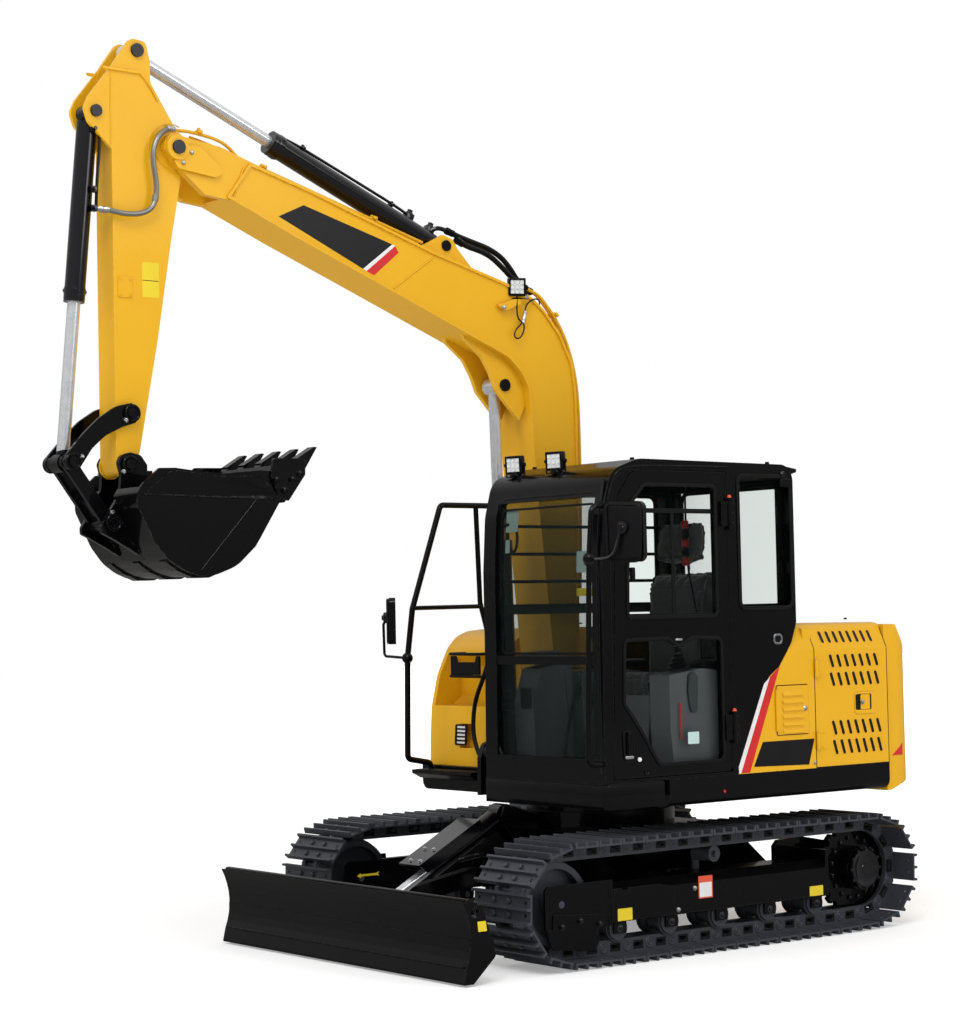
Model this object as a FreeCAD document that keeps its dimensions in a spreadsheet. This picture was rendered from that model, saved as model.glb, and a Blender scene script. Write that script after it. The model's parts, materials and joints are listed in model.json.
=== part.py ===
"""Crawler excavator of the seven-tonne class with cab, house, boom, arm, bucket and dozer blade.

Millimetres. The origin lies on the ground at the swing axis, +X points forward, +Y to the cab
side and +Z up. The boom is fully raised, the arm is nearly folded in and the bucket is curled.
"""

import FreeCAD, Part
import math
import os

import Sketcher

V = FreeCAD.Vector
doc = FreeCAD.newDocument("CrawlerExcavator")

# ---------------------------------------------------------------- driving dimensions

SIZES = {
    # tracks and their frames
    "track_gauge": 1750,
    "shoe_width": 450,
    "shoe_pitch": 154,
    "shoe_thickness": 10,
    "grouser_height": 24,
    "side_grouser_drop": 2,
    "drive_clearance": 30,
    "link_height": 74,
    "link_width": 28,
    "link_spread": 118,
    "bush_radius": 17,
    "wheel_base": 2195,
    "idler_x": 1095,
    "idler_radius": 207,
    "sprocket_rise": 8,
    "roller_radius": 60,
    "roller_first_x": 705,
    "roller_spacing": 354,
    "roller_length": 200,
    "roller_play": 2,
    "roller_flange": 10,
    "axle_radius": 18,
    "bracket_wall": 14,
    "carrier_radius": 42,
    "frame_width": 250,
    "frame_bottom": 205,
    "frame_top": 400,
    "frame_rear_x": -780,
    "frame_front_x": 800,
    "frame_wall": 14,
    "guard_front_x": 1200,
    "drive_plate_wall": 25,
    "hub_radius": 120,
    "hub_reach": 115,
    "sprocket_width": 34,
    "idler_width": 150,
    # middle of the undercarriage
    "car_length": 1000,
    "car_width": 860,
    "car_bottom": 360,
    "car_top": 600,
    "leg_reach": 780,
    "ring_radius": 430,
    "ring_wall": 70,
    "bearing_radius": 400,
    "bearing_bottom": 690,
    "deck_bottom": 767,
    # dozer blade
    "blade_width": 2200,
    "blade_top": 408,
    "blade_ground_gap": 11,
    "blade_front_x": 1790,
    "blade_plate": 12,
    "blade_hollow": 38,
    "blade_end_plate": 16,
    "tie_hole_radius": 22,
    "edge_height": 74,
    "blade_pivot_x": 560,
    "blade_pivot_z": 330,
    "blade_arm_spread": 640,
    "blade_arm_width": 70,
    "blade_base_x": 690,
    "blade_base_z": 690,
    "blade_rod_x": 1530,
    "blade_rod_z": 250,
    "blade_barrel_length": 560,
    "blade_barrel_radius": 58,
    # upper frame
    "deck_top": 908,
    "deck_front_x": 857,
    "deck_side_y": 1080,
    "deck_rear_x": -1220,
    "deck_plate": 16,
    "skirt_wall": 40,
    "skirt_round": 50,
    "notch_front_x": 600,
    "notch_left_y": 70,
    "notch_right_y": -450,
    "boom_y": -160,
    "foot_x": 180,
    "foot_z": 1320,
    "foot_bracket_gap": 310,
    "foot_bracket_wall": 32,
    "pin_radius": 35,
    "small_pin_radius": 28,
    "pin_play": 0.3,
    "cylinder_base_x": 500,
    "cylinder_base_z": 1000,
    # counterweight and house
    "tail_radius": 1794,
    "weight_bottom": 752,
    "weight_top": 1675,
    "weight_half_width": 1060,
    "weight_corner_x": 1400,
    "weight_corner_slant": 500,
    "house_top": 1690,
    "slope_start_z": 1550,
    "slope_inset": 80,
    "hood_depth": 27,
    "hood_front_x": -560,
    "flap_rear_x": -591,
    "flap_front_x": -357,
    "flap_low": 1100,
    "flap_top": 1360,
    "panel_wall": 25,
    "seam_x": -650,
    "house_front_x": -60,
    "right_box_front_x": 380,
    "right_box_inner_y": -450,
    # cab
    "cab_front_x": 859,
    "cab_rear_x": -520,
    "cab_left_y": 1080,
    "cab_right_y": 100,
    "cab_roof_z": 2570,
    "cab_wall": 50,
    "door_front_x": 765,
    "door_rear_x": -20,
    "door_bottom": 930,
    "door_top": 2500,
    "door_wall": 40,
    "door_gap": 5,
    "glass_thickness": 6,
    "seam_gap": 5,
    "screen_bottom": 1030,
    "screen_top": 2365,
    "screen_bar_z": 1531,
    "screen_left_y": 1000,
    "screen_right_y": 200,
    "seat_y": 590,
    "sill_z": 1740,
    "window_top": 2430,
    # boom
    "boom_length": 3737,
    "boom_angle": 48.93,
    "boom_width": 290,
    "flange_lip": 14,
    "flange_depth": 12,
    "nose_wall": 42,
    "nose_collar": 28,
    "side_play": 6,
    "arm_length": 1616,
    "arm_angle": -80.13,
    "arm_width": 165,
    "arm_ear_wall": 26,
    "boom_barrel_length": 1180,
    "boom_barrel_radius": 62,
    "arm_barrel_length": 1170,
    "bucket_barrel_length": 940,
    "arm_barrel_radius": 58,
    "bucket_barrel_radius": 51,
    "rod_radius": 32,
    # bucket
    "bucket_width": 760,
    "bucket_taper": 65,
    "bucket_plate": 16,
    "ear_wall": 24,
}

sheet = doc.addObject("Spreadsheet::Sheet", "Sizes")
for line, (alias, number) in enumerate(SIZES.items(), start=1):
    sheet.set(f"A{line}", alias)
    sheet.set(f"B{line}", str(number))
    sheet.setAlias(f"B{line}", alias)
doc.recompute()


class Size:
    """A number together with the sheet expression that it comes from."""

    def __init__(self, text, value):
        self.text = text
        self.value = value

    def join(self, other, sign, value):
        return Size(f"({self.text} {sign} {as_size(other).text})", value)

    def __add__(self, other):
        return self.join(other, "+", self.value + as_size(other).value)

    def __sub__(self, other):
        return self.join(other, "-", self.value - as_size(other).value)

    def __mul__(self, other):
        return self.join(other, "*", self.value * as_size(other).value)

    def __truediv__(self, other):
        return self.join(other, "/", self.value / as_size(other).value)

    def __radd__(self, other):
        return as_size(other) + self

    def __rsub__(self, other):
        return as_size(other) - self

    def __rmul__(self, other):
        return as_size(other) * self

    def __neg__(self):
        return as_size(0) - self

    def __float__(self):
        return float(self.value)


def as_size(number):
    """The number as a Size."""
    return number if isinstance(number, Size) else Size(f"({number})", float(number))


class Sheet:
    """The driving dimensions by name."""

    def __getattr__(self, alias):
        return Size(f"Sizes.{alias}", float(sheet.get(alias)))


dim = Sheet()


def cos(angle):
    """Cosine of an angle in degrees."""
    return Size(f"cos({angle.text})", math.cos(math.radians(angle.value)))


def sin(angle):
    """Sine of an angle in degrees."""
    return Size(f"sin({angle.text})", math.sin(math.radians(angle.value)))


def hypot(across, along):
    """Length of the line with these two legs."""
    return Size(f"hypot({across.text}; {along.text})", math.hypot(across.value, along.value))


def bearing(across, along):
    """Angle in degrees of the line with these two legs."""
    return Size(f"atan2({across.text}; {along.text})",
                math.degrees(math.atan2(across.value, along.value)))


class Frame:
    """A set of axes in the XZ plane, from an origin and the angle of its first axis."""

    def __init__(self, origin, angle):
        self.origin = origin
        self.angle = as_size(angle)

    def at(self, along, across):
        """The point that lies along the first axis and across it."""
        run, rise = as_size(along), as_size(across)
        c, s = cos(self.angle), sin(self.angle)
        return (self.origin[0] + run * c - rise * s, self.origin[1] + run * s + rise * c)


# ---------------------------------------------------------------- shapes

NODES = []


def bind(item, **sizes):
    """Ties the item's properties to the sheet. Two underscores stand for a dot."""
    for prop, size in sizes.items():
        item.setExpression(prop.replace("__", "."), as_size(size).text)
    return item


def place(item, x, y, z):
    """Puts the item's own origin at a point."""
    return bind(item, Placement__Base__x=x, Placement__Base__y=y, Placement__Base__z=z)


def box(x0, x1, y0, y1, z0, z1):
    """A block between two corners."""
    item = doc.addObject("Part::Box", "Block")
    bind(item, Length=as_size(x1) - x0, Width=as_size(y1) - y0, Height=as_size(z1) - z0)
    return place(item, x0, y0, z0)


def cylinder(radius, base, length, axis):
    """A cylinder that starts at a point and runs along +X, +Y or +Z."""
    item = doc.addObject("Part::Cylinder", "Round")
    turn = {"x": (V(0, 1, 0), 90), "y": (V(1, 0, 0), -90), "z": (V(0, 0, 1), 0)}[axis]
    item.Placement.Rotation = FreeCAD.Rotation(*turn)
    bind(item, Radius=radius, Height=length)
    return place(item, *base)


def crosswise(radius, point, y0, y1):
    """A cylinder across the machine from y0 to y1 at a point (x, z)."""
    return cylinder(radius, (point[0], y0, point[1]), as_size(y1) - y0, "y")


def shaft(radius, start, end, y):
    """A cylinder from one point (x, z) to another in the plane at y."""
    item = doc.addObject("Part::Cylinder", "Shaft")
    run, rise = end[0] - start[0], end[1] - start[1]
    item.Placement.Rotation = FreeCAD.Rotation(V(0, 1, 0), 10)
    bind(item, Radius=radius, Height=hypot(run, rise), Placement__Rotation__Angle=bearing(run, rise))
    return place(item, start[0], y, start[1])


def toward(start, end, length):
    """The point at a length from start on the line to end."""
    whole = hypot(end[0] - start[0], end[1] - start[1])
    return tuple(a + (b - a) * length / whole for a, b in zip(start, end))


def draw(body, sketch, plane, outline):
    """Draws a closed outline in a plane, each corner tied to the sheet."""
    roles = {item.Role: item for item in body.Origin.OriginFeatures}
    sketch.AttachmentSupport = [(roles[f"{plane}_Plane"], "")]
    sketch.MapMode = "FlatFace"
    count = len(outline)
    flat = [V(float(as_size(a)), float(as_size(b)), 0) for a, b in outline]
    for index in range(count):
        sketch.addGeometry(Part.LineSegment(flat[index], flat[(index + 1) % count]), False)
    for index in range(count):
        after = (index + 1) % count
        sketch.addConstraint(Sketcher.Constraint("Coincident", index, 2, after, 1))
    for index, (a, b) in enumerate(outline):
        for kind, size in (("DistanceX", as_size(a)), ("DistanceY", as_size(b))):
            number = sketch.addConstraint(Sketcher.Constraint(kind, -1, 1, index, 1, size.value))
            sketch.setExpression(f"Constraints[{number}]", size.text)
    return flat


def prism(plane, outline, low, high, rounds=None):
    """A body padded from low to high over an outline in a plane.

    The outline's points are (x, z), (y, z) or (x, y) for the planes XZ, YZ and XY. rounds gives
    the fillet radius of some of its corners by their place in the outline.
    """
    body = doc.addObject("PartDesign::Body", "Profile")
    sketch = body.newObject("Sketcher::SketchObject", "Outline")
    flat = draw(body, sketch, plane, outline)
    low, high = as_size(low), as_size(high)
    start = {"XZ": -high, "YZ": low, "XY": low}[plane]
    bind(sketch, AttachmentOffset__Base__z=start)
    pad = body.newObject("PartDesign::Pad", "Pad")
    pad.Profile = sketch
    bind(pad, Length=high - low)
    body.Tip = pad
    if rounds:
        round_corners(body, pad, plane, flat, rounds)
    return body


def inset(outline, distance):
    """The outline with every side moved inward by a distance."""
    spots = [V(float(as_size(a)), float(as_size(b)), 0) for a, b in outline]
    pairs = list(zip(spots, spots[1:] + spots[:1]))
    area = sum(a.x * b.y - b.x * a.y for a, b in pairs)
    normals = []
    for a, b in pairs:
        along = (b - a).normalize()
        normals.append(V(-along.y, along.x, 0) * math.copysign(1, area))
    moved = []
    for (x, y), before, after in zip(outline, normals[-1:] + normals[:-1], normals):
        step = (before + after) / (1 + before.dot(after))
        moved.append((as_size(x) + as_size(distance) * step.x,
                      as_size(y) + as_size(distance) * step.y))
    return moved


def round_corners(body, pad, plane, flat, rounds):
    """Fillets the padded edges that stand on the named corners of the outline."""
    doc.recompute()
    by_radius = {}
    for index, radius in rounds.items():
        by_radius.setdefault(as_size(radius).text, (as_size(radius), []))[1].append(flat[index])
    last = pad
    for radius, corners in by_radius.values():
        names = []
        for number, edge in enumerate(last.Shape.Edges, start=1):
            ends = [plane_point(plane, vertex.Point) for vertex in edge.Vertexes]
            if len(ends) == 2 and (ends[0] - ends[1]).Length < 1e-4:
                if any((ends[0] - corner).Length < 1e-3 for corner in corners):
                    names.append(f"Edge{number}")
        fillet = body.newObject("PartDesign::Fillet", "Fillet")
        fillet.Base = (last, names)
        bind(fillet, Radius=radius)
        body.Tip = fillet
        doc.recompute()
        last = fillet


def plane_point(plane, point):
    """A point of space as it falls in a plane's own two axes."""
    pick = {"XZ": (point.x, point.z), "YZ": (point.y, point.z), "XY": (point.x, point.y)}
    return V(*pick[plane], 0)


def fuse(*items):
    """One solid from pieces that overlap."""
    item = doc.addObject("Part::MultiFuse", "Joined")
    item.Shapes = list(items)
    item.Refine = True
    return item


def together(*items):
    """Pieces that stay apart in one sub-part."""
    item = doc.addObject("Part::Compound", "Set")
    item.Links = list(items)
    return item


def cut(base, *tools):
    """The base without the tools."""
    item = doc.addObject("Part::Cut", "Cut")
    item.Base = base
    item.Tool = tools[0] if len(tools) == 1 else together(*tools)
    return item


def common(first, second):
    """What two solids share."""
    item = doc.addObject("Part::Common", "Shared")
    item.Base = first
    item.Tool = second
    return item


def feature(shape):
    """A sub-part whose shape is made by code."""
    item = doc.addObject("Part::Feature", "Shape")
    item.Shape = shape
    return item


def node(label, item):
    """Names a finished sub-part."""
    item.Label = label
    NODES.append(item)
    return item


def pipe(points, radius, bend):
    """A round bar along points with tangent arcs at its corners."""
    spots = [V(*(float(as_size(c)) for c in point)) for point in points]
    edges = []
    start = spots[0]
    for before, corner, after in zip(spots, spots[1:], spots[2:]):
        into = (corner - before).normalize()
        out = (after - corner).normalize()
        turn = into.getAngle(out)
        reach = float(bend) * math.tan(turn / 2)
        first = corner - into * reach
        second = corner + out * reach
        inward = (out - into).normalize()
        middle = corner + inward * (float(bend) / math.cos(turn / 2) - float(bend))
        edges.append(Part.LineSegment(start, first).toShape())
        edges.append(Part.Arc(first, middle, second).toShape())
        start = second
    edges.append(Part.LineSegment(start, spots[-1]).toShape())
    path = Part.Wire(edges)
    ring = Part.Wire(Part.makeCircle(float(radius), spots[0], spots[1] - spots[0]))
    return path.makePipeShell([ring], True, False)


def pipe_item(points, radius, bend):
    """The bar as a sub-part."""
    return feature(pipe(points, radius, bend))


def bearing_of(start, end):
    """Angle in degrees of the line from start to end, above the X axis."""
    return bearing(end[1] - start[1], end[0] - start[0])


# ---------------------------------------------------------------- places used by many pieces

chain_depth = dim.grouser_height + dim.shoe_thickness + dim.link_height
idler = (dim.idler_x, dim.idler_radius + chain_depth + dim.sprocket_rise)
sprocket = (dim.idler_x - dim.wheel_base, idler[1])
roller_z = chain_depth + dim.roller_radius
roller_xs = [dim.roller_first_x - dim.roller_spacing * step for step in range(5)]
boom_foot = (dim.foot_x, dim.foot_z)
on_boom = Frame(boom_foot, dim.boom_angle)
arm_pin = on_boom.at(dim.boom_length, 0)
on_arm = Frame(arm_pin, dim.arm_angle)
bucket_pin = on_arm.at(dim.arm_length, 0)
on_bucket = Frame(bucket_pin, 0)
boom_y = dim.boom_y
cylinder_base = (dim.cylinder_base_x, dim.cylinder_base_z)

# ---------------------------------------------------------------- track geometry

def track_circles():
    """The sprocket, the last and first roller and the idler as a belt at the chain's pins."""
    half_link = float(dim.link_height) / 2
    wheel = float(dim.idler_radius) + half_link
    roll = float(dim.roller_radius) + half_link
    return [(float(sprocket[0]), float(sprocket[1]), wheel),
            (float(roller_xs[-1]), float(roller_z), roll),
            (float(roller_xs[0]), float(roller_z), roll),
            (float(idler[0]), float(idler[1]), wheel)]


def belt(circles):
    """Tangent points of a belt round circles (x, z, radius), given in turn with +Y away."""
    runs = []
    for (x1, z1, r1), (x2, z2, r2) in zip(circles, circles[1:] + circles[:1]):
        along = V(x2 - x1, 0, z2 - z1)
        gap = along.Length
        along.normalize()
        lean = (r1 - r2) / gap
        normal = along * lean + V(along.z, 0, -along.x) * math.sqrt(1 - lean * lean)
        runs.append((V(x1, 0, z1) + normal * r1, V(x2, 0, z2) + normal * r2))
    return runs


def belt_wire(circles, offset):
    """The closed wire of a belt, moved outward by an offset."""
    grown = [(x, z, r + offset) for x, z, r in circles]
    runs = belt(grown)
    edges = []
    for (_, end), (start, _), (x, z, r) in zip(runs, runs[1:] + runs[:1], grown[1:] + grown[:1]):
        centre = V(x, 0, z)
        middle = centre + ((end - centre) + (start - centre)).normalize() * r
        edges.append(Part.Arc(end, middle, start).toShape())
    for start, end in runs:
        edges.append(Part.LineSegment(start, end).toShape())
    return Part.Wire(Part.__sortEdges__(edges))


def belt_joints(circles, pitch):
    """The chain's joints at an even pitch along a belt."""
    wire = belt_wire(circles, 0)
    return wire.discretize(Number=round(wire.Length / pitch) + 1)[:-1]


def mitred(joints, offset):
    """The closed outline through the chain's joints, moved outward by an offset."""
    points = []
    for before, joint, after in zip(joints[-1:] + joints[:-1], joints, joints[1:] + joints[:1]):
        into = (joint - before).normalize()
        out = (after - joint).normalize()
        along = (into + out).normalize()
        reach = offset / math.cos(into.getAngle(out) / 2)
        points.append(joint + V(along.z, 0, -along.x) * reach)
    return Part.Wire(Part.makePolygon(points + points[:1]))


def link_point(joint, after, share, height):
    """A point on a link, by its share of the way to the next joint and its height."""
    along = after - joint
    normal = V(along.z, 0, -along.x).normalize()
    return joint + along * share + normal * height


def track_shape(side):
    """One track as a single loop: shoes with three grousers, two rows of links and bushes."""
    half_link = float(dim.link_height) / 2
    plate = half_link + float(dim.shoe_thickness)
    tip = plate + float(dim.grouser_height)
    side_tip = tip - float(dim.side_grouser_drop)
    circles = track_circles()
    joints = belt_joints(circles, float(dim.shoe_pitch))
    middle_y = side * float(dim.track_gauge) / 2
    width = float(dim.shoe_width)
    shoe = ((0.015, half_link), (0.015, side_tip), (0.09, side_tip), (0.12, plate),
            (0.44, plate), (0.465, tip), (0.535, tip), (0.56, plate), (0.88, plate),
            (0.91, side_tip), (0.985, side_tip), (0.985, half_link))
    window = ((0.32, -10), (0.32, 14), (0.68, 14), (0.68, -10))
    rail = Part.Face(mitred(joints, half_link + 1)).cut(Part.Face(belt_wire(circles, -half_link)))
    pieces = []
    for joint, after in zip(joints, joints[1:] + joints[:1]):
        outline = [link_point(joint, after, share, height) for share, height in shoe]
        pad = Part.Face(Part.Wire(Part.makePolygon(outline + outline[:1])))
        pad.translate(V(0, middle_y - width / 2, 0))
        pieces.append(pad.extrude(V(0, width, 0)))
        hole = [link_point(joint, after, share, height) for share, height in window]
        rail = rail.cut(Part.Face(Part.Wire(Part.makePolygon(hole + hole[:1]))))
        start = joint + V(0, middle_y - float(dim.link_spread) / 2, 0)
        pieces.append(Part.makeCylinder(float(dim.bush_radius), float(dim.link_spread), start,
                                        V(0, 1, 0)))
    rows = []
    for row in (-1, 1):
        low = middle_y + row * float(dim.link_spread) / 2 - float(dim.link_width) / 2
        strip = rail.copy()
        strip.translate(V(0, low, 0))
        rows.append(strip.extrude(V(0, float(dim.link_width), 0)))
    return rows[0].fuse(rows[1:] + pieces)


# ---------------------------------------------------------------- undercarriage

def span(side, near, far, middle=0):
    """The lower and upper y of a piece that reaches from near to far on one side of a middle."""
    ends = (middle + as_size(near) * side, middle + as_size(far) * side)
    return ends if side > 0 else ends[::-1]


def side_frame(side, track_y):
    """The beam of one track frame with its channel for the rollers and its end plates."""
    half, wall = dim.frame_width / 2, dim.frame_wall
    low, top = dim.frame_bottom, dim.frame_top
    slope = [(track_y - half, low), (track_y + half, low), (track_y + half, top - 45),
             (track_y + half - 45, top), (track_y - half + 45, top), (track_y - half, top - 45)]
    beam = prism("YZ", slope, dim.frame_rear_x, dim.frame_front_x)
    lane = dim.roller_length / 2 + dim.roller_play
    channel = box(dim.frame_rear_x - 5, dim.frame_front_x + 5, track_y - lane, track_y + lane,
                  low - 5, roller_z + dim.roller_radius + dim.roller_flange + 5)
    front = dim.guard_front_x
    plates = [prism("XZ", [(dim.frame_front_x - 40, low - 15), (front - 40, low - 25),
                           (front, low), (front, top), (front - 25, top + 20),
                           (dim.frame_front_x - 40, top + 20)], y, y + wall, {1: 15, 4: 15})
              for y in (track_y - half, track_y + half - wall)]
    brackets = []
    for x in roller_xs:
        for near in (-lane - dim.bracket_wall, lane):
            brackets.append(box(x - 40, x + 40, track_y + near, track_y + near + dim.bracket_wall,
                                roller_z - 25, low + 5))
    scraper = [(front - 330, low + 5), (front - 140, low + 5), (front - 140, roller_z + 10),
               (front - 180, roller_z - 25), (front - 290, roller_z - 25), (front - 330, roller_z + 5)]
    brackets += [prism("XZ", scraper, track_y + near, track_y + near + dim.bracket_wall,
                       {2: 30, 3: 30, 4: 30}) for near in (-lane - dim.bracket_wall, lane)]
    inner = span(-side, half - dim.drive_plate_wall, half, track_y)
    rear = dim.frame_rear_x
    base = low + dim.drive_clearance
    hub_x, hub_z = sprocket
    drive = prism("XZ", [(rear + 170, base), (rear + 170, top + 70), (rear + 140, top + 100),
                         (rear - 20, hub_z + 190), (hub_x - 20, hub_z + 130),
                         (hub_x - 110, hub_z + 60), (hub_x - 110, hub_z - 60),
                         (hub_x - 20, hub_z - 130), (rear - 20, hub_z - 130), (rear - 16, base)],
                  *inner)
    end = box(rear - 16, rear + 5, track_y - half, track_y + half, low, hub_z + 130)
    holes = [crosswise(dim.axle_radius + dim.pin_play, (x, roller_z), track_y - half,
                       track_y + half) for x in roller_xs]
    axle = crosswise(dim.axle_radius + dim.pin_play, idler, track_y - half - 5, track_y + half + 5)
    motor = crosswise(dim.hub_radius - 15, sprocket, *span(-side, half - dim.drive_plate_wall - 5,
                                                           half + 5, track_y))
    return cut(fuse(cut(beam, channel), drive, end, *plates, *brackets), axle, motor, *holes)


def track_rollers(side, track_y):
    """The five lower rollers on their axles and the carrier roller with its post."""
    half = dim.roller_length / 2
    link_in = dim.link_spread / 2 - dim.link_width / 2
    link_out = dim.link_spread / 2 + dim.link_width / 2
    rollers = []
    for x in roller_xs:
        spot = (x, roller_z)
        tread = crosswise(dim.roller_radius - dim.pin_play, spot, track_y - half, track_y + half)
        waist = cut(crosswise(dim.roller_radius + 5, spot, track_y - link_in + 8,
                              track_y + link_in - 8),
                    crosswise(dim.roller_radius - 12, spot, track_y - half, track_y + half))
        flanges = [crosswise(dim.roller_radius + dim.roller_flange, spot,
                             *span(sign, link_out + 3, link_out + 12, track_y)) for sign in (1, -1)]
        axle = crosswise(dim.axle_radius, spot, track_y - half - dim.bracket_wall - 2,
                         track_y + half + dim.bracket_wall + 2)
        rollers.append(fuse(cut(tread, waist), axle, *flanges))
    carrier_z = idler[1] + dim.idler_radius - dim.carrier_radius - dim.pin_play
    post_y = span(-side, half - 27, half - 12, track_y)
    carrier = fuse(crosswise(dim.carrier_radius, (0, carrier_z), track_y - half + 30,
                             track_y + half - 30),
                   crosswise(dim.axle_radius - 3, (0, carrier_z), track_y - half + 10,
                             track_y + half - 10),
                   box(-20, 20, *post_y, dim.frame_top + 0.2, carrier_z + 18))
    return rollers + [carrier]


def wheel_idler(track_y):
    """The front idler: a dished wheel with a guide flange between the links."""
    tread = dim.idler_width / 2
    guide = dim.link_spread / 2 - dim.link_width / 2 - 6
    pockets = [crosswise(dim.idler_radius - 32, idler, *span(sign, guide - 10, tread + 5, track_y))
               for sign in (1, -1)]
    half = dim.frame_width / 2
    return fuse(cut(fuse(crosswise(dim.idler_radius - 0.8, idler, track_y - tread,
                                   track_y + tread),
                         crosswise(dim.idler_radius + 10, idler, track_y - guide, track_y + guide)),
                    *pockets),
                crosswise(70, idler, track_y - tread - 5, track_y + tread + 5),
                crosswise(dim.axle_radius, idler, track_y - half, track_y + half))


def wheel_sprocket(side, track_y):
    """The sprocket ring scalloped round the bushes, with the final drive in its middle."""
    circles = track_circles()
    pitch = float(dim.shoe_pitch)
    wheel = circles[0][2]
    joints = belt_joints(circles, pitch)
    seat = max(joints, key=lambda joint: -joint.x)
    first = math.atan2(seat.z - circles[0][1], seat.x - circles[0][0])
    ring = crosswise(wheel + 8, sprocket, track_y - dim.sprocket_width / 2,
                     track_y + dim.sprocket_width / 2)
    count = 2 * round(2 * math.pi * wheel / pitch)
    steps = [first + pitch / wheel / 2 * (index - count / 2) for index in range(count)]
    scallops = [crosswise(dim.bush_radius + 3, (sprocket[0] + wheel * math.cos(step),
                                                sprocket[1] + wheel * math.sin(step)),
                          track_y - dim.sprocket_width, track_y + dim.sprocket_width)
                for step in steps]
    scallops += [crosswise(dim.bush_radius + 3, (joint.x, joint.z), track_y - dim.sprocket_width,
                           track_y + dim.sprocket_width)
                 for joint in joints if (joint - V(circles[0][0], 0, circles[0][1])).Length < 1.3 * wheel]
    half = dim.frame_width / 2
    drum = crosswise(dim.hub_radius, sprocket,
                     *span(side, -half + dim.drive_plate_wall + 0.3, dim.hub_reach - 25, track_y))
    cap = crosswise(dim.hub_radius - 22, sprocket,
                    *span(side, dim.hub_reach - 30, dim.hub_reach, track_y))
    motor = crosswise(dim.hub_radius - 16, sprocket,
                      *span(-side, half - dim.drive_plate_wall - 8, half + 90, track_y))
    return fuse(cut(ring, *scallops), drum, cap, motor)


def undercarriage():
    """The tracks with their frames, rollers, idlers and drives on both sides."""
    frames, rollers, idlers, sprockets = [], [], [], []
    for side, name in ((1, "left"), (-1, "right")):
        track_y = dim.track_gauge / 2 * side
        node(f"track_{name}", feature(track_shape(side)))
        frames.append(side_frame(side, track_y))
        rollers += track_rollers(side, track_y)
        idlers.append(wheel_idler(track_y))
        sprockets.append(wheel_sprocket(side, track_y))
    node("track_frames", together(*frames))
    node("track_rollers", together(*rollers))
    node("idlers", together(*idlers))
    node("sprockets", together(*sprockets))


def middle_frame():
    """The car body between the tracks, with its sloping legs and the ring under the bearing."""
    half = dim.car_length / 2
    side = dim.car_width / 2
    hub = box(-half, half, -side, side, dim.car_bottom, dim.car_top)
    legs = []
    inner_y = dim.track_gauge / 2 - dim.frame_width / 2 - 0.2
    for sign in (1, -1):
        near, far = side * sign, inner_y * sign
        outline = [(near - 50 * sign, dim.car_top), (near - 50 * sign, dim.car_bottom),
                   (far, dim.frame_bottom + 10), (far, dim.frame_top - 50)]
        for start, length in ((-half - 120, 340), (half - 260, 220)):
            legs.append(prism("YZ", outline, start, start + length))
    ring = cylinder(dim.ring_radius, (0, 0, dim.car_top - 5), dim.bearing_bottom - dim.car_top + 5,
                    "z")
    base_x, base_z = dim.blade_base_x, dim.blade_base_z
    tongue = box(half - 5, base_x - 95, -75, 75, dim.car_top - 110, dim.car_top + 20)
    ear = [(half - 60, dim.car_top - 60), (half - 60, dim.car_top + 60), (base_x - 40, base_z + 45),
           (base_x + 28, base_z + 45), (base_x + 48, base_z), (base_x + 28, base_z - 48),
           (base_x - 60, dim.car_top - 60)]
    ears = [prism("XZ", ear, *span(sign, 50, 70)) for sign in (1, -1)]
    pin = crosswise(22, (base_x, base_z), -76, 76)
    pivots = []
    for sign in (1, -1):
        centre = dim.blade_arm_spread / 2 * sign
        reach = dim.blade_arm_width / 2
        for low in (centre - reach - 25, centre + reach + 5):
            pivots.append(box(half - 10, dim.blade_pivot_x + 50, low, low + 20,
                              dim.blade_pivot_z - 60, dim.car_bottom + 60))
        pivots.append(crosswise(22, (dim.blade_pivot_x, dim.blade_pivot_z),
                                centre - reach - 32, centre + reach + 32))
    node("car_body", fuse(hub, ring, tongue, pin, *ears, *legs, *pivots))
    node("swing_bearing", cylinder(dim.bearing_radius, (0, 0, dim.bearing_bottom + 0.2),
                                   dim.deck_bottom - dim.bearing_bottom - 0.5, "z"))


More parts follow.
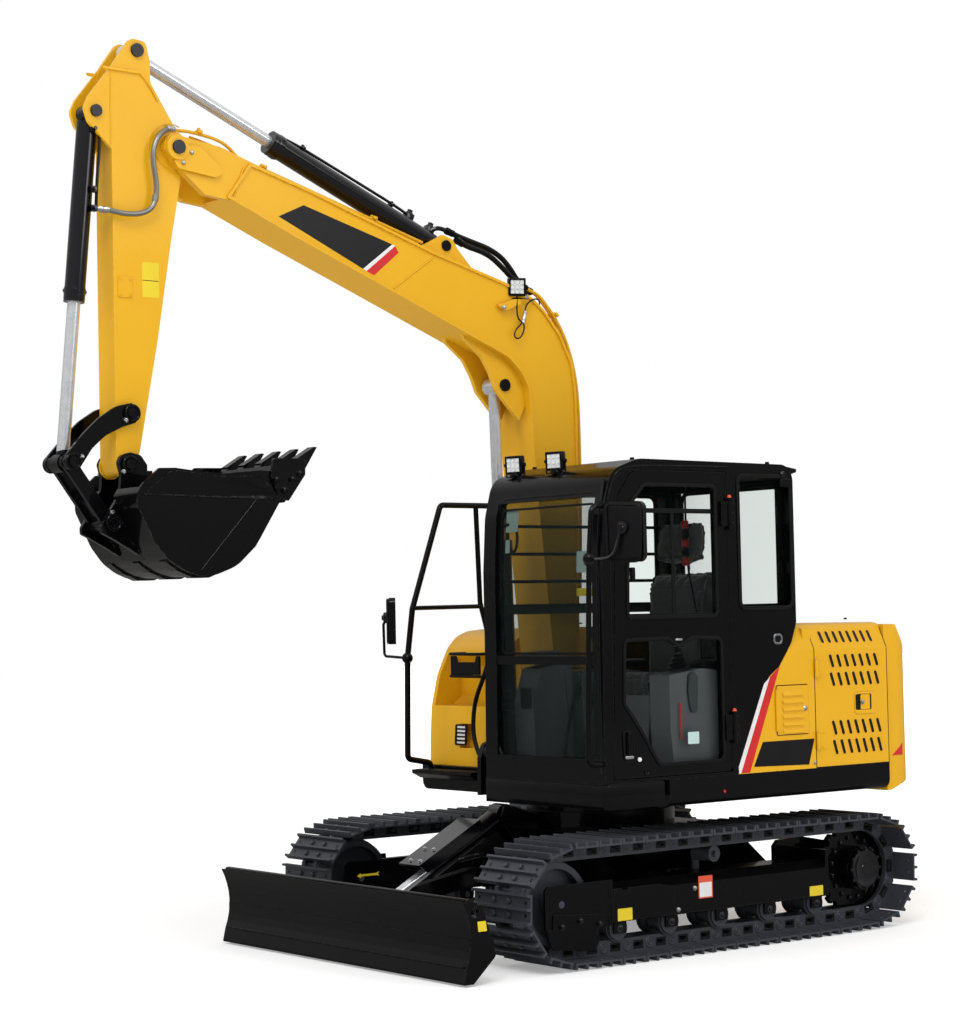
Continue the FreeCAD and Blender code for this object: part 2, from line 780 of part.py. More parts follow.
def blade():
    """The dozer blade with its push arms, wear edge and lift cylinder."""
    half = dim.blade_width / 2
    front = dim.blade_front_x
    low = dim.blade_ground_gap
    seam = dim.edge_height + low
    hollow = front - dim.blade_hollow
    plate = dim.blade_plate
    steps = [step / 8 for step in range(9)]
    curve = [(front - 20 * (1 - t) - 4 * dim.blade_hollow * t * (1 - t),
              seam + (dim.blade_top - seam) * t) for t in steps]
    back = [(x - plate, z) for x, z in reversed(curve)]
    face = prism("XZ", curve + back, -half, half)
    heel = [(front - 60, dim.blade_top + 2), (front - 129, dim.blade_top - 49),
            (front - 162, low + 236), (front - 200, low + 124)]
    end = curve[:-1] + [(front - 2, dim.blade_top - 3)] + heel + [
        (front - 60, low), (front - 5, low), (front - 5, low + 12)]
    corners = {9: 30, 10: 45, 12: 25}
    ends = [prism("XZ", end, *span(sign, half - dim.blade_end_plate, half), corners)
            for sign in (1, -1)]
    rib = [(x - plate / 2, z) for x, z in curve] + heel[1:] + [(front - 60, seam)]
    ribs = [prism("XZ", rib, y, y + dim.blade_plate) for y in (-700, -200, 188, 688)]
    tube = crosswise(24, (front - 45, dim.blade_top - 15), -half + 5, half - 5)
    spine = box(front - 190, hollow - 5, -half + 5, half - 5, low + 110, low + 210)
    arms = []
    for sign in (1, -1):
        centre = dim.blade_arm_spread / 2 * sign
        arm = [(dim.blade_pivot_x - 45, dim.blade_pivot_z - 45),
               (dim.blade_pivot_x - 45, dim.blade_pivot_z + 45),
               (dim.blade_pivot_x + 120, dim.blade_pivot_z + 45),
               (front - 180, low + 205), (front - 180, low + 115),
               (dim.blade_pivot_x + 120, dim.blade_pivot_z - 50)]
        bar = prism("XZ", arm, centre - dim.blade_arm_width / 2, centre + dim.blade_arm_width / 2,
                    {0: 40, 1: 40})
        arms.append(cut(bar, crosswise(22.05, (dim.blade_pivot_x, dim.blade_pivot_z),
                                       centre - 60, centre + 60)))
    rod_x, rod_z = dim.blade_rod_x, dim.blade_rod_z
    ear = [(front - 180, rod_z - 100), (rod_x - 15, rod_z - 45), (rod_x - 48, rod_z - 10),
           (rod_x - 40, rod_z + 30), (rod_x, rod_z + 48), (front - 180, rod_z + 48)]
    ears = [prism("XZ", ear, *span(sign, 45, 65)) for sign in (1, -1)]
    heads = [crosswise(24, (rod_x, rod_z), *span(sign, 60, 76)) for sign in (1, -1)]
    hole = (front - 73, dim.blade_top - 61)
    holes = [crosswise(dim.tie_hole_radius, hole, y - 5, y + dim.blade_end_plate + 5)
             for y in (-half, half - dim.blade_end_plate)]
    node("blade_mouldboard", cut(fuse(face, tube, spine, *ends, *ribs, *arms, *ears, *heads),
                                 *holes))
    edge = [(front - 5, low), (front - 5, low + 12), (front - 20, seam - 0.3),
            (front - 44, seam - 0.3), (front - 30, low)]
    inside = half - dim.blade_end_plate - 0.3
    node("blade_edge", prism("XZ", edge, -inside, inside))
    base, eye = (dim.blade_base_x, dim.blade_base_z), (rod_x, rod_z)
    on_lift = Frame(base, bearing_of(base, eye))
    length = hypot(eye[0] - base[0], eye[1] - base[1])
    radius, reach = dim.blade_barrel_radius, dim.blade_barrel_length
    guard = [on_lift.at(a, b) for a, b in ((190, 80), (190, 92), (reach + 90, 92), (reach + 90, 80))]
    posts = [on_lift.at(a, b) for a, b in ((220, 40), (220, 85), (reach - 40, 85), (reach - 40, 40))]
    skirt = [on_lift.at(a, b) for a, b in ((190, 30), (190, 88), (reach + 90, 88), (reach + 60, 30))]
    tube = cut(shaft(radius, on_lift.at(60, 0), on_lift.at(reach, 0), 0),
               shaft(25 + dim.pin_play, on_lift.at(120, 0), on_lift.at(reach + 5, 0), 0))
    hole = crosswise(22.05, base, -100, 100)
    node("blade_cylinder_barrel", cut(fuse(
        tube, crosswise(60, base, -44, 44), prism("XZ", guard, -92, 92),
        prism("XZ", posts, -12, 12),
        *[prism("XZ", skirt, *span(sign, 82, 92)) for sign in (1, -1)]), hole))
    node("blade_cylinder_rod", fuse(shaft(25, on_lift.at(length - 640, 0),
                                          on_lift.at(length - 30, 0), 0),
                                    crosswise(38, eye, -42, 42)))


# ---------------------------------------------------------------- upper frame and house

def upper_frame():
    """The revolving frame with its skirts and the plates that carry boom and cylinder."""
    top, low = dim.deck_top, dim.deck_bottom
    side, front, rear = dim.deck_side_y, dim.deck_front_x, dim.deck_rear_x
    step_x = dim.right_box_front_x + 40
    outline = [(rear, -side), (step_x, -side), (step_x, dim.notch_right_y),
               (dim.notch_front_x, dim.notch_right_y), (dim.notch_front_x, dim.notch_left_y),
               (front, dim.notch_left_y), (front, side - 90), (front - 90, side), (rear, side)]
    turn = dim.skirt_round
    slab = common(prism("XY", outline, low, top),
                  prism("YZ", [(-side, top + 5), (-side, low), (side, low), (side, top + 5)],
                        rear - 5, step_x + 5, {1: turn, 2: turn}))
    hollow = prism("XY", inset(outline, dim.skirt_wall), low + dim.deck_plate, top + 5)
    gap = dim.foot_bracket_gap / 2
    foot_x, foot_z = boom_foot
    base_x, base_z = cylinder_base
    cheek = [(foot_x - 500, low + 5), (foot_x - 380, low + 220), (foot_x - 60, foot_z + 50),
             (foot_x + 20, foot_z + 75), (foot_x + 75, foot_z + 20), (foot_x + 150, foot_z - 230),
             (base_x - 30, base_z + 75), (base_x + 45, base_z + 60), (base_x + 75, base_z - 20),
             (dim.notch_front_x - 20, low + 5)]
    cheeks = [prism("XZ", cheek, *span(sign, gap, gap + dim.foot_bracket_wall, boom_y),
                    {2: 60, 3: 60, 7: 40}) for sign in (1, -1)]
    reach = gap + dim.foot_bracket_wall
    pins = [crosswise(dim.pin_radius, boom_foot, boom_y - reach - 15, boom_y + reach + 15),
            crosswise(30, cylinder_base, boom_y - reach - 12, boom_y + reach + 12)]
    blocks = [crosswise(62, cylinder_base, *span(sign, dim.boom_barrel_radius + 5.5, gap + 5, boom_y))
              for sign in (1, -1)]
    node("main_frame", fuse(cut(slab, hollow), *cheeks, *pins, *blocks))


def counterweight():
    """The cast weight: a turned profile about the swing axis, trimmed in front and at the sides."""
    radius, low, top = dim.tail_radius, dim.weight_bottom, dim.weight_top
    body = doc.addObject("PartDesign::Body", "Casting")
    sketch = body.newObject("Sketcher::SketchObject", "Section")
    outline = [(radius - 500, low), (radius - 156, low), (radius - 6, low + 65), (radius, low + 232),
               (radius - 40, top - 137), (radius - 105, top), (radius - 500, top)]
    draw(body, sketch, "XZ", [(-as_size(a), b) for a, b in outline])
    turned = body.newObject("PartDesign::Revolution", "Turned")
    turned.Profile = sketch
    turned.ReferenceAxis = (sketch, ["V_Axis"])
    turned.Angle = 360
    body.Tip = turned
    half, front = dim.weight_half_width, dim.deck_rear_x - 0.3
    corner, slant = dim.weight_corner_x, dim.weight_corner_slant
    plan = [(front, -half), (-corner, -half), (-corner - 0.7 * slant, slant - half),
            (-radius - 20, slant - half), (-radius - 20, half - slant),
            (-corner - 0.7 * slant, half - slant), (-corner, half), (front, half)]
    window = prism("XY", plan, low - 10, top + 10, {1: 200, 6: 200})
    node("counterweight", common(body, window))


def shell_side(side, x0, x1):
    """A side wall of the house between two places, leaning inward near its top."""
    outer = dim.deck_side_y
    wall = dim.panel_wall
    low, bend, top = dim.deck_top + 0.3, dim.slope_start_z, dim.house_top - dim.hood_depth
    lean = dim.slope_inset * 0.6
    outline = [(outer * side, low), (outer * side, bend), ((outer - lean) * side, top),
               ((outer - lean - wall) * side, top), ((outer - wall) * side, bend - 5),
               ((outer - wall) * side, low)]
    return prism("YZ", outline, x0, x1)


def side_hinges(side, x):
    """The two outside hinges of a side door at a seam."""
    return [cylinder(11.7, (x, (dim.deck_side_y + 12) * side, z), 90, "z") for z in (1010, 1400)]


def house():
    """Side panels, doors and hood round the engine, with the engine block inside."""
    rear, seam, gap = dim.deck_rear_x, dim.seam_x, dim.seam_gap
    low, top, side_y = dim.deck_top + 0.3, dim.house_top, dim.deck_side_y
    front_panel = shell_side(1, seam + gap, dim.house_front_x)
    wedge = prism("XZ", [(-700, top + 50), (dim.house_front_x + 50, top + 50),
                         (dim.house_front_x + 50, low - 5), cab_tail[0], cab_tail[1], cab_tail[2],
                         cab_tail[3], cab_tail[4], (dim.cab_rear_x - gap, top + 50)],
                  side_y - 300, side_y + 20)
    x0, x1, z0, z1 = dim.flap_rear_x, dim.flap_front_x, dim.flap_low, dim.flap_top
    hole = box(x0 - 3, x1 + 3, side_y - 60, side_y + 20, z0 - 3, z1 + 3)
    jamb = box(seam + gap, seam + gap + 60, side_y - 120, side_y - dim.panel_wall + 2, low,
               top - dim.hood_depth)
    node("left_side_panel", fuse(cut(front_panel, wedge, hole), jamb))
    flap = box(x0, x1, side_y - 18, side_y + 4, z0, z1)
    node("access_flap", fuse(flap, cylinder(8, (x1 + 6, side_y + 8.3, z0 + 20), z1 - z0 - 40, "z"),
                             box(x1 - 20, x1 + 6, side_y + 3.5, side_y + 12, z0 + 20, z1 - 20)))
    for side, name in ((1, "left"), (-1, "right")):
        near, far = span(side, dim.deck_side_y - 2, dim.deck_side_y + 12)
        straps = [box(seam - 60, seam - 4, near, far, z + 10, z + 80) for z in (1010, 1400)]
        door = shell_side(side, rear + gap / 2, seam)
        node(f"{name}_side_door", fuse(door, *straps, *side_hinges(side, seam - 4)))
    node("right_side_panel", shell_side(-1, seam + gap, dim.right_box_front_x - 420))
    inner = dim.right_box_inner_y
    edge = side_y - dim.slope_inset * 0.6
    depth = dim.hood_depth
    hood = [(-edge, top - depth + 0.3), (-edge + 18, top - 8), (-edge + 60, top), (edge - 60, top),
            (edge - 18, top - 8), (edge, top - depth + 0.3), (edge - 25, top - depth + 0.3),
            (edge - 60, top - 18), (-edge + 60, top - 18), (-edge + 25, top - depth + 0.3)]
    node("engine_hood", fuse(prism("YZ", hood, rear + gap / 2, dim.hood_front_x),
                             *[cylinder(10, (dim.hood_front_x, y, top + 8), 120, "y")
                               for y in (-600, 480)],
                             *[box(dim.hood_front_x - 60, dim.hood_front_x, y, y + 120, top - 5,
                                   top + 6) for y in (-600, 480)]))
    cover = [(inner, low), (inner, top), (-edge + 60, top), (-edge + 18, top - 8),
             (-edge, top - depth), (-edge + 25, top - depth), (-edge + 60, top - 20),
             (inner - 20, top - 20), (inner - 20, low)]
    front_x = dim.right_box_front_x
    node("right_cover", prism("YZ", cover, dim.hood_front_x + 29.3, front_x - 415.3))
    tank = [(front_x - 415, low), (front_x, low), (front_x - 4, low + 150), (front_x - 16, 1244),
            (front_x - 62, 1430), (front_x - 140, 1582), (front_x - 205, 1648),
            (front_x - 290, top - 10), (front_x - 415, top)]
    side_low = -side_y + 25
    body = prism("XZ", tank, side_low, inner, {3: 150, 4: 250, 5: 120, 6: 150, 7: 150})
    recess = prism("XZ", [(front_x + 50, 1250), (front_x - 150, 1250), (front_x - 215, 1300),
                          (front_x - 215, 1480), (front_x - 120, 1560), (front_x + 50, 1560)],
                   side_low + 30, inner + 5)
    vent = box(front_x - 60, front_x + 5, -770, -640, 1010, 1150)
    node("fuel_tank", cut(body, recess, vent))
    feet = [box(x, x + 120, y, y + 120, dim.deck_bottom + dim.deck_plate + 0.2, low + 30)
            for x in (-1140, -830) for y in (-540, 420)]
    node("engine_block", fuse(box(-1150, -700, -550, 550, low + 25, low + 560), *feet))
    node("firewall", box(dim.hood_front_x + 4, dim.hood_front_x + 29, -edge + 30, edge - 30, low,
                         top - depth))
    step_x = front_x + 40.3
    step = [(step_x, dim.deck_top - 60), (step_x, dim.deck_top - 22), (step_x + 120, dim.deck_top - 22),
            (step_x + 120, dim.deck_top - 42), (step_x + 60, dim.deck_top - 72)]
    node("front_step", prism("XZ", step, -side_y + 60, dim.notch_right_y - 10, {3: 12}))


# ---------------------------------------------------------------- cab

cab_low = dim.deck_top + 0.3
cab_side = [(dim.cab_rear_x + 460, cab_low), (dim.cab_front_x, cab_low),
            (dim.cab_front_x - 8, 1500), (dim.cab_front_x - 8, 2000),
            (dim.cab_front_x - 27, 2295), (dim.cab_front_x - 80, dim.cab_roof_z - 76),
            (dim.cab_front_x - 267, dim.cab_roof_z - 11), (dim.cab_rear_x, dim.cab_roof_z - 20),
            (dim.cab_rear_x, 1700), (dim.cab_rear_x + 41, 1591), (dim.cab_rear_x + 140, 1465),
            (dim.cab_rear_x + 219, 1412)]
cab_tail = [(x - dim.seam_gap, z) for x, z in [cab_side[0], cab_side[11], cab_side[10],
                                               cab_side[9], cab_side[8]]]
door_leaf = [(dim.door_rear_x, dim.door_bottom), (dim.door_front_x + 33, dim.door_bottom),
             (dim.door_front_x, 1993), (dim.door_front_x - 35, 2366),
             (dim.door_front_x - 132, dim.door_top), (dim.door_rear_x, dim.door_top)]
upper_pane = [(57, dim.sill_z), (690, dim.sill_z), (683, 1993), (652, 2330), (560, dim.window_top),
              (57, dim.window_top)]
lower_pane = [(34, 985), (493, 985), (620, 1173), (724, 1306), (714, 1631), (417, 1636), (338, 1593),
              (240, 1638), (36, 1628)]
rear_pane = [(dim.cab_rear_x + 20, 1775), (-102, 1775), (-102, 2490), (dim.cab_rear_x + 60, 2490),
             (dim.cab_rear_x + 20, 2440)]
right_pane = [(dim.cab_rear_x + 120, 1240), (dim.cab_front_x - 90, 1240),
              (dim.cab_front_x - 90, 2000), (dim.cab_front_x - 120, 2330),
              (dim.cab_front_x - 190, 2430), (dim.cab_rear_x + 120, 2430)]


CAB_SOLID = []


def cab_body():
    """The cab's shell, hollow and cut for its door, windscreen and windows."""
    front, rear = dim.cab_front_x, dim.cab_rear_x
    left, right, wall = dim.cab_left_y, dim.cab_right_y, dim.cab_wall
    corners = {4: 250, 5: 130, 6: 200, 7: 90, 9: 60, 10: 90, 11: 60}
    outer = prism("XZ", cab_side, right, left, corners)
    hollow = prism("XZ", inset(cab_side, wall), right + wall, left - wall)
    door_hole = prism("XZ", inset(door_leaf, -dim.door_gap), left - wall - 20, left + 20, {3: 60, 4: 100})
    screen = box(front - 200, front + 20, dim.screen_right_y, dim.screen_left_y, dim.screen_bottom,
                 dim.screen_top)
    rear_left = prism("XZ", rear_pane, left - wall - 20, left + 20, {1: 40, 2: 40, 3: 40, 4: 30})
    right_hole = prism("XZ", right_pane, right - 20, right + wall + 20, {0: 50, 1: 50, 4: 60, 5: 50})
    rear_hole = box(rear - 20, rear + wall + 60, right + 90, left - 90, 1790, 2440)
    doc.recompute()
    visor = prism("XZ", [(rear - 70, dim.cab_roof_z - 38), (rear - 70, dim.cab_roof_z - 55),
                         (rear + 10, dim.cab_roof_z - 80), (rear + 10, dim.cab_roof_z - 26)],
                  right + 40, left - 40)
    CAB_SOLID.append(outer)
    lining = box(rear + 30, front - 140, right + 40, left - 40, dim.cab_roof_z - 95,
                 dim.cab_roof_z - 60)
    bars = [cylinder(9, (rear + 100, right + 12, z), front - rear - 220, "x")
            for z in (1950, 2100, 2250)]
    middle = (dim.screen_bar_z - 22, dim.screen_bar_z + 22)
    screen_bar = box(front - 46, front - 12, dim.screen_right_y - 5, dim.screen_left_y + 5, *middle)
    node("cab_shell", fuse(cut(outer, hollow, door_hole, screen, rear_left, right_hole, rear_hole),
                           visor, lining, screen_bar, *bars))
    pane = dim.glass_thickness
    node("cab_glass", together(
        prism("XZ", rear_pane, left - 30, left - 30 + pane, {1: 40, 2: 40, 3: 40, 4: 30}),
        prism("XZ", right_pane, right + 28, right + 28 + pane, {0: 50, 1: 50, 4: 60, 5: 50}),
        box(rear + 20, rear + 20 + pane, right + 90, left - 90, 1790, 2440),
        windscreen(dim.screen_bottom, middle[0] - 0.3), windscreen(middle[1] + 0.3, dim.screen_top)))


def windscreen(low, top):
    """A pane of the windscreen between two heights, set back from the cab's front outline."""
    front = dim.cab_front_x
    edge = [(front - 33, 900), (front - 33, 2000), (front - 49, 2295), (front - 75, dim.cab_roof_z - 155)]
    back = [(x - dim.glass_thickness, z) for x, z in edge]
    return common(prism("XZ", edge + back[::-1], dim.screen_right_y, dim.screen_left_y),
                  box(front - 200, front, dim.screen_right_y - 5, dim.screen_left_y + 5, low, top))


def cab_door():
    """The door leaf with its hinges and its two panes."""
    left = dim.cab_left_y
    rounds = {0: 40, 3: 60, 4: 100}
    leaf = prism("XZ", door_leaf, left - dim.door_wall, left, rounds)
    pane_rounds = {0: 40, 1: 40, 3: 60, 4: 60, 5: 40}
    low_rounds = {0: 40, 1: 50, 3: 30, 4: 20, 5: 12, 6: 20, 7: 12, 8: 20}
    upper = prism("XZ", upper_pane, left - 60, left + 20, pane_rounds)
    lower = prism("XZ", lower_pane, left - 60, left + 20, low_rounds)
    hinge_x = dim.door_rear_x - 12
    hinges = []
    for low, top in ((1072, 1241), (2195, 2365)):
        hinges.append(cylinder(12, (hinge_x, left + 14, low), top - low, "z"))
        hinges.append(box(hinge_x, hinge_x + 60, left + 0.3, left + 14, low + 20, top - 20))
        hinges.append(box(hinge_x + 20, hinge_x + 60, left - 5, left + 5, low + 20, top - 20))
    handle = box(dim.door_front_x - 90, dim.door_front_x - 45, left - 16, left + 20, 1020, 1170)
    node("cab_door", fuse(cut(leaf, upper, lower, handle), *hinges))
    pane = dim.glass_thickness
    node("door_glass", together(prism("XZ", upper_pane, left - 25, left - 25 + pane, pane_rounds),
                                prism("XZ", lower_pane, left - 25, left - 25 + pane, low_rounds)))


def cab_inside():
    """Seat, consoles, levers and dash of the cab."""
    floor = cab_low + dim.cab_wall + 0.3
    left, right, wall = dim.cab_left_y, dim.cab_right_y, dim.cab_wall
    middle = dim.seat_y
    base = [(40, floor), (330, floor), (300, 1240), (300, 1330), (-90, 1330), (-90, 1240),
            (0, 1180)]
    node("seat_base", prism("XZ", base, middle - 210, middle + 210))
    node("seat_cushion", prism("XZ", [(-60, 1330.3), (310, 1330.3), (330, 1400), (300, 1440),
                                      (-60, 1420)], middle - 245, middle + 245, {2: 30, 3: 30}))
    back = [(-62, 1330.3), (-64, 1500), (-85, 1880), (-125, 1995), (-215, 2000), (-255, 1900),
            (-205, 1480), (-150, 1330.3)]
    backrest = prism("XZ", back, middle - 235, middle + 235, {2: 40, 3: 50, 4: 40})
    rest = [(-60, 2050), (-80, 2210), (-110, 2262), (-185, 2262), (-215, 2220), (-200, 2050)]
    stalks = [cylinder(7, (-150, y, 1990), 80, "z") for y in (middle - 60, middle + 60)]
    head = prism("XZ", rest, middle - 130, middle + 130, {2: 25, 3: 25})
    node("seat_backrest", fuse(backrest, head, *stalks))
    console = [(12, floor), (330, floor), (352, 1160), (352, 1440), (120, 1470), (-120, 1440),
               (-160, 1300), (-65, 1100)]
    left_console = prism("XZ", console, middle + 270, left - wall - 15)
    right_console = prism("XZ", console, right + wall + 5, middle - 270)
    dash = prism("XZ", [(430, floor), (690, floor), (700, 1300), (640, 1480), (430, 1520)],
                 right + wall + 5, middle - 270)
    node("consoles", together(left_console, right_console, dash))
    sticks = []
    for y, seat in ((middle + 330, left_console), (middle - 335, right_console)):
        stick = fuse(cylinder(34, (200, y, 1450), 65, "z"), cylinder(9, (200, y, 1510), 90, "z"),
                     cylinder(19, (200, y, 1580), 90, "z"))
        sticks.append(cut(stick, seat))
    node("joysticks", together(*sticks))
    levers = []
    for y in (middle - 95, middle + 55):
        pedal = box(600, 720, y - 10, y + 50, floor, floor + 30)
        levers.append(fuse(pedal, pipe_item([(660, y + 20, floor + 20), (640, y + 20, 1120),
                                             (560, y + 20, 1390)], 10, 60)))
    node("travel_levers", together(*levers))


def rails_and_mirrors():
    """The guard rails at both front corners with the mirrors that are clamped to them."""
    front, left = dim.cab_front_x, dim.cab_left_y
    y = left - 20
    arch = [(front - 60, y, 2315), (front + 35, y, 2315), (front + 58, y, 2040),
            (front + 84, y, 1335), (front + 93, y, 1010), (front - 20, y, 1007)]
    left_glass = (front + 38, y + 270, 2170)
    left_bar = [(front + 58, y, 2045), (front + 80, y + 240, 2045), (front + 84, y + 275, 2165),
                (front + 55, y + 272, 2170)]
    node("left_rail", cut(fuse(pipe_item(arch, 14, 45), clamp(front + 58, y, 2045),
                               pipe_item(left_bar, 7, 20), mirror_head(left_glass, 19.3, 208, 300)),
                          CAB_SOLID[0]))
    y = 100 - dim.deck_side_y + 20
    step_x = dim.right_box_front_x + 68
    foot_z = dim.deck_top - 21.8
    outer = [(step_x, y, foot_z), (step_x, y, foot_z + 36), (step_x + 164, y, 952),
             (600, y, 1534), (559, y, 1816), (341, y, 2424), (-150, y, 2424),
             (-155, y, dim.house_top + 0.2)]
    inner = [(16, y, dim.house_top - 1.5), (62, y, 1850), (80, y, 2418)]
    glass = (561, -1158, 1750)
    bar = [(602, y, 1534), (602, y - 228, 1545), (602, y - 233, 1750), (575, -1168, 1750)]
    node("right_rail", fuse(pipe_item(outer, 17, 30), pipe_item(inner, 15, 60),
                            pipe_item([(559, y, 1822), (60, y, 1826)], 13, 60),
                            clamp(601, y, 1534), pipe_item(bar, 8, 25),
                            mirror_head(glass, -34.8, 170, 273)))


def clamp(x, y, z):
    """A ball clamp on a rail."""
    item = doc.addObject("Part::Sphere", "Ball")
    item.Radius = 32
    return place(item, x, y, z)


def mirror_head(centre, turn, width, height):
    """A mirror's shell round its centre, turned about the vertical."""
    outline = [(-width / 2, -height / 2), (width / 2, -height / 2), (width / 2, height / 2),
               (-width / 2, height / 2)]
    head = prism("YZ", outline, -18, 18, {0: 35, 1: 35, 2: 35, 3: 35})
    head.Placement.Rotation = FreeCAD.Rotation(V(0, 0, 1), turn)
    return place(head, *centre)


def work_lights():
    """The two lamps on brackets at the front edge of the roof."""
    lamps = []
    for y in (255, 598):
        lamps.append(cut(fuse(box(690, 760, y - 80, y + 80, 2515, 2630),
                              box(690, 724, y - 20, y + 20, 2450, 2540)), CAB_SOLID[0]))
    node("work_lights", together(*lamps))


# ---------------------------------------------------------------- boom, arm and bucket

boom_eye = on_boom.at(1540, 851)
arm_base = on_boom.at(2351, 1058)
arm_eye = on_arm.at(-438, 267)
bucket_base = on_arm.at(-74, 440)
rocker_pivot = on_arm.at(1363, 26)
rocker_eye = on_arm.at(1662, 305)
link_eye = on_bucket.at(94, -286)


def boom():
    """The bent box boom with its nose cheeks, root boss and cylinder brackets."""
    half = dim.boom_width / 2
    tip = dim.boom_length
    outline = [on_boom.at(s, n) for s, n in (
        (-75, 20), (-20, 95), (917, 945), (1095, 1102), (1195, 1185), (1343, 1286), (1534, 1330),
        (1700, 1328), (1812, 1301), (1972, 1214), (2399, 930), (3101, 514), (tip - 307, 300),
        (tip - 357, 72), (3000, 258), (2509, 512), (1659, 949), (1546, 963), (1439, 945),
        (1299, 840), (1095, 687), (60, -55), (-30, -75))]
    rounds = {3: 150, 4: 150, 5: 200, 6: 150, 7: 250, 8: 200, 9: 250, 16: 150, 17: 80, 18: 100,
              19: 200, 20: 200}
    beam = prism("XZ", outline, boom_y - half, boom_y + half, rounds)
    lip, depth = dim.flange_lip, dim.flange_depth
    sunk = inset(outline, lip)
    pockets = [prism("XZ", sunk, *span(sign, half - depth, half + 5, boom_y), rounds)
               for sign in (1, -1)]
    inner_y = dim.arm_width / 2 + dim.side_play
    outer_y = inner_y + dim.nose_wall
    nose = [on_boom.at(tip + s, n) for s, n in (
        (-437, 390), (-144, 215), (-58, 139), (75, 25), (47, -59), (-52, -57), (-273, -20),
        (-397, 95))]
    cheeks = [prism("XZ", nose, *span(sign, inner_y, outer_y, boom_y), {1: 60, 2: 60, 3: 35, 4: 35})
              for sign in (1, -1)]
    bracket = [on_boom.at(s, n) for s, n in (
        (1980, 830), (1898, 805), (1751, 835), (1647, 817), (1560, 788), (1444, 792), (1331, 800),
        (1380, 930), (1659, 990))]
    brackets = [prism("XZ", bracket, *span(sign, 72, 98, boom_y), {2: 100, 4: 60})
                for sign in (1, -1)]
    ear = [on_boom.at(s, n) for s, n in (
        (2100, 1120), (2290, 1110), (2351, 1118), (2410, 1080), (2440, 960), (2480, 860),
        (2200, 1060))]
    ears = [prism("XZ", ear, *span(sign, 65, 87, boom_y), {2: 40}) for sign in (1, -1)]
    bosses = [crosswise(62, boom_foot, *span(sign, half - 30, dim.foot_bracket_gap / 2 - 0.3,
                                             boom_y)) for sign in (1, -1)]
    collar_y = outer_y + dim.nose_collar
    bosses += [crosswise(dim.pin_radius + 28, arm_pin, *span(sign, outer_y - 5, collar_y, boom_y))
               for sign in (1, -1)]
    play = dim.pin_play
    holes = [crosswise(dim.pin_radius + 0.05, boom_foot, boom_y - 200, boom_y + 200),
             crosswise(dim.pin_radius + play, arm_pin, boom_y - 200, boom_y + 200),
             crosswise(30 + play, arm_base, boom_y - 200, boom_y + 200)]
    solid = fuse(cut(beam, *pockets), *cheeks, *brackets, *ears, *bosses)
    node("boom", cut(solid, *holes))
    pins = [crosswise(dim.pin_radius, arm_pin, boom_y - collar_y - 12, boom_y + collar_y + 12),
            crosswise(30, arm_base, boom_y - 96, boom_y + 96)]
    pins += [crosswise(34, boom_eye, *span(sign, 98.2, 110, boom_y)) for sign in (1, -1)]
    node("boom_pins", together(*pins))


def cylinder_set(name, base, eye, barrel_radius, barrel_length, width, engaged, collar):
    """A hydraulic cylinder as a barrel and a rod between two pins in the machine's middle."""
    length = hypot(eye[0] - base[0], eye[1] - base[1])
    boss = crosswise(barrel_radius - 6, base, boom_y - width / 2, boom_y + width / 2)
    tube = shaft(barrel_radius, toward(base, eye, 45), toward(base, eye, barrel_length), boom_y)
    head = shaft(barrel_radius + collar, toward(base, eye, barrel_length - 70),
                 toward(base, eye, barrel_length + 6), boom_y)
    bore = shaft(dim.rod_radius + dim.pin_play, toward(base, eye, 120),
                 toward(base, eye, barrel_length + 10), boom_y)
    hole = crosswise(30.05, base, boom_y - width, boom_y + width)
    node(f"{name}_barrel", cut(fuse(boss, tube, head), bore, hole))
    node(f"{name}_rod", fuse(
        shaft(dim.rod_radius, toward(base, eye, barrel_length - engaged),
              toward(base, eye, length - 30),
              boom_y),
        crosswise(48, eye, boom_y - width / 2, boom_y + width / 2)))


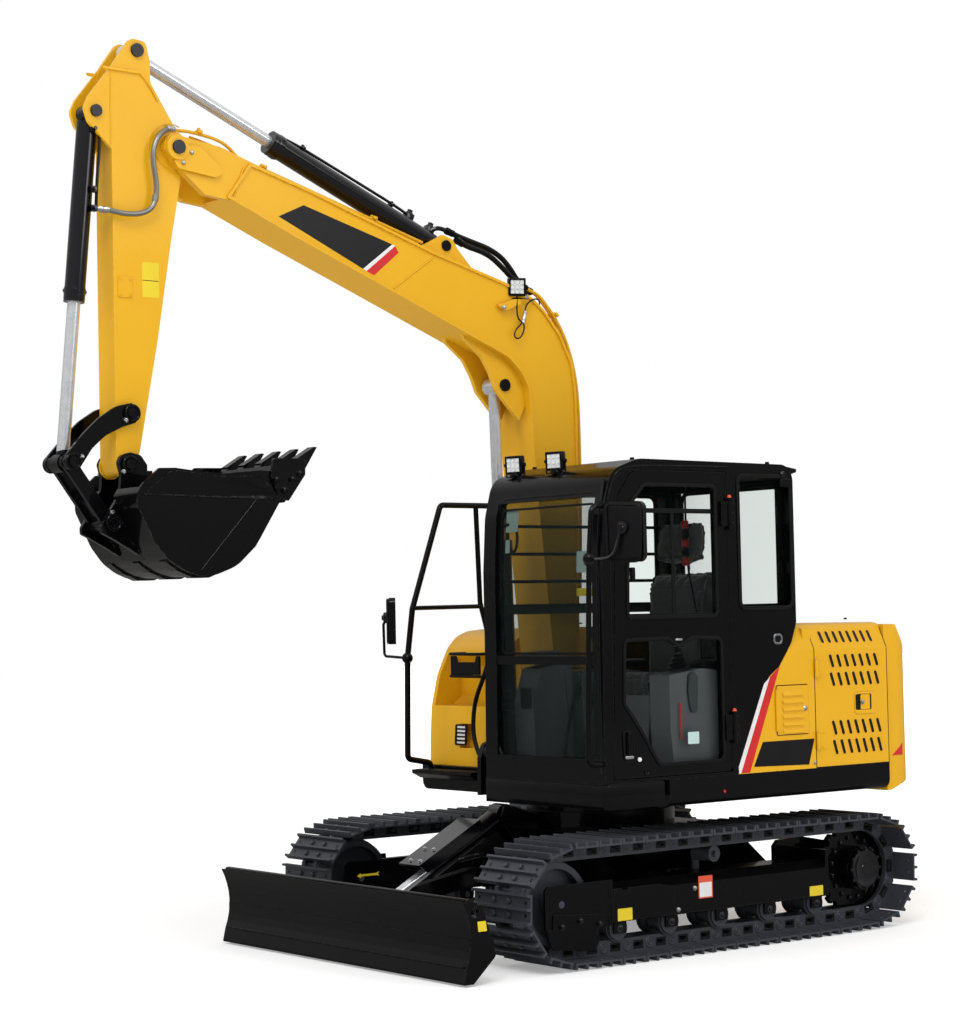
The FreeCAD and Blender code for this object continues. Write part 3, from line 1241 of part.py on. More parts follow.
def arm():
    """The arm with the ears of its two cylinders."""
    half = dim.arm_width / 2
    tip = dim.arm_length
    outline = [on_arm.at(s, n) for s, n in (
        (-495, 225), (-398, 183), (-301, 168), (-122, 2), (104, -78), (434, -72), (967, -75),
        (tip - 76, -62), (tip + 49, -40), (tip + 56, 30), (tip - 6, 58), (-150, 366), (-310, 394),
        (-490, 310))]
    rounds = {0: 30, 2: 60, 3: 120, 4: 80, 8: 42, 9: 42, 12: 120, 13: 40}
    beam = prism("XZ", outline, boom_y - half, boom_y + half, rounds)
    wall = dim.arm_ear_wall
    slot = [on_arm.at(s, n) for s, n in ((-600, 0), (-330, 20), (-150, 180), (-150, 300), (-200, 500),
                                         (-600, 500))]
    ear = [on_arm.at(s, n) for s, n in (
        (-330, 330), (-325, 388), (-140, 487), (-74, 505), (-10, 470), (90, 320))]
    ears = [prism("XZ", ear, *span(sign, half - 22, half, boom_y), {2: 60, 3: 50, 4: 50})
            for sign in (1, -1)]
    rings = [crosswise(98, arm_pin, *span(sign, half - 5, half + dim.side_play - 0.3, boom_y))
             for sign in (1, -1)]
    ends = [crosswise(62, bucket_pin, *span(sign, half - 5, half + 4.7, boom_y)) for sign in (1, -1)]
    play = dim.pin_play
    holes = [crosswise(dim.pin_radius + 0.05, arm_pin, boom_y - 200, boom_y + 200),
             crosswise(30 + play, bucket_base, boom_y - 200, boom_y + 200),
             crosswise(dim.small_pin_radius + play, rocker_pivot, boom_y - 200, boom_y + 200),
             crosswise(dim.small_pin_radius + play, bucket_pin, boom_y - 200, boom_y + 200)]
    solid = fuse(cut(fuse(beam, *ears), prism("XZ", slot, boom_y - half + wall, boom_y + half - wall)),
                 *rings, *ends)
    node("arm", cut(solid, *holes))
    small = dim.small_pin_radius
    pins = [crosswise(30, bucket_base, boom_y - half - 14, boom_y + half + 14),
            crosswise(small, rocker_pivot, boom_y - half - 40, boom_y + half + 40),
            crosswise(small, bucket_pin, boom_y - half - 52, boom_y + half + 52)]
    pins += [crosswise(34, arm_eye, *span(sign, half + 0.2, half + 14, boom_y)) for sign in (1, -1)]
    node("arm_pins", together(*pins))


def linkage():
    """The two curved rockers and the link that turn the bucket."""
    half = dim.arm_width / 2
    small = dim.small_pin_radius
    on_rocker = Frame(rocker_pivot, bearing_of(rocker_pivot, rocker_eye))
    reach = hypot(rocker_eye[0] - rocker_pivot[0], rocker_eye[1] - rocker_pivot[1])
    outline = [on_rocker.at(a, b) for a, b in (
        (-29, 41), (50, 77), (164, 86), (reach - 132, 74), (reach - 5, 50), (reach + 36, 32),
        (reach + 44, -8), (reach + 16, -44), (reach - 30, -42), (reach - 125, -11), (187, -3),
        (83, -24), (10, -50), (-35, -36), (-52, 0))]
    rounds = {1: 150, 2: 200, 3: 200, 5: 20, 6: 25, 7: 25, 9: 100, 10: 200, 11: 100, 13: 20, 14: 20}
    low = half + dim.side_play - 1
    plates = []
    for sign in (1, -1):
        plate = prism("XZ", outline, *span(sign, low, low + 20, boom_y), rounds)
        plates.append(cut(plate, crosswise(small + 0.05, rocker_pivot, boom_y - 200, boom_y + 200)))
    tips = [crosswise(small, rocker_eye, *span(sign, 46, low + 34, boom_y)) for sign in (1, -1)]
    node("rockers", together(*[fuse(plate, tip) for plate, tip in zip(plates, tips)]))
    on_link = Frame(rocker_eye, bearing_of(rocker_eye, link_eye))
    reach = hypot(link_eye[0] - rocker_eye[0], link_eye[1] - rocker_eye[1])
    bar = [on_link.at(a, b) for a, b in (
        (-42, 20), (-42, -20), (-18, -42), (40, -34), (reach - 40, -34), (reach + 15, -42),
        (reach + 42, -15), (reach + 42, 15), (reach + 15, 42), (reach - 40, 34), (40, 34),
        (-18, 42))]
    bars = [cut(prism("XZ", bar, *span(sign, 51, 75, boom_y),
                      {0: 18, 1: 18, 2: 18, 5: 18, 6: 18, 7: 18, 8: 18, 11: 18}),
                crosswise(small + 0.05, rocker_eye, boom_y - 200, boom_y + 200))
            for sign in (1, -1)]
    bridge = prism("XZ", [on_link.at(a, b) for a, b in (
        (reach * 0.62, -14), (reach * 0.62, 14), (reach - 20, 14), (reach - 20, -14))],
        boom_y - 55, boom_y + 55)
    node("bucket_link", fuse(bridge, crosswise(38, link_eye, boom_y - 75, boom_y + 75), *bars))


def bucket():
    """The bucket shell with its ears, side cutters and teeth."""
    half = dim.bucket_width / 2
    plate = dim.bucket_plate
    centre = boom_y
    outline = [on_bucket.at(s, n) for s, n in (
        (-790, -40), (-697, -187), (-553, -409), (-451, -505), (-326, -553), (-240, -554),
        (-156, -520), (-84, -473), (-14, -389), (43, -275), (75, -213), (77, -150), (40, -98),
        (-44, -28), (-128, -26), (-262, -42), (-385, -50), (-586, -32))]
    rounds = {3: 200, 4: 200, 5: 200, 6: 200, 7: 200, 8: 200, 10: 60, 11: 40}
    lip_x, back_x = outline[0][0], outline[10][0] + 20
    low_z, high_z = outline[5][1] - 100, outline[12][1] + 150
    taper = dim.bucket_taper

    def narrowed(item, wide):
        """The item trimmed to a plan that is wide at the lip and narrower at the back."""
        plan = [(lip_x - 60, -wide), (lip_x + 210, -wide), (back_x, taper - wide),
                (back_x, wide - taper), (lip_x + 210, wide), (lip_x - 60, wide)]
        return common(item, prism("XY", [(x, centre + y) for x, y in plan], low_z, high_z))

    whole = narrowed(prism("XZ", outline, centre - half, centre + half, rounds), half)
    inner = inset(outline, plate)
    cavity = [(inner[0][0] - 60, inner[0][1] + 95)] + inner[1:12] + [
        on_bucket.at(20, 120), on_bucket.at(-500, 200)]
    room = narrowed(prism("XZ", cavity, centre - half + plate, centre + half - plate),
                    half - plate)
    ear_in = dim.arm_width / 2 + dim.side_play - 1
    ear_out = ear_in + dim.ear_wall
    hinge_box = [on_bucket.at(s, n) for s, n in (
        (-128, -27), (-150, -200), (-115, -440), (-80, -470), (-14, -389), (43, -275), (60, -215),
        (30, -130), (-44, -30))]
    core = prism("XZ", hinge_box, centre - ear_out + 2, centre + ear_out - 2)
    notch = [on_bucket.at(s, n) for s, n in (
        (-112, 60), (-112, -70), (-85, -150), (-60, -215), (-10, -330), (60, -450), (160, -300),
        (160, 60))]
    gap = prism("XZ", notch, centre - ear_in, centre + ear_in)
    hollow = prism("XZ", [on_bucket.at(s, n) for s, n in (
        (-128, -90), (-134, -200), (-100, -430), (-30, -360), (-90, -150))], centre - ear_in + 16,
        centre + ear_in - 16)
    ear = [on_bucket.at(s, n) for s, n in (
        (-99, 1), (-64, 48), (-4, 62), (45, 45), (63, 13), (46, -51), (53, -125), (84, -189),
        (121, -242), (160, -300), (160, -335), (122, -352), (30, -400), (-44, -443),
        (-110, -430), (-130, -200), (-100, -60))]
    ear_rounds = {1: 30, 2: 40, 3: 25, 4: 25, 5: 80, 6: 80, 9: 20, 10: 15, 11: 30}
    ears = [cut(prism("XZ", ear, *span(sign, ear_in, ear_out, centre), ear_rounds),
                crosswise(dim.small_pin_radius + 0.05, bucket_pin, centre - 200, centre + 200))
            for sign in (1, -1)]
    tips = [crosswise(dim.small_pin_radius, link_eye, *span(sign, ear_in - 3, ear_out + 12, centre))
            for sign in (1, -1)]
    lip = prism("XZ", [on_bucket.at(s, n) for s, n in (
        (-697, -187), (-818, 4), (-803, 12), (-672, -190))], centre - half + 0.5, centre + half - 0.5)
    wear_y = half - taper - 45
    wear = [prism("XZ", [on_bucket.at(s, n) for s, n in (
        (-560, -412), (-456, -512), (-329, -561), (-240, -562), (-150, -527), (-84, -481),
        (-90, -468), (-156, -512), (-240, -546), (-326, -545), (-445, -500), (-548, -405))],
        y - 30, y + 30) for y in (centre - wear_y, centre, centre + wear_y)]
    box_cut = fuse(cut(whole, room), core)
    node("bucket_shell", fuse(cut(box_cut, gap, hollow), lip, *wear, *ears, *tips))
    side = [on_bucket.at(s, n) for s, n in (
        (-650, 29), (-844, 33), (-842, -49), (-742, -181), (-690, -176), (-640, -60))]
    node("side_cutters", together(*[prism("XZ", side, *span(sign, half + 0.2, half + 14, centre),
                                          {0: 20, 1: 15}) for sign in (1, -1)]))
    teeth = []
    for index in range(5):
        y = centre - half + 48 + (dim.bucket_width - 96) / 4 * index
        holder = prism("XZ", [on_bucket.at(s, n) for s, n in (
            (-703, -192.4), (-739, -188), (-850, -40), (-880, 20), (-830, 40), (-803.3, 12.6),
            (-818.4, 4))], y - 27, y + 27)
        point = prism("XZ", [on_bucket.at(s, n) for s, n in (
            (-842, -49), (-936, 94), (-918, 96), (-812, 32))], y - 30, y + 30)
        shape = fuse(holder, point)
        teeth.append(cut(shape, prism("XZ", [on_bucket.at(s, n) for s, n in (
            (-697, -187.6), (-818.5, 4), (-803, 12.6), (-600, 12), (-600, -187.6))],
            y - 40, y + 40)))
    node("bucket_teeth", together(*teeth))


undercarriage()
middle_frame()
blade()
upper_frame()
counterweight()
house()
cab_body()
cab_door()
cab_inside()
rails_and_mirrors()
work_lights()
boom()
cylinder_set("boom_cylinder", cylinder_base, boom_eye, dim.boom_barrel_radius,
             dim.boom_barrel_length, as_size(90), 385, 7)
cylinder_set("arm_cylinder", arm_base, arm_eye, dim.arm_barrel_radius, dim.arm_barrel_length,
             as_size(90), 240, 6)
cylinder_set("bucket_cylinder", bucket_base, rocker_eye, dim.bucket_barrel_radius,
             dim.bucket_barrel_length, as_size(80), 172, 1)
arm()
linkage()
bucket()

# ---------------------------------------------------------------- checks and export

doc.recompute()
faults = [f"{item.Label}: {item.State}" for item in doc.Objects
          if "Invalid" in item.State or "Error" in item.State]
for item in NODES:
    if item.Shape.isNull() or not item.Shape.isValid():
        faults.append(f"{item.Label}: its shape is not valid")
if faults:
    raise RuntimeError("; ".join(faults))
os.makedirs("parts", exist_ok=True)
for item in NODES:
    item.Shape.exportStep(f"parts/{item.Label}.step")
print(f"{len(NODES)} sub-parts written")
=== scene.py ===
"""Dresses a seven-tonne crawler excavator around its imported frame, piece by piece."""

import json
import logging
import math
from dataclasses import dataclass
from enum import Enum
from typing import Any, Callable, Optional, Sequence, Union

import bpy
from mathutils import Matrix, Vector

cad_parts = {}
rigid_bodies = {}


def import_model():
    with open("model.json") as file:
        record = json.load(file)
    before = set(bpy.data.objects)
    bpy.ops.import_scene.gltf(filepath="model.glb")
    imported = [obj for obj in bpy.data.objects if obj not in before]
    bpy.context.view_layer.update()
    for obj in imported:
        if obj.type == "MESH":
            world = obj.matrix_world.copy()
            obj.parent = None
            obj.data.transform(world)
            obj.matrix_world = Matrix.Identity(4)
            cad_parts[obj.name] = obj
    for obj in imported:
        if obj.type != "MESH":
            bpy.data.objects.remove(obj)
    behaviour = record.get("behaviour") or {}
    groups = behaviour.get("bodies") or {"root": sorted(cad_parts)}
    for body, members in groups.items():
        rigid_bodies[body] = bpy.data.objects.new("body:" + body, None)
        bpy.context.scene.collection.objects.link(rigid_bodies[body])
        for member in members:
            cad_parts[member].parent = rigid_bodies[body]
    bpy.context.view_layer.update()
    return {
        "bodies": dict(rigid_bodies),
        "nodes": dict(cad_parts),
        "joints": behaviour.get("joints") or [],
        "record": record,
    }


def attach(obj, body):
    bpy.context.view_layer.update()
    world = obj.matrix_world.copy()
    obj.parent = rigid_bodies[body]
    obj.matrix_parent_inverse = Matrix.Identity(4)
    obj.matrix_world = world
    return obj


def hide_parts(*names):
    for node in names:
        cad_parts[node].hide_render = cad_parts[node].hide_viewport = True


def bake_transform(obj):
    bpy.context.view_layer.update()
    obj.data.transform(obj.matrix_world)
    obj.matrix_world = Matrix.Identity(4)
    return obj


log = logging.getLogger("excavator")

Colour = tuple[float, float, float]
Point = tuple[float, float, float]
Flat = tuple[float, float]
Value = Union["Link", float, int]
Test = Callable[[Vector, Vector], bool]

SIDES = (("left", 1.0), ("right", -1.0))
FILM = 0.0012
ROUND = 60.0
ACROSS = Matrix.Scale(-1.0, 4, (0.0, 1.0, 0.0))


class Link:
    """An output socket with arithmetic, so that a pattern reads as a formula."""

    def __init__(self, socket: bpy.types.NodeSocket) -> None:
        """Wraps one output socket."""
        self.socket = socket

    def calc(self, operation: str, *values: Value) -> "Link":
        """Adds one Math node.

        Args:
            operation: The node's operation, such as "ADD".
            values: Its inputs in order, links or numbers.

        Returns:
            The node's output.
        """
        board = Board(self.socket.id_data)
        return board.node("ShaderNodeMath", {"operation": operation}, dict(enumerate(values)))

    def __add__(self, other: Value) -> "Link":
        """Adds."""
        return self.calc("ADD", self, other)

    def __sub__(self, other: Value) -> "Link":
        """Takes other away."""
        return self.calc("SUBTRACT", self, other)

    def __rsub__(self, other: Value) -> "Link":
        """Takes this away from other."""
        return self.calc("SUBTRACT", other, self)

    def __mul__(self, other: Value) -> "Link":
        """Multiplies."""
        return self.calc("MULTIPLY", self, other)

    def __truediv__(self, other: Value) -> "Link":
        """Divides."""
        return self.calc("DIVIDE", self, other)

    def __gt__(self, other: Value) -> "Link":
        """One where this is larger."""
        return self.calc("GREATER_THAN", self, other)

    def __lt__(self, other: Value) -> "Link":
        """One where this is smaller."""
        return self.calc("LESS_THAN", self, other)

    def __pow__(self, other: Value) -> "Link":
        """Raises to a power."""
        return self.calc("POWER", self, other)

    __radd__ = __add__
    __rmul__ = __mul__

    def clamp(self) -> "Link":
        """Keeps the value from 0 to 1."""
        return self.calc("MINIMUM", self.calc("MAXIMUM", self, 0.0), 1.0)


class Board:
    """A material's node tree while its pattern is laid out."""

    def __init__(self, tree: bpy.types.NodeTree) -> None:
        """Works on one node tree."""
        self.tree = tree

    def node(self, kind: str, settings: Optional[dict[str, Any]] = None,
             inputs: Optional[dict[Any, Any]] = None, output: Union[int, str] = 0) -> Link:
        """Adds a node of any type.

        Args:
            kind: The node's type, such as "ShaderNodeTexNoise".
            settings: Its settings, set before its sockets. "stops" fills a ramp.
            inputs: A value or a link for each socket, by name or number.
            output: The socket to read.

        Returns:
            That output.
        """
        made = self.tree.nodes.new(kind)
        for key, value in (settings or {}).items():
            if key == "stops":
                ramp = made.color_ramp
                while len(ramp.elements) < len(value):
                    ramp.elements.new(0.5)
                for element, (place, colour) in zip(ramp.elements, value):
                    element.position, element.color = place, (*colour, 1.0)
            else:
                setattr(made, key, value)
        for key, value in (inputs or {}).items():
            socket = made.inputs[key]
            if isinstance(value, Link):
                self.tree.links.new(value.socket, socket)
            elif isinstance(value, tuple) and len(value) == 3 and socket.type == "RGBA":
                socket.default_value = (*value, 1.0)
            else:
                socket.default_value = value
        return Link(made.outputs[output])

    def place(self) -> Link:
        """Where a point is on the object, in metres."""
        return self.node("ShaderNodeTexCoord", output="Object")

    def axis(self, vector: Link, name: str) -> Link:
        """One of X, Y and Z of a vector."""
        return self.node("ShaderNodeSeparateXYZ", inputs={0: vector}, output=name)

    def noise(self, scale: float, detail: float = 3.0, rough: float = 0.55,
              vector: Optional[Link] = None) -> Link:
        """Smooth noise of that many spots a metre."""
        return self.node("ShaderNodeTexNoise", inputs={
            "Vector": vector or self.place(), "Scale": scale, "Detail": detail, "Roughness": rough})

    def mix(self, amount: Value, low: Union[Link, Colour], high: Union[Link, Colour]) -> Link:
        """Blends two colours.

        Args:
            amount: 0 for low and 1 for high.
            low: The first colour.
            high: The second colour.

        Returns:
            The blended colour.
        """
        return self.node("ShaderNodeMix", {"data_type": "RGBA"}, {0: amount, 6: low, 7: high}, 2)

    def edges(self, radius: float = 0.006) -> Link:
        """Near 1 where the surface turns an edge, and 0 where it is flat.

        Args:
            radius: How far from the edge it reaches.

        Returns:
            The link.
        """
        bevel = self.node("ShaderNodeBevel", {"samples": 4}, {"Radius": radius})
        true = self.node("ShaderNodeNewGeometry", output="Normal")
        dot = self.node("ShaderNodeVectorMath", {"operation": "DOT_PRODUCT"}, {0: bevel, 1: true}, 1)
        return ((1.0 - dot) * 6.0).clamp()

    def facing_up(self) -> Link:
        """1 on surfaces that face the sky, and 0 on walls and undersides."""
        normal = self.node("ShaderNodeNewGeometry", output="Normal")
        return self.axis(normal, "Z").clamp()


@dataclass(frozen=True)
class Finish:
    """One finish: a plain shader whose look varies by its own pattern.

    Attributes:
        name: The material's name.
        colour: Main colour.
        rough: Roughness.
        metal: Metallic share.
        coat: Clear coat weight.
        shine: Specular level.
        slot: The record's slot for the pieces in this finish; not used.
    """

    name: str
    colour: Colour
    rough: float = 0.5
    metal: float = 0.0
    coat: float = 0.0
    shine: float = 0.3
    slot: str = ""

    def material(self) -> bpy.types.Material:
        """The material, made the first time that it is asked for.

        Returns:
            The material.
        """
        found = bpy.data.materials.get(self.name)
        if found:
            return found
        made = bpy.data.materials.new(self.name)
        made.use_nodes = True
        shader = made.node_tree.nodes["Principled BSDF"]
        shader.inputs["Base Color"].default_value = (*self.colour, 1.0)
        shader.inputs["Roughness"].default_value = self.rough
        shader.inputs["Metallic"].default_value = self.metal
        shader.inputs["Specular IOR Level"].default_value = self.shine
        shader.inputs["Coat Weight"].default_value = self.coat
        shader.inputs["Coat Roughness"].default_value = 0.08
        self.pattern(Board(made.node_tree), shader)
        return made

    def pattern(self, board: Board, shader: bpy.types.ShaderNode) -> None:
        """Small changes of tone and gloss over the surface.

        Args:
            board: The material's nodes, from which every finish makes its own pattern.
            shader: The shader that the pattern feeds.
        """
        cloud = board.noise(9.0)
        tone = tuple(channel * 0.82 for channel in self.colour)
        self.feed(board, shader, "Base Color", board.mix(cloud, tone, self.colour))
        self.feed(board, shader, "Roughness", cloud * 0.12 + (self.rough - 0.06))

    @staticmethod
    def feed(board: Board, shader: bpy.types.ShaderNode, socket: str, link: Link) -> None:
        """Joins a link to one of the shader's sockets."""
        board.tree.links.new(link.socket, shader.inputs[socket])

    def relief(self, board: Board, shader: bpy.types.ShaderNode, height: Link,
               depth: float, strength: float = 1.0) -> None:
        """Gives the surface relief.

        Args:
            board: The tree.
            shader: The shader whose normal is turned.
            height: Height from 0 to 1.
            depth: What 1 means, in metres.
            strength: Share of the relief that shows.
        """
        bump = board.node("ShaderNodeBump", inputs={
            "Height": height, "Distance": depth, "Strength": strength})
        self.feed(board, shader, "Normal", bump)


@dataclass(frozen=True)
class Enamel(Finish):
    """Sprayed machine enamel: faint orange peel, worn corners and dust on ledges.

    Attributes:
        worn: Colour of the corners where the paint is thin.
        wear: Share of the corners that is worn.
        dust: Strength of the dust.
        peel: Depth of the orange peel in metres.
    """

    worn: Colour = (0.9, 0.62, 0.2)
    wear: float = 0.35
    dust: float = 0.25
    peel: float = 0.00008

    def pattern(self, board: Board, shader: bpy.types.ShaderNode) -> None:
        """Tone clouds, worn corners, dust and orange peel."""
        cloud = board.noise(2.2, 4.0)
        deep = tuple(channel * 0.9 for channel in self.colour)
        paint = board.mix(cloud, deep, self.colour)
        spots = board.noise(38.0, 5.0, 0.7) > 0.53
        rubbed = board.edges() * spots * self.wear
        paint = board.mix(rubbed, paint, self.worn)
        film = (board.noise(6.0, 6.0, 0.65) * 1.6 - 0.5).clamp()
        ledge = board.facing_up() ** 3.0
        dusty = (film * ledge * self.dust).clamp()
        self.feed(board, shader, "Base Color", board.mix(dusty, paint, (0.42, 0.36, 0.27)))
        self.feed(board, shader, "Roughness",
                  (dusty * 0.5 + cloud * 0.08 + (self.rough - 0.04)).clamp())
        self.relief(board, shader, board.noise(260.0, 2.0), self.peel)


@dataclass(frozen=True)
class Cast(Finish):
    """Rough cast or rolled steel under a thin coat: grain, darker patches, and corners lightened partly as
    rubbed steel and partly as a painted highlight.

    Attributes:
        bare: Colour of the corners, partly the steel where the coat is rubbed off and partly a painted
            highlight.
        grain: Depth of the grain in metres.
        wear: Share of the corners that takes that lighter colour.
    """

    bare: Colour = (0.2, 0.21, 0.23)
    grain: float = 0.0006
    wear: float = 0.6

    def pattern(self, board: Board, shader: bpy.types.ShaderNode) -> None:
        """Grain, tone, and corners lightened as rubbed steel and painted highlight."""
        cloud = board.noise(11.0, 5.0, 0.6)
        deep = tuple(channel * 0.6 for channel in self.colour)
        coat = board.mix(cloud, deep, self.colour)
        # Lighter corners: partly rubbed steel, partly a painted highlight along the edges.
        rubbed = (board.edges(0.004) * (board.noise(60.0, 4.0) * 2.0 - 0.5).clamp() * self.wear).clamp()
        self.feed(board, shader, "Base Color", board.mix(rubbed, coat, self.bare))
        self.feed(board, shader, "Roughness", (cloud * 0.22 + (self.rough - 0.1) - rubbed * 0.15).clamp())
        self.relief(board, shader, board.noise(140.0, 4.0, 0.6), self.grain, 0.6)


@dataclass(frozen=True)
class Chrome(Finish):
    """Hard chrome: a mirror with faint turning marks round the rod."""

    def pattern(self, board: Board, shader: bpy.types.ShaderNode) -> None:
        """Faint smears in the gloss."""
        smear = board.noise(24.0, 4.0)
        self.feed(board, shader, "Base Color", board.mix(smear, (0.62, 0.64, 0.67), self.colour))
        self.feed(board, shader, "Roughness", smear * 0.1 + (self.rough - 0.04))


@dataclass(frozen=True)
class Rod(Chrome):
    """A chromed cylinder rod whose eye is painted black.

    Attributes:
        eye: X and Z of the eye's pin.
        reach: How far the paint goes from the pin.
    """

    eye: Flat = (0.0, 0.0)
    reach: float = 0.064

    def pattern(self, board: Board, shader: bpy.types.ShaderNode) -> None:
        """Faint smears along the rod, and paint round the eye."""
        smear = board.noise(24.0, 4.0)
        across = board.axis(board.place(), "X") - self.eye[0]
        up = board.axis(board.place(), "Z") - self.eye[1]
        painted = (across * across + up * up) < self.reach ** 2
        bare = board.mix(smear, (0.62, 0.64, 0.67), self.colour)
        self.feed(board, shader, "Base Color", board.mix(painted, bare, (0.003, 0.003, 0.0035)))
        self.feed(board, shader, "Metallic", (1.0 - painted) * self.metal)
        self.feed(board, shader, "Roughness", smear * 0.1 + painted * 0.12 + (self.rough - 0.04))


@dataclass(frozen=True)
class Pane(Finish):
    """Tinted safety glass: what lies behind shows through the tint, under a clear reflection."""

    def pattern(self, board: Board, shader: bpy.types.ShaderNode) -> None:
        """A tinted see-through film mixed with a mirror that grows towards the rim of sight."""
        film = board.noise(5.0, 4.0)
        tint = board.node("ShaderNodeBsdfTransparent", inputs={"Color": self.colour})
        self.feed(board, shader, "Roughness", film * 0.03 + self.rough)
        shader.inputs["Base Color"].default_value = (0.01, 0.016, 0.015, 1.0)
        gloss = board.node("ShaderNodeFresnel", inputs={"IOR": 1.35})
        share = (gloss * 0.6 + film * 0.01).clamp()
        through = board.node("ShaderNodeMixShader", inputs={
            0: share, 1: tint, 2: Link(shader.outputs[0])})
        end = board.tree.nodes["Material Output"]
        board.tree.links.new(through.socket, end.inputs["Surface"])


@dataclass(frozen=True)
class Woven(Finish):
    """Seat cloth: a fine basket weave with a soft sheen.

    Attributes:
        pitch: Threads a metre.
    """

    pitch: float = 420.0

    def pattern(self, board: Board, shader: bpy.types.ShaderNode) -> None:
        """Weave and tone."""
        shader.inputs["Sheen Weight"].default_value = 0.25
        place = board.place()
        waves = [((board.axis(place, axis) * (self.pitch * math.pi)).calc(
            "SINE", board.axis(place, axis) * (self.pitch * math.pi))) for axis in ("Y", "Z")]
        weave = (waves[0] * waves[1]) * 0.5 + 0.5
        cloud = board.noise(14.0, 4.0)
        low = tuple(channel * 0.55 for channel in self.colour)
        self.feed(board, shader, "Base Color", board.mix(weave * 0.6 + cloud * 0.4, low, self.colour))
        self.relief(board, shader, weave, 0.0006, 0.7)


@dataclass(frozen=True)
class Moulded(Finish):
    """Moulded plastic or rubber with a fine leather grain.

    Attributes:
        grain: Depth of the grain.
    """

    grain: float = 0.0003

    def pattern(self, board: Board, shader: bpy.types.ShaderNode) -> None:
        """Grain and tone."""
        cells = board.node("ShaderNodeTexVoronoi", {"feature": "SMOOTH_F1"}, {
            "Vector": board.place(), "Scale": 420.0})
        cloud = board.noise(7.0)
        low = tuple(channel * 0.75 for channel in self.colour)
        self.feed(board, shader, "Base Color", board.mix(cloud, low, self.colour))
        self.feed(board, shader, "Roughness", cloud * 0.14 + (self.rough - 0.07))
        self.relief(board, shader, cells, self.grain, 0.6)


YELLOW = Enamel("yellow_enamel", (0.76, 0.4, 0.009), rough=0.38, coat=0.12, shine=0.2,
                slot="yellow_paint")
BLACK = Enamel("black_enamel", (0.0017, 0.0017, 0.0022), rough=0.3, coat=0.4, shine=0.03,
               worn=(0.05, 0.05, 0.055), wear=0.3, dust=0.02, slot="black_paint")
BARREL = Enamel("cylinder_black", (0.002, 0.002, 0.0035), rough=0.2, coat=0.8, shine=0.08,
                worn=(0.05, 0.05, 0.06), wear=0.2, dust=0.06, slot="black_paint")
DIGGING = Enamel("bucket_black", (0.0016, 0.0016, 0.0019), rough=0.3, coat=0.45, shine=0.03,
                 worn=(0.1, 0.1, 0.11), wear=0.5, dust=0.08, slot="black_paint")
# Each cast finish's bare colour lightens its corners, partly as rubbed steel and partly as a painted
# highlight.
TRACK = Cast("track_steel", (0.0018, 0.0019, 0.0026), rough=0.34, coat=0.15, shine=0.04,
             wear=0.4, bare=(0.02, 0.022, 0.03), slot="track_steel")
FRAME_BLACK = Cast("frame_black", (0.0018, 0.0018, 0.0021), rough=0.36, grain=0.0001, coat=0.35, shine=0.04,
                   bare=(0.05, 0.05, 0.06), slot="black_paint")
ROD = Chrome("hard_chrome", (0.9, 0.91, 0.93), rough=0.2, metal=0.75, slot="rod_chrome")
BUCKET_ROD = Rod("bucket_rod_chrome", (0.9, 0.91, 0.93), rough=0.2, metal=0.75, slot="rod_chrome",
                 eye=(3.2205, 2.5522))
BLADE_ROD = Rod("blade_rod_chrome", (0.9, 0.91, 0.93), rough=0.2, metal=0.75, slot="rod_chrome",
                eye=(1.53, 0.25))
ZINC = Chrome("zinc_plate", (0.62, 0.62, 0.6), rough=0.34, metal=1.0, slot="rod_chrome")
ZINC_DARK = Chrome("dark_zinc", (0.2, 0.2, 0.21), rough=0.3, metal=1.0, slot="rod_chrome")
GLASS = Pane("green_glass", (0.975, 0.993, 0.985), rough=0.02, slot="window_glass")
SEAT = Woven("seat_cloth", (0.03, 0.032, 0.034), rough=0.85, slot="seat_fabric")
PLASTIC = Moulded("cab_plastic", (0.011, 0.014, 0.014), rough=0.55, slot="cab_plastic")
TRIM = Moulded("black_rubber", (0.003, 0.003, 0.0035), rough=0.5, shine=0.2, slot="cab_plastic")
ENGINE = Cast("engine_castings", (0.09, 0.1, 0.11), rough=0.55, metal=0.2, slot="cast_engine")
MIRROR = Chrome("mirror_glass", (0.86, 0.88, 0.9), rough=0.03, metal=1.0, slot="rod_chrome")
WHITE = Finish("white_film", (0.78, 0.78, 0.77), rough=0.4, slot="yellow_paint")
RED = Finish("red_film", (0.62, 0.02, 0.02), rough=0.35, slot="yellow_paint")
LABEL = Finish("yellow_film", (0.8, 0.6, 0.02), rough=0.4, slot="yellow_paint")
LABEL_GREEN = Finish("pale_label", (0.5, 0.66, 0.62), rough=0.4, slot="yellow_paint")
ORANGE = Finish("orange_cap", (0.75, 0.1, 0.04), rough=0.45, slot="cab_plastic")
# A black sheet: real print and seams, and also painted shade in slots, pockets, holes, link windows and the
# dash recess.
BLACK_FILM_AND_SHADE = Finish("black_film", (0.005, 0.005, 0.006), rough=0.35, slot="black_paint")
SHEATH = Finish("hose_sheath", (0.3, 0.3, 0.28), rough=0.32, metal=0.75, slot="rod_chrome")
LENS = Finish("lamp_lens", (0.7, 0.72, 0.72), rough=0.12, slot="window_glass")

SLOTS = {
    "yellow_paint": YELLOW, "black_paint": BLACK, "track_steel": TRACK, "rod_chrome": ROD,
    "window_glass": GLASS, "seat_fabric": SEAT, "cab_plastic": PLASTIC, "cast_engine": ENGINE,
}


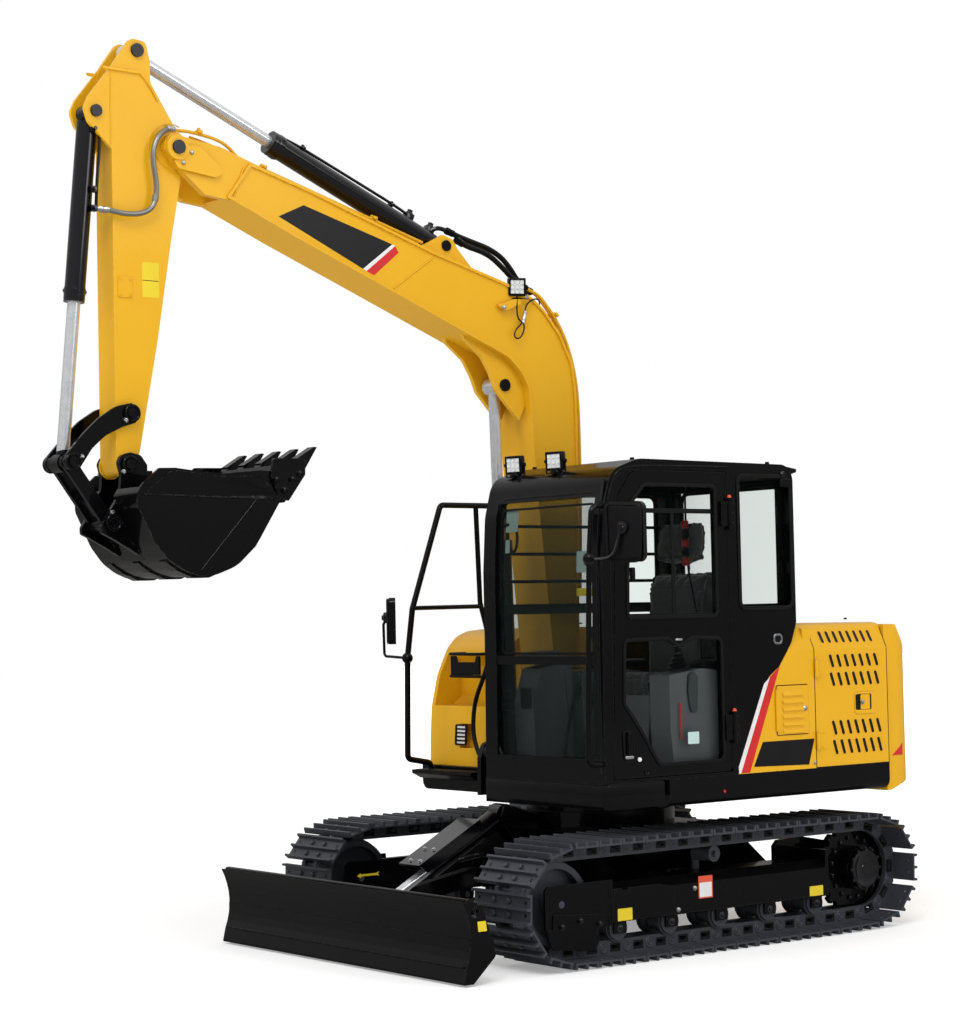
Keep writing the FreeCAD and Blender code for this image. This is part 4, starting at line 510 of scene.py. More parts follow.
class Plane(Enum):
    """The plane that a flat drawing lies in. Its thickness runs along the third axis."""

    SIDE = ((1.0, 0.0, 0.0), (0.0, 0.0, 1.0), (0.0, -1.0, 0.0), 1)
    FRONT = ((0.0, 1.0, 0.0), (0.0, 0.0, 1.0), (1.0, 0.0, 0.0), 0)
    TOP = ((1.0, 0.0, 0.0), (0.0, 1.0, 0.0), (0.0, 0.0, 1.0), 2)

    def matrix(self, middle: float) -> Matrix:
        """Stands a drawing up in this plane.

        Args:
            middle: Its place on the third axis.

        Returns:
            The move.
        """
        across, up, out, axis = self.value
        turned = Matrix((across, up, out)).transposed().to_4x4()
        place = Vector((0.0, 0.0, 0.0))
        place[axis] = middle
        return Matrix.Translation(place) @ turned


def rounded(outline: Sequence[Flat], radius: Union[float, Sequence[float]],
            steps: int = 5) -> list[Flat]:
    """Rounds the corners of a closed outline.

    Args:
        outline: Its corners in order.
        radius: One radius, or one for each corner.
        steps: Points on each arc, less one.

    Returns:
        The outline with its arcs.
    """
    count = len(outline)
    radii = [radius] * count if isinstance(radius, (int, float)) else list(radius)
    points: list[Flat] = []
    for place in range(count):
        corner = Vector(outline[place])
        before, after = (Vector(outline[(place + step) % count]) - corner for step in (-1, 1))
        half = before.angle(after) / 2
        if radii[place] <= 0 or half > 1.55:
            points.append(tuple(corner))
            continue
        back = min(radii[place] / math.tan(half), before.length * 0.49, after.length * 0.49)
        reach = back * math.tan(half)
        middle = corner + (before.normalized() + after.normalized()).normalized() * (
            reach / math.sin(half))
        start = corner + before.normalized() * back - middle
        end = corner + after.normalized() * back - middle
        turn = start.angle_signed(end)
        for step in range(steps + 1):
            angle = -turn * step / steps
            points.append((middle.x + start.x * math.cos(angle) - start.y * math.sin(angle),
                           middle.y + start.x * math.sin(angle) + start.y * math.cos(angle)))
    return points


def grown(outline: Sequence[Flat], distance: float) -> list[Flat]:
    """Moves a closed outline outward, or inward where the distance is negative.

    Args:
        outline: The closed outline.
        distance: How far it moves.

    Returns:
        The moved outline.
    """
    count = len(outline)
    area = sum(outline[place - 1][0] * outline[place][1] - outline[place][0] * outline[place - 1][1]
               for place in range(count))
    side = distance if area > 0 else -distance
    moved = []
    for place in range(count):
        corner = Vector(outline[place])
        into = (corner - Vector(outline[place - 1])).normalized()
        away = (Vector(outline[(place + 1) % count]) - corner).normalized()
        normal = Vector((into.y + away.y, -into.x - away.x)).normalized()
        moved.append(tuple(corner + normal * side / max(normal.dot(Vector((into.y, -into.x))), 0.3)))
    return moved


def oblong(across: float, up: float, width: float, height: float) -> list[Flat]:
    """A rectangle about its middle."""
    return [(across - width / 2, up - height / 2), (across + width / 2, up - height / 2),
            (across + width / 2, up + height / 2), (across - width / 2, up + height / 2)]


def facing(spot: Point, normal: Point, roll: float = 0.0) -> Matrix:
    """Puts what stands on the ground onto a face.

    Args:
        spot: The place on the face.
        normal: Which way the face looks.
        roll: A turn about that normal, in degrees.

    Returns:
        The move.
    """
    turn = Vector(normal).to_track_quat("Z", "Y").to_matrix().to_4x4()
    return Matrix.Translation(spot) @ turn @ Matrix.Rotation(math.radians(roll), 4, "Z")


class Piece:
    """One mesh while it is on the bench."""

    def __init__(self, obj: bpy.types.Object) -> None:
        """Takes up an object."""
        self.obj = obj

    # -- starts

    @classmethod
    def taken(cls, name: str) -> "Piece":
        """Takes up the object that an operator has just made and fixes its place in its mesh.

        Args:
            name: The piece's name.

        Returns:
            The piece.
        """
        obj = bpy.context.object
        obj.name = obj.data.name = name
        bpy.ops.object.transform_apply(location=True, rotation=True, scale=True)
        return cls(obj)

    @classmethod
    def block(cls, name: str, size: Point, middle: Point, turn: Point = (0.0, 0.0, 0.0)) -> "Piece":
        """Starts from a block.

        Args:
            name: The piece's name.
            size: Its three sides.
            middle: Its middle.
            turn: Its turn about each axis, in degrees.

        Returns:
            The piece.
        """
        clear()
        bpy.ops.mesh.primitive_cube_add(size=1.0, location=middle,
                                        rotation=[math.radians(angle) for angle in turn])
        bpy.context.object.scale = size
        return cls.taken(name)

    @classmethod
    def drum(cls, name: str, radius: float, ends: tuple[Point, Point], sides: int = 32,
             tip: Optional[float] = None) -> "Piece":
        """Starts from a round bar between two points.

        Args:
            name: The piece's name.
            radius: Its radius.
            ends: The middles of its two ends.
            sides: Its sides.
            tip: The radius at the second end, where it tapers.

        Returns:
            The piece.
        """
        clear()
        foot, head = Vector(ends[0]), Vector(ends[1])
        bpy.ops.mesh.primitive_cone_add(
            vertices=sides, radius1=radius, radius2=radius if tip is None else tip,
            depth=(head - foot).length, location=(foot + head) / 2,
            rotation=(head - foot).to_track_quat("Z", "Y").to_euler())
        return cls.taken(name)

    @classmethod
    def from_curve(cls, name: str, data: bpy.types.Curve, place: Matrix) -> "Piece":
        """Makes a curve a mesh and then fixes its place.

        Args:
            name: The piece's name.
            data: The curve.
            place: Where it stands.

        Returns:
            The piece.
        """
        clear()
        obj = bpy.data.objects.new(name, data)
        bpy.context.scene.collection.objects.link(obj)
        bpy.context.view_layer.objects.active = obj
        obj.select_set(True)
        bpy.ops.object.convert(target="MESH")
        bpy.context.object.matrix_world = place
        return cls.taken(name)

    @classmethod
    def plate(cls, name: str, outlines: Sequence[Sequence[Flat]], low: float, high: float,
              plane: Plane = Plane.SIDE, edge: float = 0.0) -> "Piece":
        """Cuts a plate from a drawing.

        Args:
            name: The piece's name.
            outlines: Its outline, and then its holes.
            low: Where its thickness starts on the third axis.
            high: Where it ends.
            plane: The plane of the drawing.
            edge: Radius of its rounded edges.

        Returns:
            The piece.
        """
        data = bpy.data.curves.new(name, "CURVE")
        data.dimensions, data.fill_mode = "2D", "BOTH"
        for outline in outlines:
            line = data.splines.new("POLY")
            line.points.add(len(outline) - 1)
            for point, (across, up) in zip(line.points, outline):
                point.co = (across, up, 0.0, 1.0)
            line.use_cyclic_u = True
        data.extrude, data.bevel_depth = (high - low) / 2 - edge, edge
        data.offset, data.bevel_resolution = -edge, 1
        return cls.from_curve(name, data, plane.matrix((low + high) / 2))

    @classmethod
    def tube(cls, name: str, points: Sequence[Point], radius: float, closed: bool = False,
             smooth: bool = True, sides: int = 2) -> "Piece":
        """Bends a tube along a line.

        Args:
            name: The piece's name.
            points: The line's control points.
            radius: The tube's radius.
            closed: Joins its ends.
            smooth: Draws one smooth line, not straight runs.
            sides: Points added to each half of its section.

        Returns:
            The piece.
        """
        data = bpy.data.curves.new(name, "CURVE")
        data.dimensions = "3D"
        line = data.splines.new("NURBS" if smooth else "POLY")
        line.points.add(len(points) - 1)
        for point, place in zip(line.points, points):
            point.co = (*place, 1.0)
        line.use_cyclic_u = closed
        if smooth:
            line.order_u, line.use_endpoint_u = 3, not closed
            line.resolution_u = 8
        data.bevel_depth, data.bevel_resolution, data.use_fill_caps = radius, sides, not closed
        return cls.from_curve(name, data, Matrix.Identity(4))

    @classmethod
    def turned(cls, name: str, profile: Sequence[Flat], place: Matrix, steps: int = 24) -> "Piece":
        """Spins a profile of radii and heights about an axis.

        Args:
            name: The piece's name.
            profile: Radius and height of each point from foot to head.
            place: The move from the upright axis to the piece's place.
            steps: Steps of the spin.

        Returns:
            The piece.
        """
        data = bpy.data.curves.new(name, "CURVE")
        data.dimensions = "3D"
        line = data.splines.new("POLY")
        line.points.add(len(profile) - 1)
        for point, (radius, height) in zip(line.points, profile):
            point.co = (radius, 0.0, height, 1.0)
        piece = cls.from_curve(name, data, Matrix.Identity(4))
        bpy.ops.object.mode_set(mode="EDIT")
        bpy.ops.mesh.select_all(action="SELECT")
        bpy.ops.mesh.spin(steps=steps, angle=2 * math.pi, center=(0.0, 0.0, 0.0),
                          axis=(0.0, 0.0, 1.0))
        bpy.ops.mesh.select_all(action="SELECT")
        bpy.ops.mesh.remove_doubles(threshold=0.00002)
        bpy.ops.mesh.normals_make_consistent(inside=False)
        bpy.ops.object.mode_set(mode="OBJECT")
        piece.obj.data.transform(place)
        return piece

    # -- work

    def hold(self) -> None:
        """Selects this piece alone."""
        clear()
        bpy.context.view_layer.objects.active = self.obj
        self.obj.select_set(True)

    def faces(self, test: Test) -> "Piece":
        """Goes into edit mode with some of the faces selected.

        Args:
            test: What a face's middle and normal have to pass.

        Returns:
            The piece.
        """
        self.hold()
        bpy.context.tool_settings.mesh_select_mode = (False, False, True)
        bpy.ops.object.mode_set(mode="EDIT")
        bpy.ops.mesh.select_all(action="DESELECT")
        bpy.ops.object.mode_set(mode="OBJECT")
        for face in self.obj.data.polygons:
            face.select = test(face.center, face.normal)
        bpy.ops.object.mode_set(mode="EDIT")
        return self

    def inset(self, width: float, depth: float = 0.0) -> "Piece":
        """Insets the selected faces and sinks or raises what lies inside."""
        bpy.ops.mesh.inset(thickness=width, depth=depth)
        return self

    def extrude(self, move: Point) -> "Piece":
        """Extrudes the selected faces."""
        bpy.ops.mesh.extrude_region_move(TRANSFORM_OT_translate={"value": move})
        return self

    def done(self) -> "Piece":
        """Leaves edit mode."""
        clear()
        return self

    def modifier(self, kind: str, **settings: Any) -> "Piece":
        """Adds a modifier and applies it.

        Args:
            kind: Its type.
            **settings: Its settings.

        Returns:
            The piece.
        """
        self.hold()
        made = self.obj.modifiers.new("step", kind)
        for key, value in settings.items():
            setattr(made, key, value)
        bpy.ops.object.modifier_apply(modifier=made.name)
        return self

    def edges(self, width: float, segments: int = 2, angle: float = 30.0) -> "Piece":
        """Rounds every edge that turns by more than an angle."""
        return self.modifier("BEVEL", width=width, segments=segments, limit_method="ANGLE",
                             angle_limit=math.radians(angle))

    def moved(self, move: Matrix) -> "Piece":
        """Moves the mesh, and turns it right side out where the move mirrors it.

        Args:
            move: The move.

        Returns:
            The piece.
        """
        self.obj.data.transform(move)
        if move.is_negative:
            self.obj.data.flip_normals()
        return self

    def leaned(self, shift: Callable[[Vector], float]) -> "Piece":
        """Moves each point forward by its own distance.

        Args:
            shift: Gives the distance for a point.

        Returns:
            The piece.
        """
        for vertex in self.obj.data.vertices:
            vertex.co.x += shift(vertex.co)
        return self

    def twin(self, move: Matrix) -> "Piece":
        """A copy in another place.

        Args:
            move: The move from here to there.

        Returns:
            The copy.
        """
        made = self.obj.copy()
        made.data = self.obj.data.copy()
        bpy.context.scene.collection.objects.link(made)
        return Piece(made).moved(move)

    def copies(self, places: Sequence[Matrix]) -> "Piece":
        """Puts a copy in each place, joined into one piece, and does away with the pattern.

        Args:
            places: The places.

        Returns:
            The piece.
        """
        twins = [self.twin(place) for place in places]
        name = self.obj.name
        bpy.data.objects.remove(self.obj)
        twins[0].join(twins[1:])
        self.obj = twins[0].obj
        self.obj.name = self.obj.data.name = name
        return self

    def both_sides(self) -> "Piece":
        """Adds its mirror image across the middle plane."""
        return self.join([self.twin(ACROSS)])

    def join(self, others: Sequence["Piece"]) -> "Piece":
        """Joins other pieces into this one.

        Args:
            others: The pieces.

        Returns:
            The joined piece.
        """
        self.hold()
        for other in others:
            other.obj.select_set(True)
        if others:
            bpy.ops.object.join()
        return self

    def paint(self, finish: Finish, test: Optional[Test] = None) -> "Piece":
        """Gives the piece, or some of its faces, a finish.

        Args:
            finish: The finish.
            test: What a face's middle and normal have to pass, where only some are painted.

        Returns:
            The piece.
        """
        slots = self.obj.data.materials
        material = finish.material()
        if test is None:
            slots.clear()
            slots.append(material)
            return self
        if material.name not in slots:
            slots.append(material)
        place = slots.find(material.name)
        for face in self.obj.data.polygons:
            if test(face.center, face.normal):
                face.material_index = place
        return self

    def ride(self, body: str, finish: Optional[Finish] = None, angle: float = 35.0) -> "Piece":
        """Finishes the piece and lets it move with a body.

        Args:
            body: The body that carries it.
            finish: Its finish, where it isn't painted yet.
            angle: Edges that turn by more than this stay sharp, in degrees.

        Returns:
            The piece.
        """
        if finish:
            self.paint(finish)
        self.hold()
        bpy.ops.object.shade_smooth_by_angle(angle=math.radians(angle))
        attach(self.obj, body)
        log.info("  %s rides on %s", self.obj.name, body)
        return self


def clear() -> None:
    """Leaves edit mode with nothing selected."""
    active = bpy.context.view_layer.objects.active
    if active and active.mode != "OBJECT":
        bpy.ops.object.mode_set(mode="OBJECT")
    bpy.ops.object.select_all(action="DESELECT")


def towards(axis: str, least: float = 0.9) -> Test:
    """A test that faces pass which look along an axis.

    Args:
        axis: x, y or z.
        least: The least part of the normal along it.

    Returns:
        The test.
    """
    return lambda middle, normal: getattr(normal, axis) > least


def hex_bolt(name: str, across: float, head: float) -> Piece:
    """A hexagon bolt head on its washer, standing on the ground.

    Args:
        name: The piece's name.
        across: Width across the flats.
        head: Height of the head.

    Returns:
        The piece.
    """
    washer = Piece.drum(name, across * 0.72, ((0.0, 0.0, 0.0), (0.0, 0.0, head * 0.22)), 16)
    bolt = Piece.drum(name, across / 2 / math.cos(math.pi / 6), (
        (0.0, 0.0, head * 0.2), (0.0, 0.0, head)), 6)
    bolt.faces(towards("z")).inset(across * 0.1, head * 0.12).done()
    return bolt.join([washer])


def bolts(name: str, body: str, places: Sequence[Matrix], across: float = 0.018,
          finish: Optional[Finish] = None, head: Optional[float] = None) -> Piece:
    """A row of bolts that ride on one body.

    Args:
        name: The piece's name.
        body: The body that carries them.
        places: Where each stands.
        across: Width across the flats.
        finish: Their finish, black enamel where none is given.
        head: Height of the head.

    Returns:
        The piece.
    """
    bolt = hex_bolt(name, across, head or across * 0.55)
    return bolt.copies(places).ride(body, finish or BLACK)


def gasket(name: str, body: str, outline: Sequence[Flat], at: float, plane: Plane = Plane.SIDE,
           inner: float = 0.012, outer: float = 0.008, thick: float = 0.008,
           radius: float = 0.04) -> Piece:
    """A rubber section round a pane.

    Args:
        name: The piece's name.
        body: The body that carries it.
        outline: The pane's corners.
        at: Its middle on the third axis.
        plane: The pane's plane.
        inner: How far it reaches over the pane.
        outer: How far it reaches over the frame.
        thick: Its thickness.
        radius: The pane's corner radius.

    Returns:
        The piece.
    """
    rim = rounded(grown(outline, outer), radius + outer)
    hole = rounded(grown(outline, -inner), max(radius - inner, 0.006))
    return Piece.plate(name, [rim, hole], at - thick / 2, at + thick / 2, plane,
                       thick * 0.3).ride(body, TRIM)


def film(name: str, body: str, outline: Sequence[Flat], at: float, finish: Finish,
         plane: Plane = Plane.SIDE, thick: float = FILM) -> Piece:
    """A strip of coloured film on a flat face, its back at that place on the third axis."""
    low, high = sorted((at, at + thick))
    return Piece.plate(name, [outline], low, high, plane).ride(body, finish)


def wrapped(name: str, body: str, outline: Sequence[Flat], side: float, node: str, finish: Finish,
            thick: float = 0.0015, cuts: int = 3) -> Piece:
    """A film or doubler that follows the side of a curved part.

    Args:
        name: The piece's name.
        body: The body that carries it.
        outline: Its outline from the side.
        side: 1 on the left and -1 on the right.
        node: The part that it lies on.
        finish: Its finish.
        thick: Its thickness.
        cuts: Cuts across each of its faces.

    Returns:
        The piece.
    """
    sheet = Piece.plate(name, [outline], side * 2.0, side * 2.0 + 0.0001)
    sheet.faces(lambda middle, normal: normal.y * side < 0.5)
    bpy.ops.mesh.delete(type="FACE")
    bpy.ops.mesh.select_all(action="SELECT")
    bpy.ops.mesh.subdivide(number_cuts=cuts)
    sheet.done()
    target = bpy.data.objects[node]
    sheet.modifier("SHRINKWRAP", target=target, wrap_method="PROJECT", use_project_y=True,
                   use_negative_direction=side > 0, use_positive_direction=side < 0,
                   offset=0.0002)
    sheet.modifier("SOLIDIFY", thickness=thick, offset=1.0)
    return sheet.ride(body, finish)


ASSEMBLIES: list[Any] = []


@dataclass
class House:
    """The engine house: punched slots, door catch, flap, films, seams and screws.

    Attributes:
        face: Where the left wall is.
        fold: Where the wall starts to lean in.
        lean: Width and height of the lean.
        rows: Top, bottom and front end of each row of slots on the upright wall.
        pitch: Spacing of the slots.
        slot_width: Width of a slot.
        slant: How far a slot's lower end lies behind its upper one.
    """

    face: float = 1.08
    fold: float = 1.55
    lean: Flat = (0.048, 0.113)
    rows: tuple[tuple[float, float, float], ...] = (
        (1.519, 1.448, -0.768), (1.421, 1.346, -0.772), (1.159, 1.08, -0.779), (1.054, 0.974, -0.783))
    pitch: float = 0.0582
    slot_width: float = 0.024
    slant: float = 0.024

    def build(self) -> None:
        """Makes every piece of the house."""
        self.slots()
        self.catch()
        self.flap()
        self.films()
        self.seams()
        self.screws()

    def slot(self, name: str, top: float, bottom: float, slant: float) -> tuple[Piece, Piece]:
        """One punched slot: a black well of painted shade in its opening, and its pressed yellow rim, about
        the wall's own plane.

        Args:
            name: Its name.
            top: Its upper end.
            bottom: Its lower end.
            slant: How far the lower end lies behind the upper one.

        Returns:
            The well of painted shade and the rim.
        """
        half = self.slot_width / 2
        shape = [(half, top), (-half, top), (-half - slant, bottom), (half - slant, bottom)]
        line = rounded(shape, half * 0.95, 4)
        # The well is a black sheet of painted shade where the slot opens into the dark house.
        shade_well = Piece.plate(name + "_well", [line], -0.0012, 0.0006)
        rim = Piece.plate(name + "_rim", [rounded(grown(shape, 0.0045), half * 0.95 + 0.0045, 4),
                                          rounded(grown(shape, -0.0003), half * 0.92, 4)],
                          -0.001, 0.0024, Plane.SIDE, 0.001)
        return shade_well, rim

    def slots(self) -> None:
        """Four slanting rows on the wall and one on the lean, on both doors."""
        shade_wells, rims = [], []
        for row, (top, bottom, front) in enumerate(self.rows):
            places = [Matrix.Translation((front - self.pitch * step, self.face, 0.0))
                      for step in range(7)]
            shade_well, rim = self.slot(f"slot_{row}", top, bottom, self.slant + 0.002)
            shade_wells.append(shade_well.copies(places))
            rims.append(rim.copies(places))
        angle = math.atan2(*self.lean)
        tilt = Matrix.Translation((0.0, self.face, self.fold)) @ Matrix.Rotation(angle, 4, "X")
        shade_well, rim = self.slot("slot_top", 0.104, 0.034, 0.009)
        places = [tilt @ Matrix.Translation((-0.725 - 0.0545 * step, 0.0, 0.0)) for step in range(8)]
        shade_wells.append(shade_well.copies(places))
        rims.append(rim.copies(places))
        # The wells are black sheets of painted shade in the slot openings.
        for parts, name, finish in ((shade_wells, "slot_wells", BLACK_FILM_AND_SHADE), (rims, "slot_rims", YELLOW)):
            left = parts[0].join(parts[1:])
            left.obj.name = f"left_{name}"
            right = left.twin(ACROSS)
            right.obj.name = f"right_{name}"
            left.ride("left_side_door", finish, 50.0)
            right.ride("right_side_door", finish, 50.0)

    def catch(self) -> None:
        """The door's catch: a pressed rim, a dark well of painted shade in its pocket, and a square handle
        plate with its lock.
        """
        frame = oblong(-1.036, 1.247, 0.168, 0.118)
        hole = oblong(-1.021, 1.252, 0.128, 0.086)
        for name, side in SIDES:
            flip = Matrix.Scale(side, 4, (0.0, 1.0, 0.0))
            rim = Piece.plate(f"{name}_catch_rim", [rounded(frame, 0.018), rounded(hole, 0.01)],
                              self.face - 0.001, self.face + 0.007, Plane.SIDE, 0.003)
            # The well is a black sheet of painted shade inside the pressed pocket.
            shade_well = Piece.plate(f"{name}_catch_well", [rounded(hole, 0.01)],
                               self.face - 0.001, self.face + 0.0008)
            grip = Piece.plate(f"{name}_catch_grip", [rounded(oblong(-1.036, 1.252, 0.072, 0.082),
                                                              0.006)],
                               self.face, self.face + 0.0045, Plane.SIDE, 0.0015)
            lock = hex_bolt(f"{name}_catch_lock", 0.02, 0.007).moved(
                facing((-1.012, self.face + 0.0045, 1.252), (0.0, 1.0, 0.0)))
            for piece, finish in ((rim, YELLOW), (shade_well, BLACK_FILM_AND_SHADE), (grip, YELLOW), (lock, ZINC)):
                piece.moved(flip).ride(f"{name}_side_door", finish)

    def flap(self) -> None:
        """The small flap's six pressed louvres, its edge line and its round lock."""
        face = self.face + 0.004
        louvre = Piece.plate("flap_louvres", [[(0.0, 0.0), (0.0, -0.026), (0.011, -0.026),
                                               (0.011, -0.021)]], -0.0765, 0.0765, Plane.FRONT)
        louvre.edges(0.002, 2, 20.0).copies([
            Matrix.Translation((-0.4725, face - 0.001, 1.332 - 0.04 * step)) for step in range(6)])
        louvre.ride("access_flap", YELLOW)
        rim = [rounded(oblong(-0.4725, 1.23, 0.244, 0.27), 0.012),
               rounded(oblong(-0.4725, 1.23, 0.236, 0.262), 0.009)]
        Piece.plate("flap_seam", rim, self.face - 0.001, self.face + 0.0012).ride(
            "upper", BLACK_FILM_AND_SHADE)
        lock = Piece.turned("flap_lock", [(0.0, 0.009), (0.005, 0.009), (0.008, 0.006), (0.011, 0.006),
                                          (0.014, 0.004), (0.016, 0.0)],
                            facing((-0.5665, face, 1.235), (0.0, 1.0, 0.0)))
        lock.ride("access_flap", ZINC)

    def films(self) -> None:
        """The white and red band behind the cab, the bare black name plate and the rear wedge."""
        face = self.face
        film("band_red", "upper", [(-0.386, 1.466), (-0.311, 1.411), (-0.083, 0.912), (-0.146, 0.912)],
             face, RED)
        film("band_white", "upper", [(-0.309, 1.409), (-0.266, 1.376), (-0.0655, 0.945),
                                     (-0.0675, 0.912), (-0.081, 0.912)], face, WHITE)
        film("name_plate_blank", "upper", rounded([
            (-0.246, 1.068), (-0.634, 1.068), (-0.588, 0.93), (-0.176, 0.94)], 0.004), face, BLACK_FILM_AND_SHADE)
        wedge = [(-1.262, 0.943), (-1.36, 0.943), (-1.362, 1.01)]
        for name, side in SIDES:
            wrapped(f"wedge_{name}", "upper", wedge, side, "counterweight", RED)

    def seams(self) -> None:
        """The dark gaps between the panels, along the wall and over the lean."""
        top_y = self.face - self.lean[0]
        top_z = self.fold + self.lean[1]
        for number, (x, low) in enumerate(((-0.6485, 0.912), (-1.2185, 0.9))):
            line = [(x, self.face - 0.0025, low), (x, self.face - 0.0025, self.fold - 0.01),
                    (x, self.face - 0.0035, self.fold + 0.004),
                    (x + 0.004, top_y - 0.001, top_z - 0.004)]
            for name, side in SIDES:
                points = [(px, py * side, pz) for px, py, pz in line]
                Piece.tube(f"panel_seal_{number}_{name}", points, 0.0036, smooth=False).ride(
                    "upper", TRIM)
        sill = [(-0.646, self.face - 0.002, 0.9105), (-1.216, self.face - 0.002, 0.9105)]
        Piece.tube("sill_seal", sill, 0.0032, smooth=False).both_sides().ride("upper", TRIM)

    def screws(self) -> None:
        """Cap screws and bolts of the house."""
        bolts("hood_bolts", "engine_hood", [facing((x, y, 1.7065), (0.0, 0.0, 1.0))
                                            for x in (-0.62, -1.14) for y in (-0.85, 0.0, 0.85)], 0.016)
        bolts("name_plate_bolt", "upper", [facing((-0.632, self.face, 0.937), (0.0, 1.0, 0.0))],
              0.014, ZINC)


ASSEMBLIES.append(House())


def clip(name: str, spot: Point, along: Point, radius: float, gap: float = 0.0) -> Piece:
    """A pipe clip: a folded saddle over one or two pipes with its bolt on top.

    Args:
        name: The piece's name.
        spot: The middle of the pipes.
        along: The direction of the pipes.
        radius: The pipes' radius.
        gap: Distance between two pipes, or none for one.

    Returns:
        The clip.
    """
    width = gap + 2 * radius + 0.03
    saddle = Piece.block(name, (0.026, width, radius + 0.008), (0.0, 0.0, (radius + 0.008) / 2))
    saddle.edges(0.004, 2)
    bolt = hex_bolt(name, 0.016, 0.011).moved(Matrix.Translation((0.0, 0.0, radius + 0.008)))
    saddle.join([bolt])
    forward = Vector(along).normalized()
    side = Vector((0.0, 1.0, 0.0))
    up = forward.cross(side)
    up = up if up.z > 0 else -up
    turn = Matrix((forward, up.cross(forward), up)).transposed().to_4x4()
    return saddle.moved(Matrix.Translation(spot) @ turn)


def ferrule(name: str, spot: Point, along: Point, radius: float, length: float = 0.05) -> Piece:
    """A crimped hose end with its collar, from a port along the hose.

    Args:
        name: The piece's name.
        spot: The port.
        along: Which way the hose leaves it.
        radius: The hose's radius.
        length: The end's length.

    Returns:
        The piece.
    """
    profile = [(0.0, 0.0), (radius * 0.9, 0.0), (radius * 0.9, length * 0.1), (radius * 1.35, length * 0.12),
               (radius * 1.35, length * 0.42), (radius * 1.02, length * 0.46),
               (radius * 1.22, length * 0.5), (radius * 1.25, length * 0.93),
               (radius * 1.05, length), (0.0, length)]
    return Piece.turned(name, profile, facing(spot, along), 12)


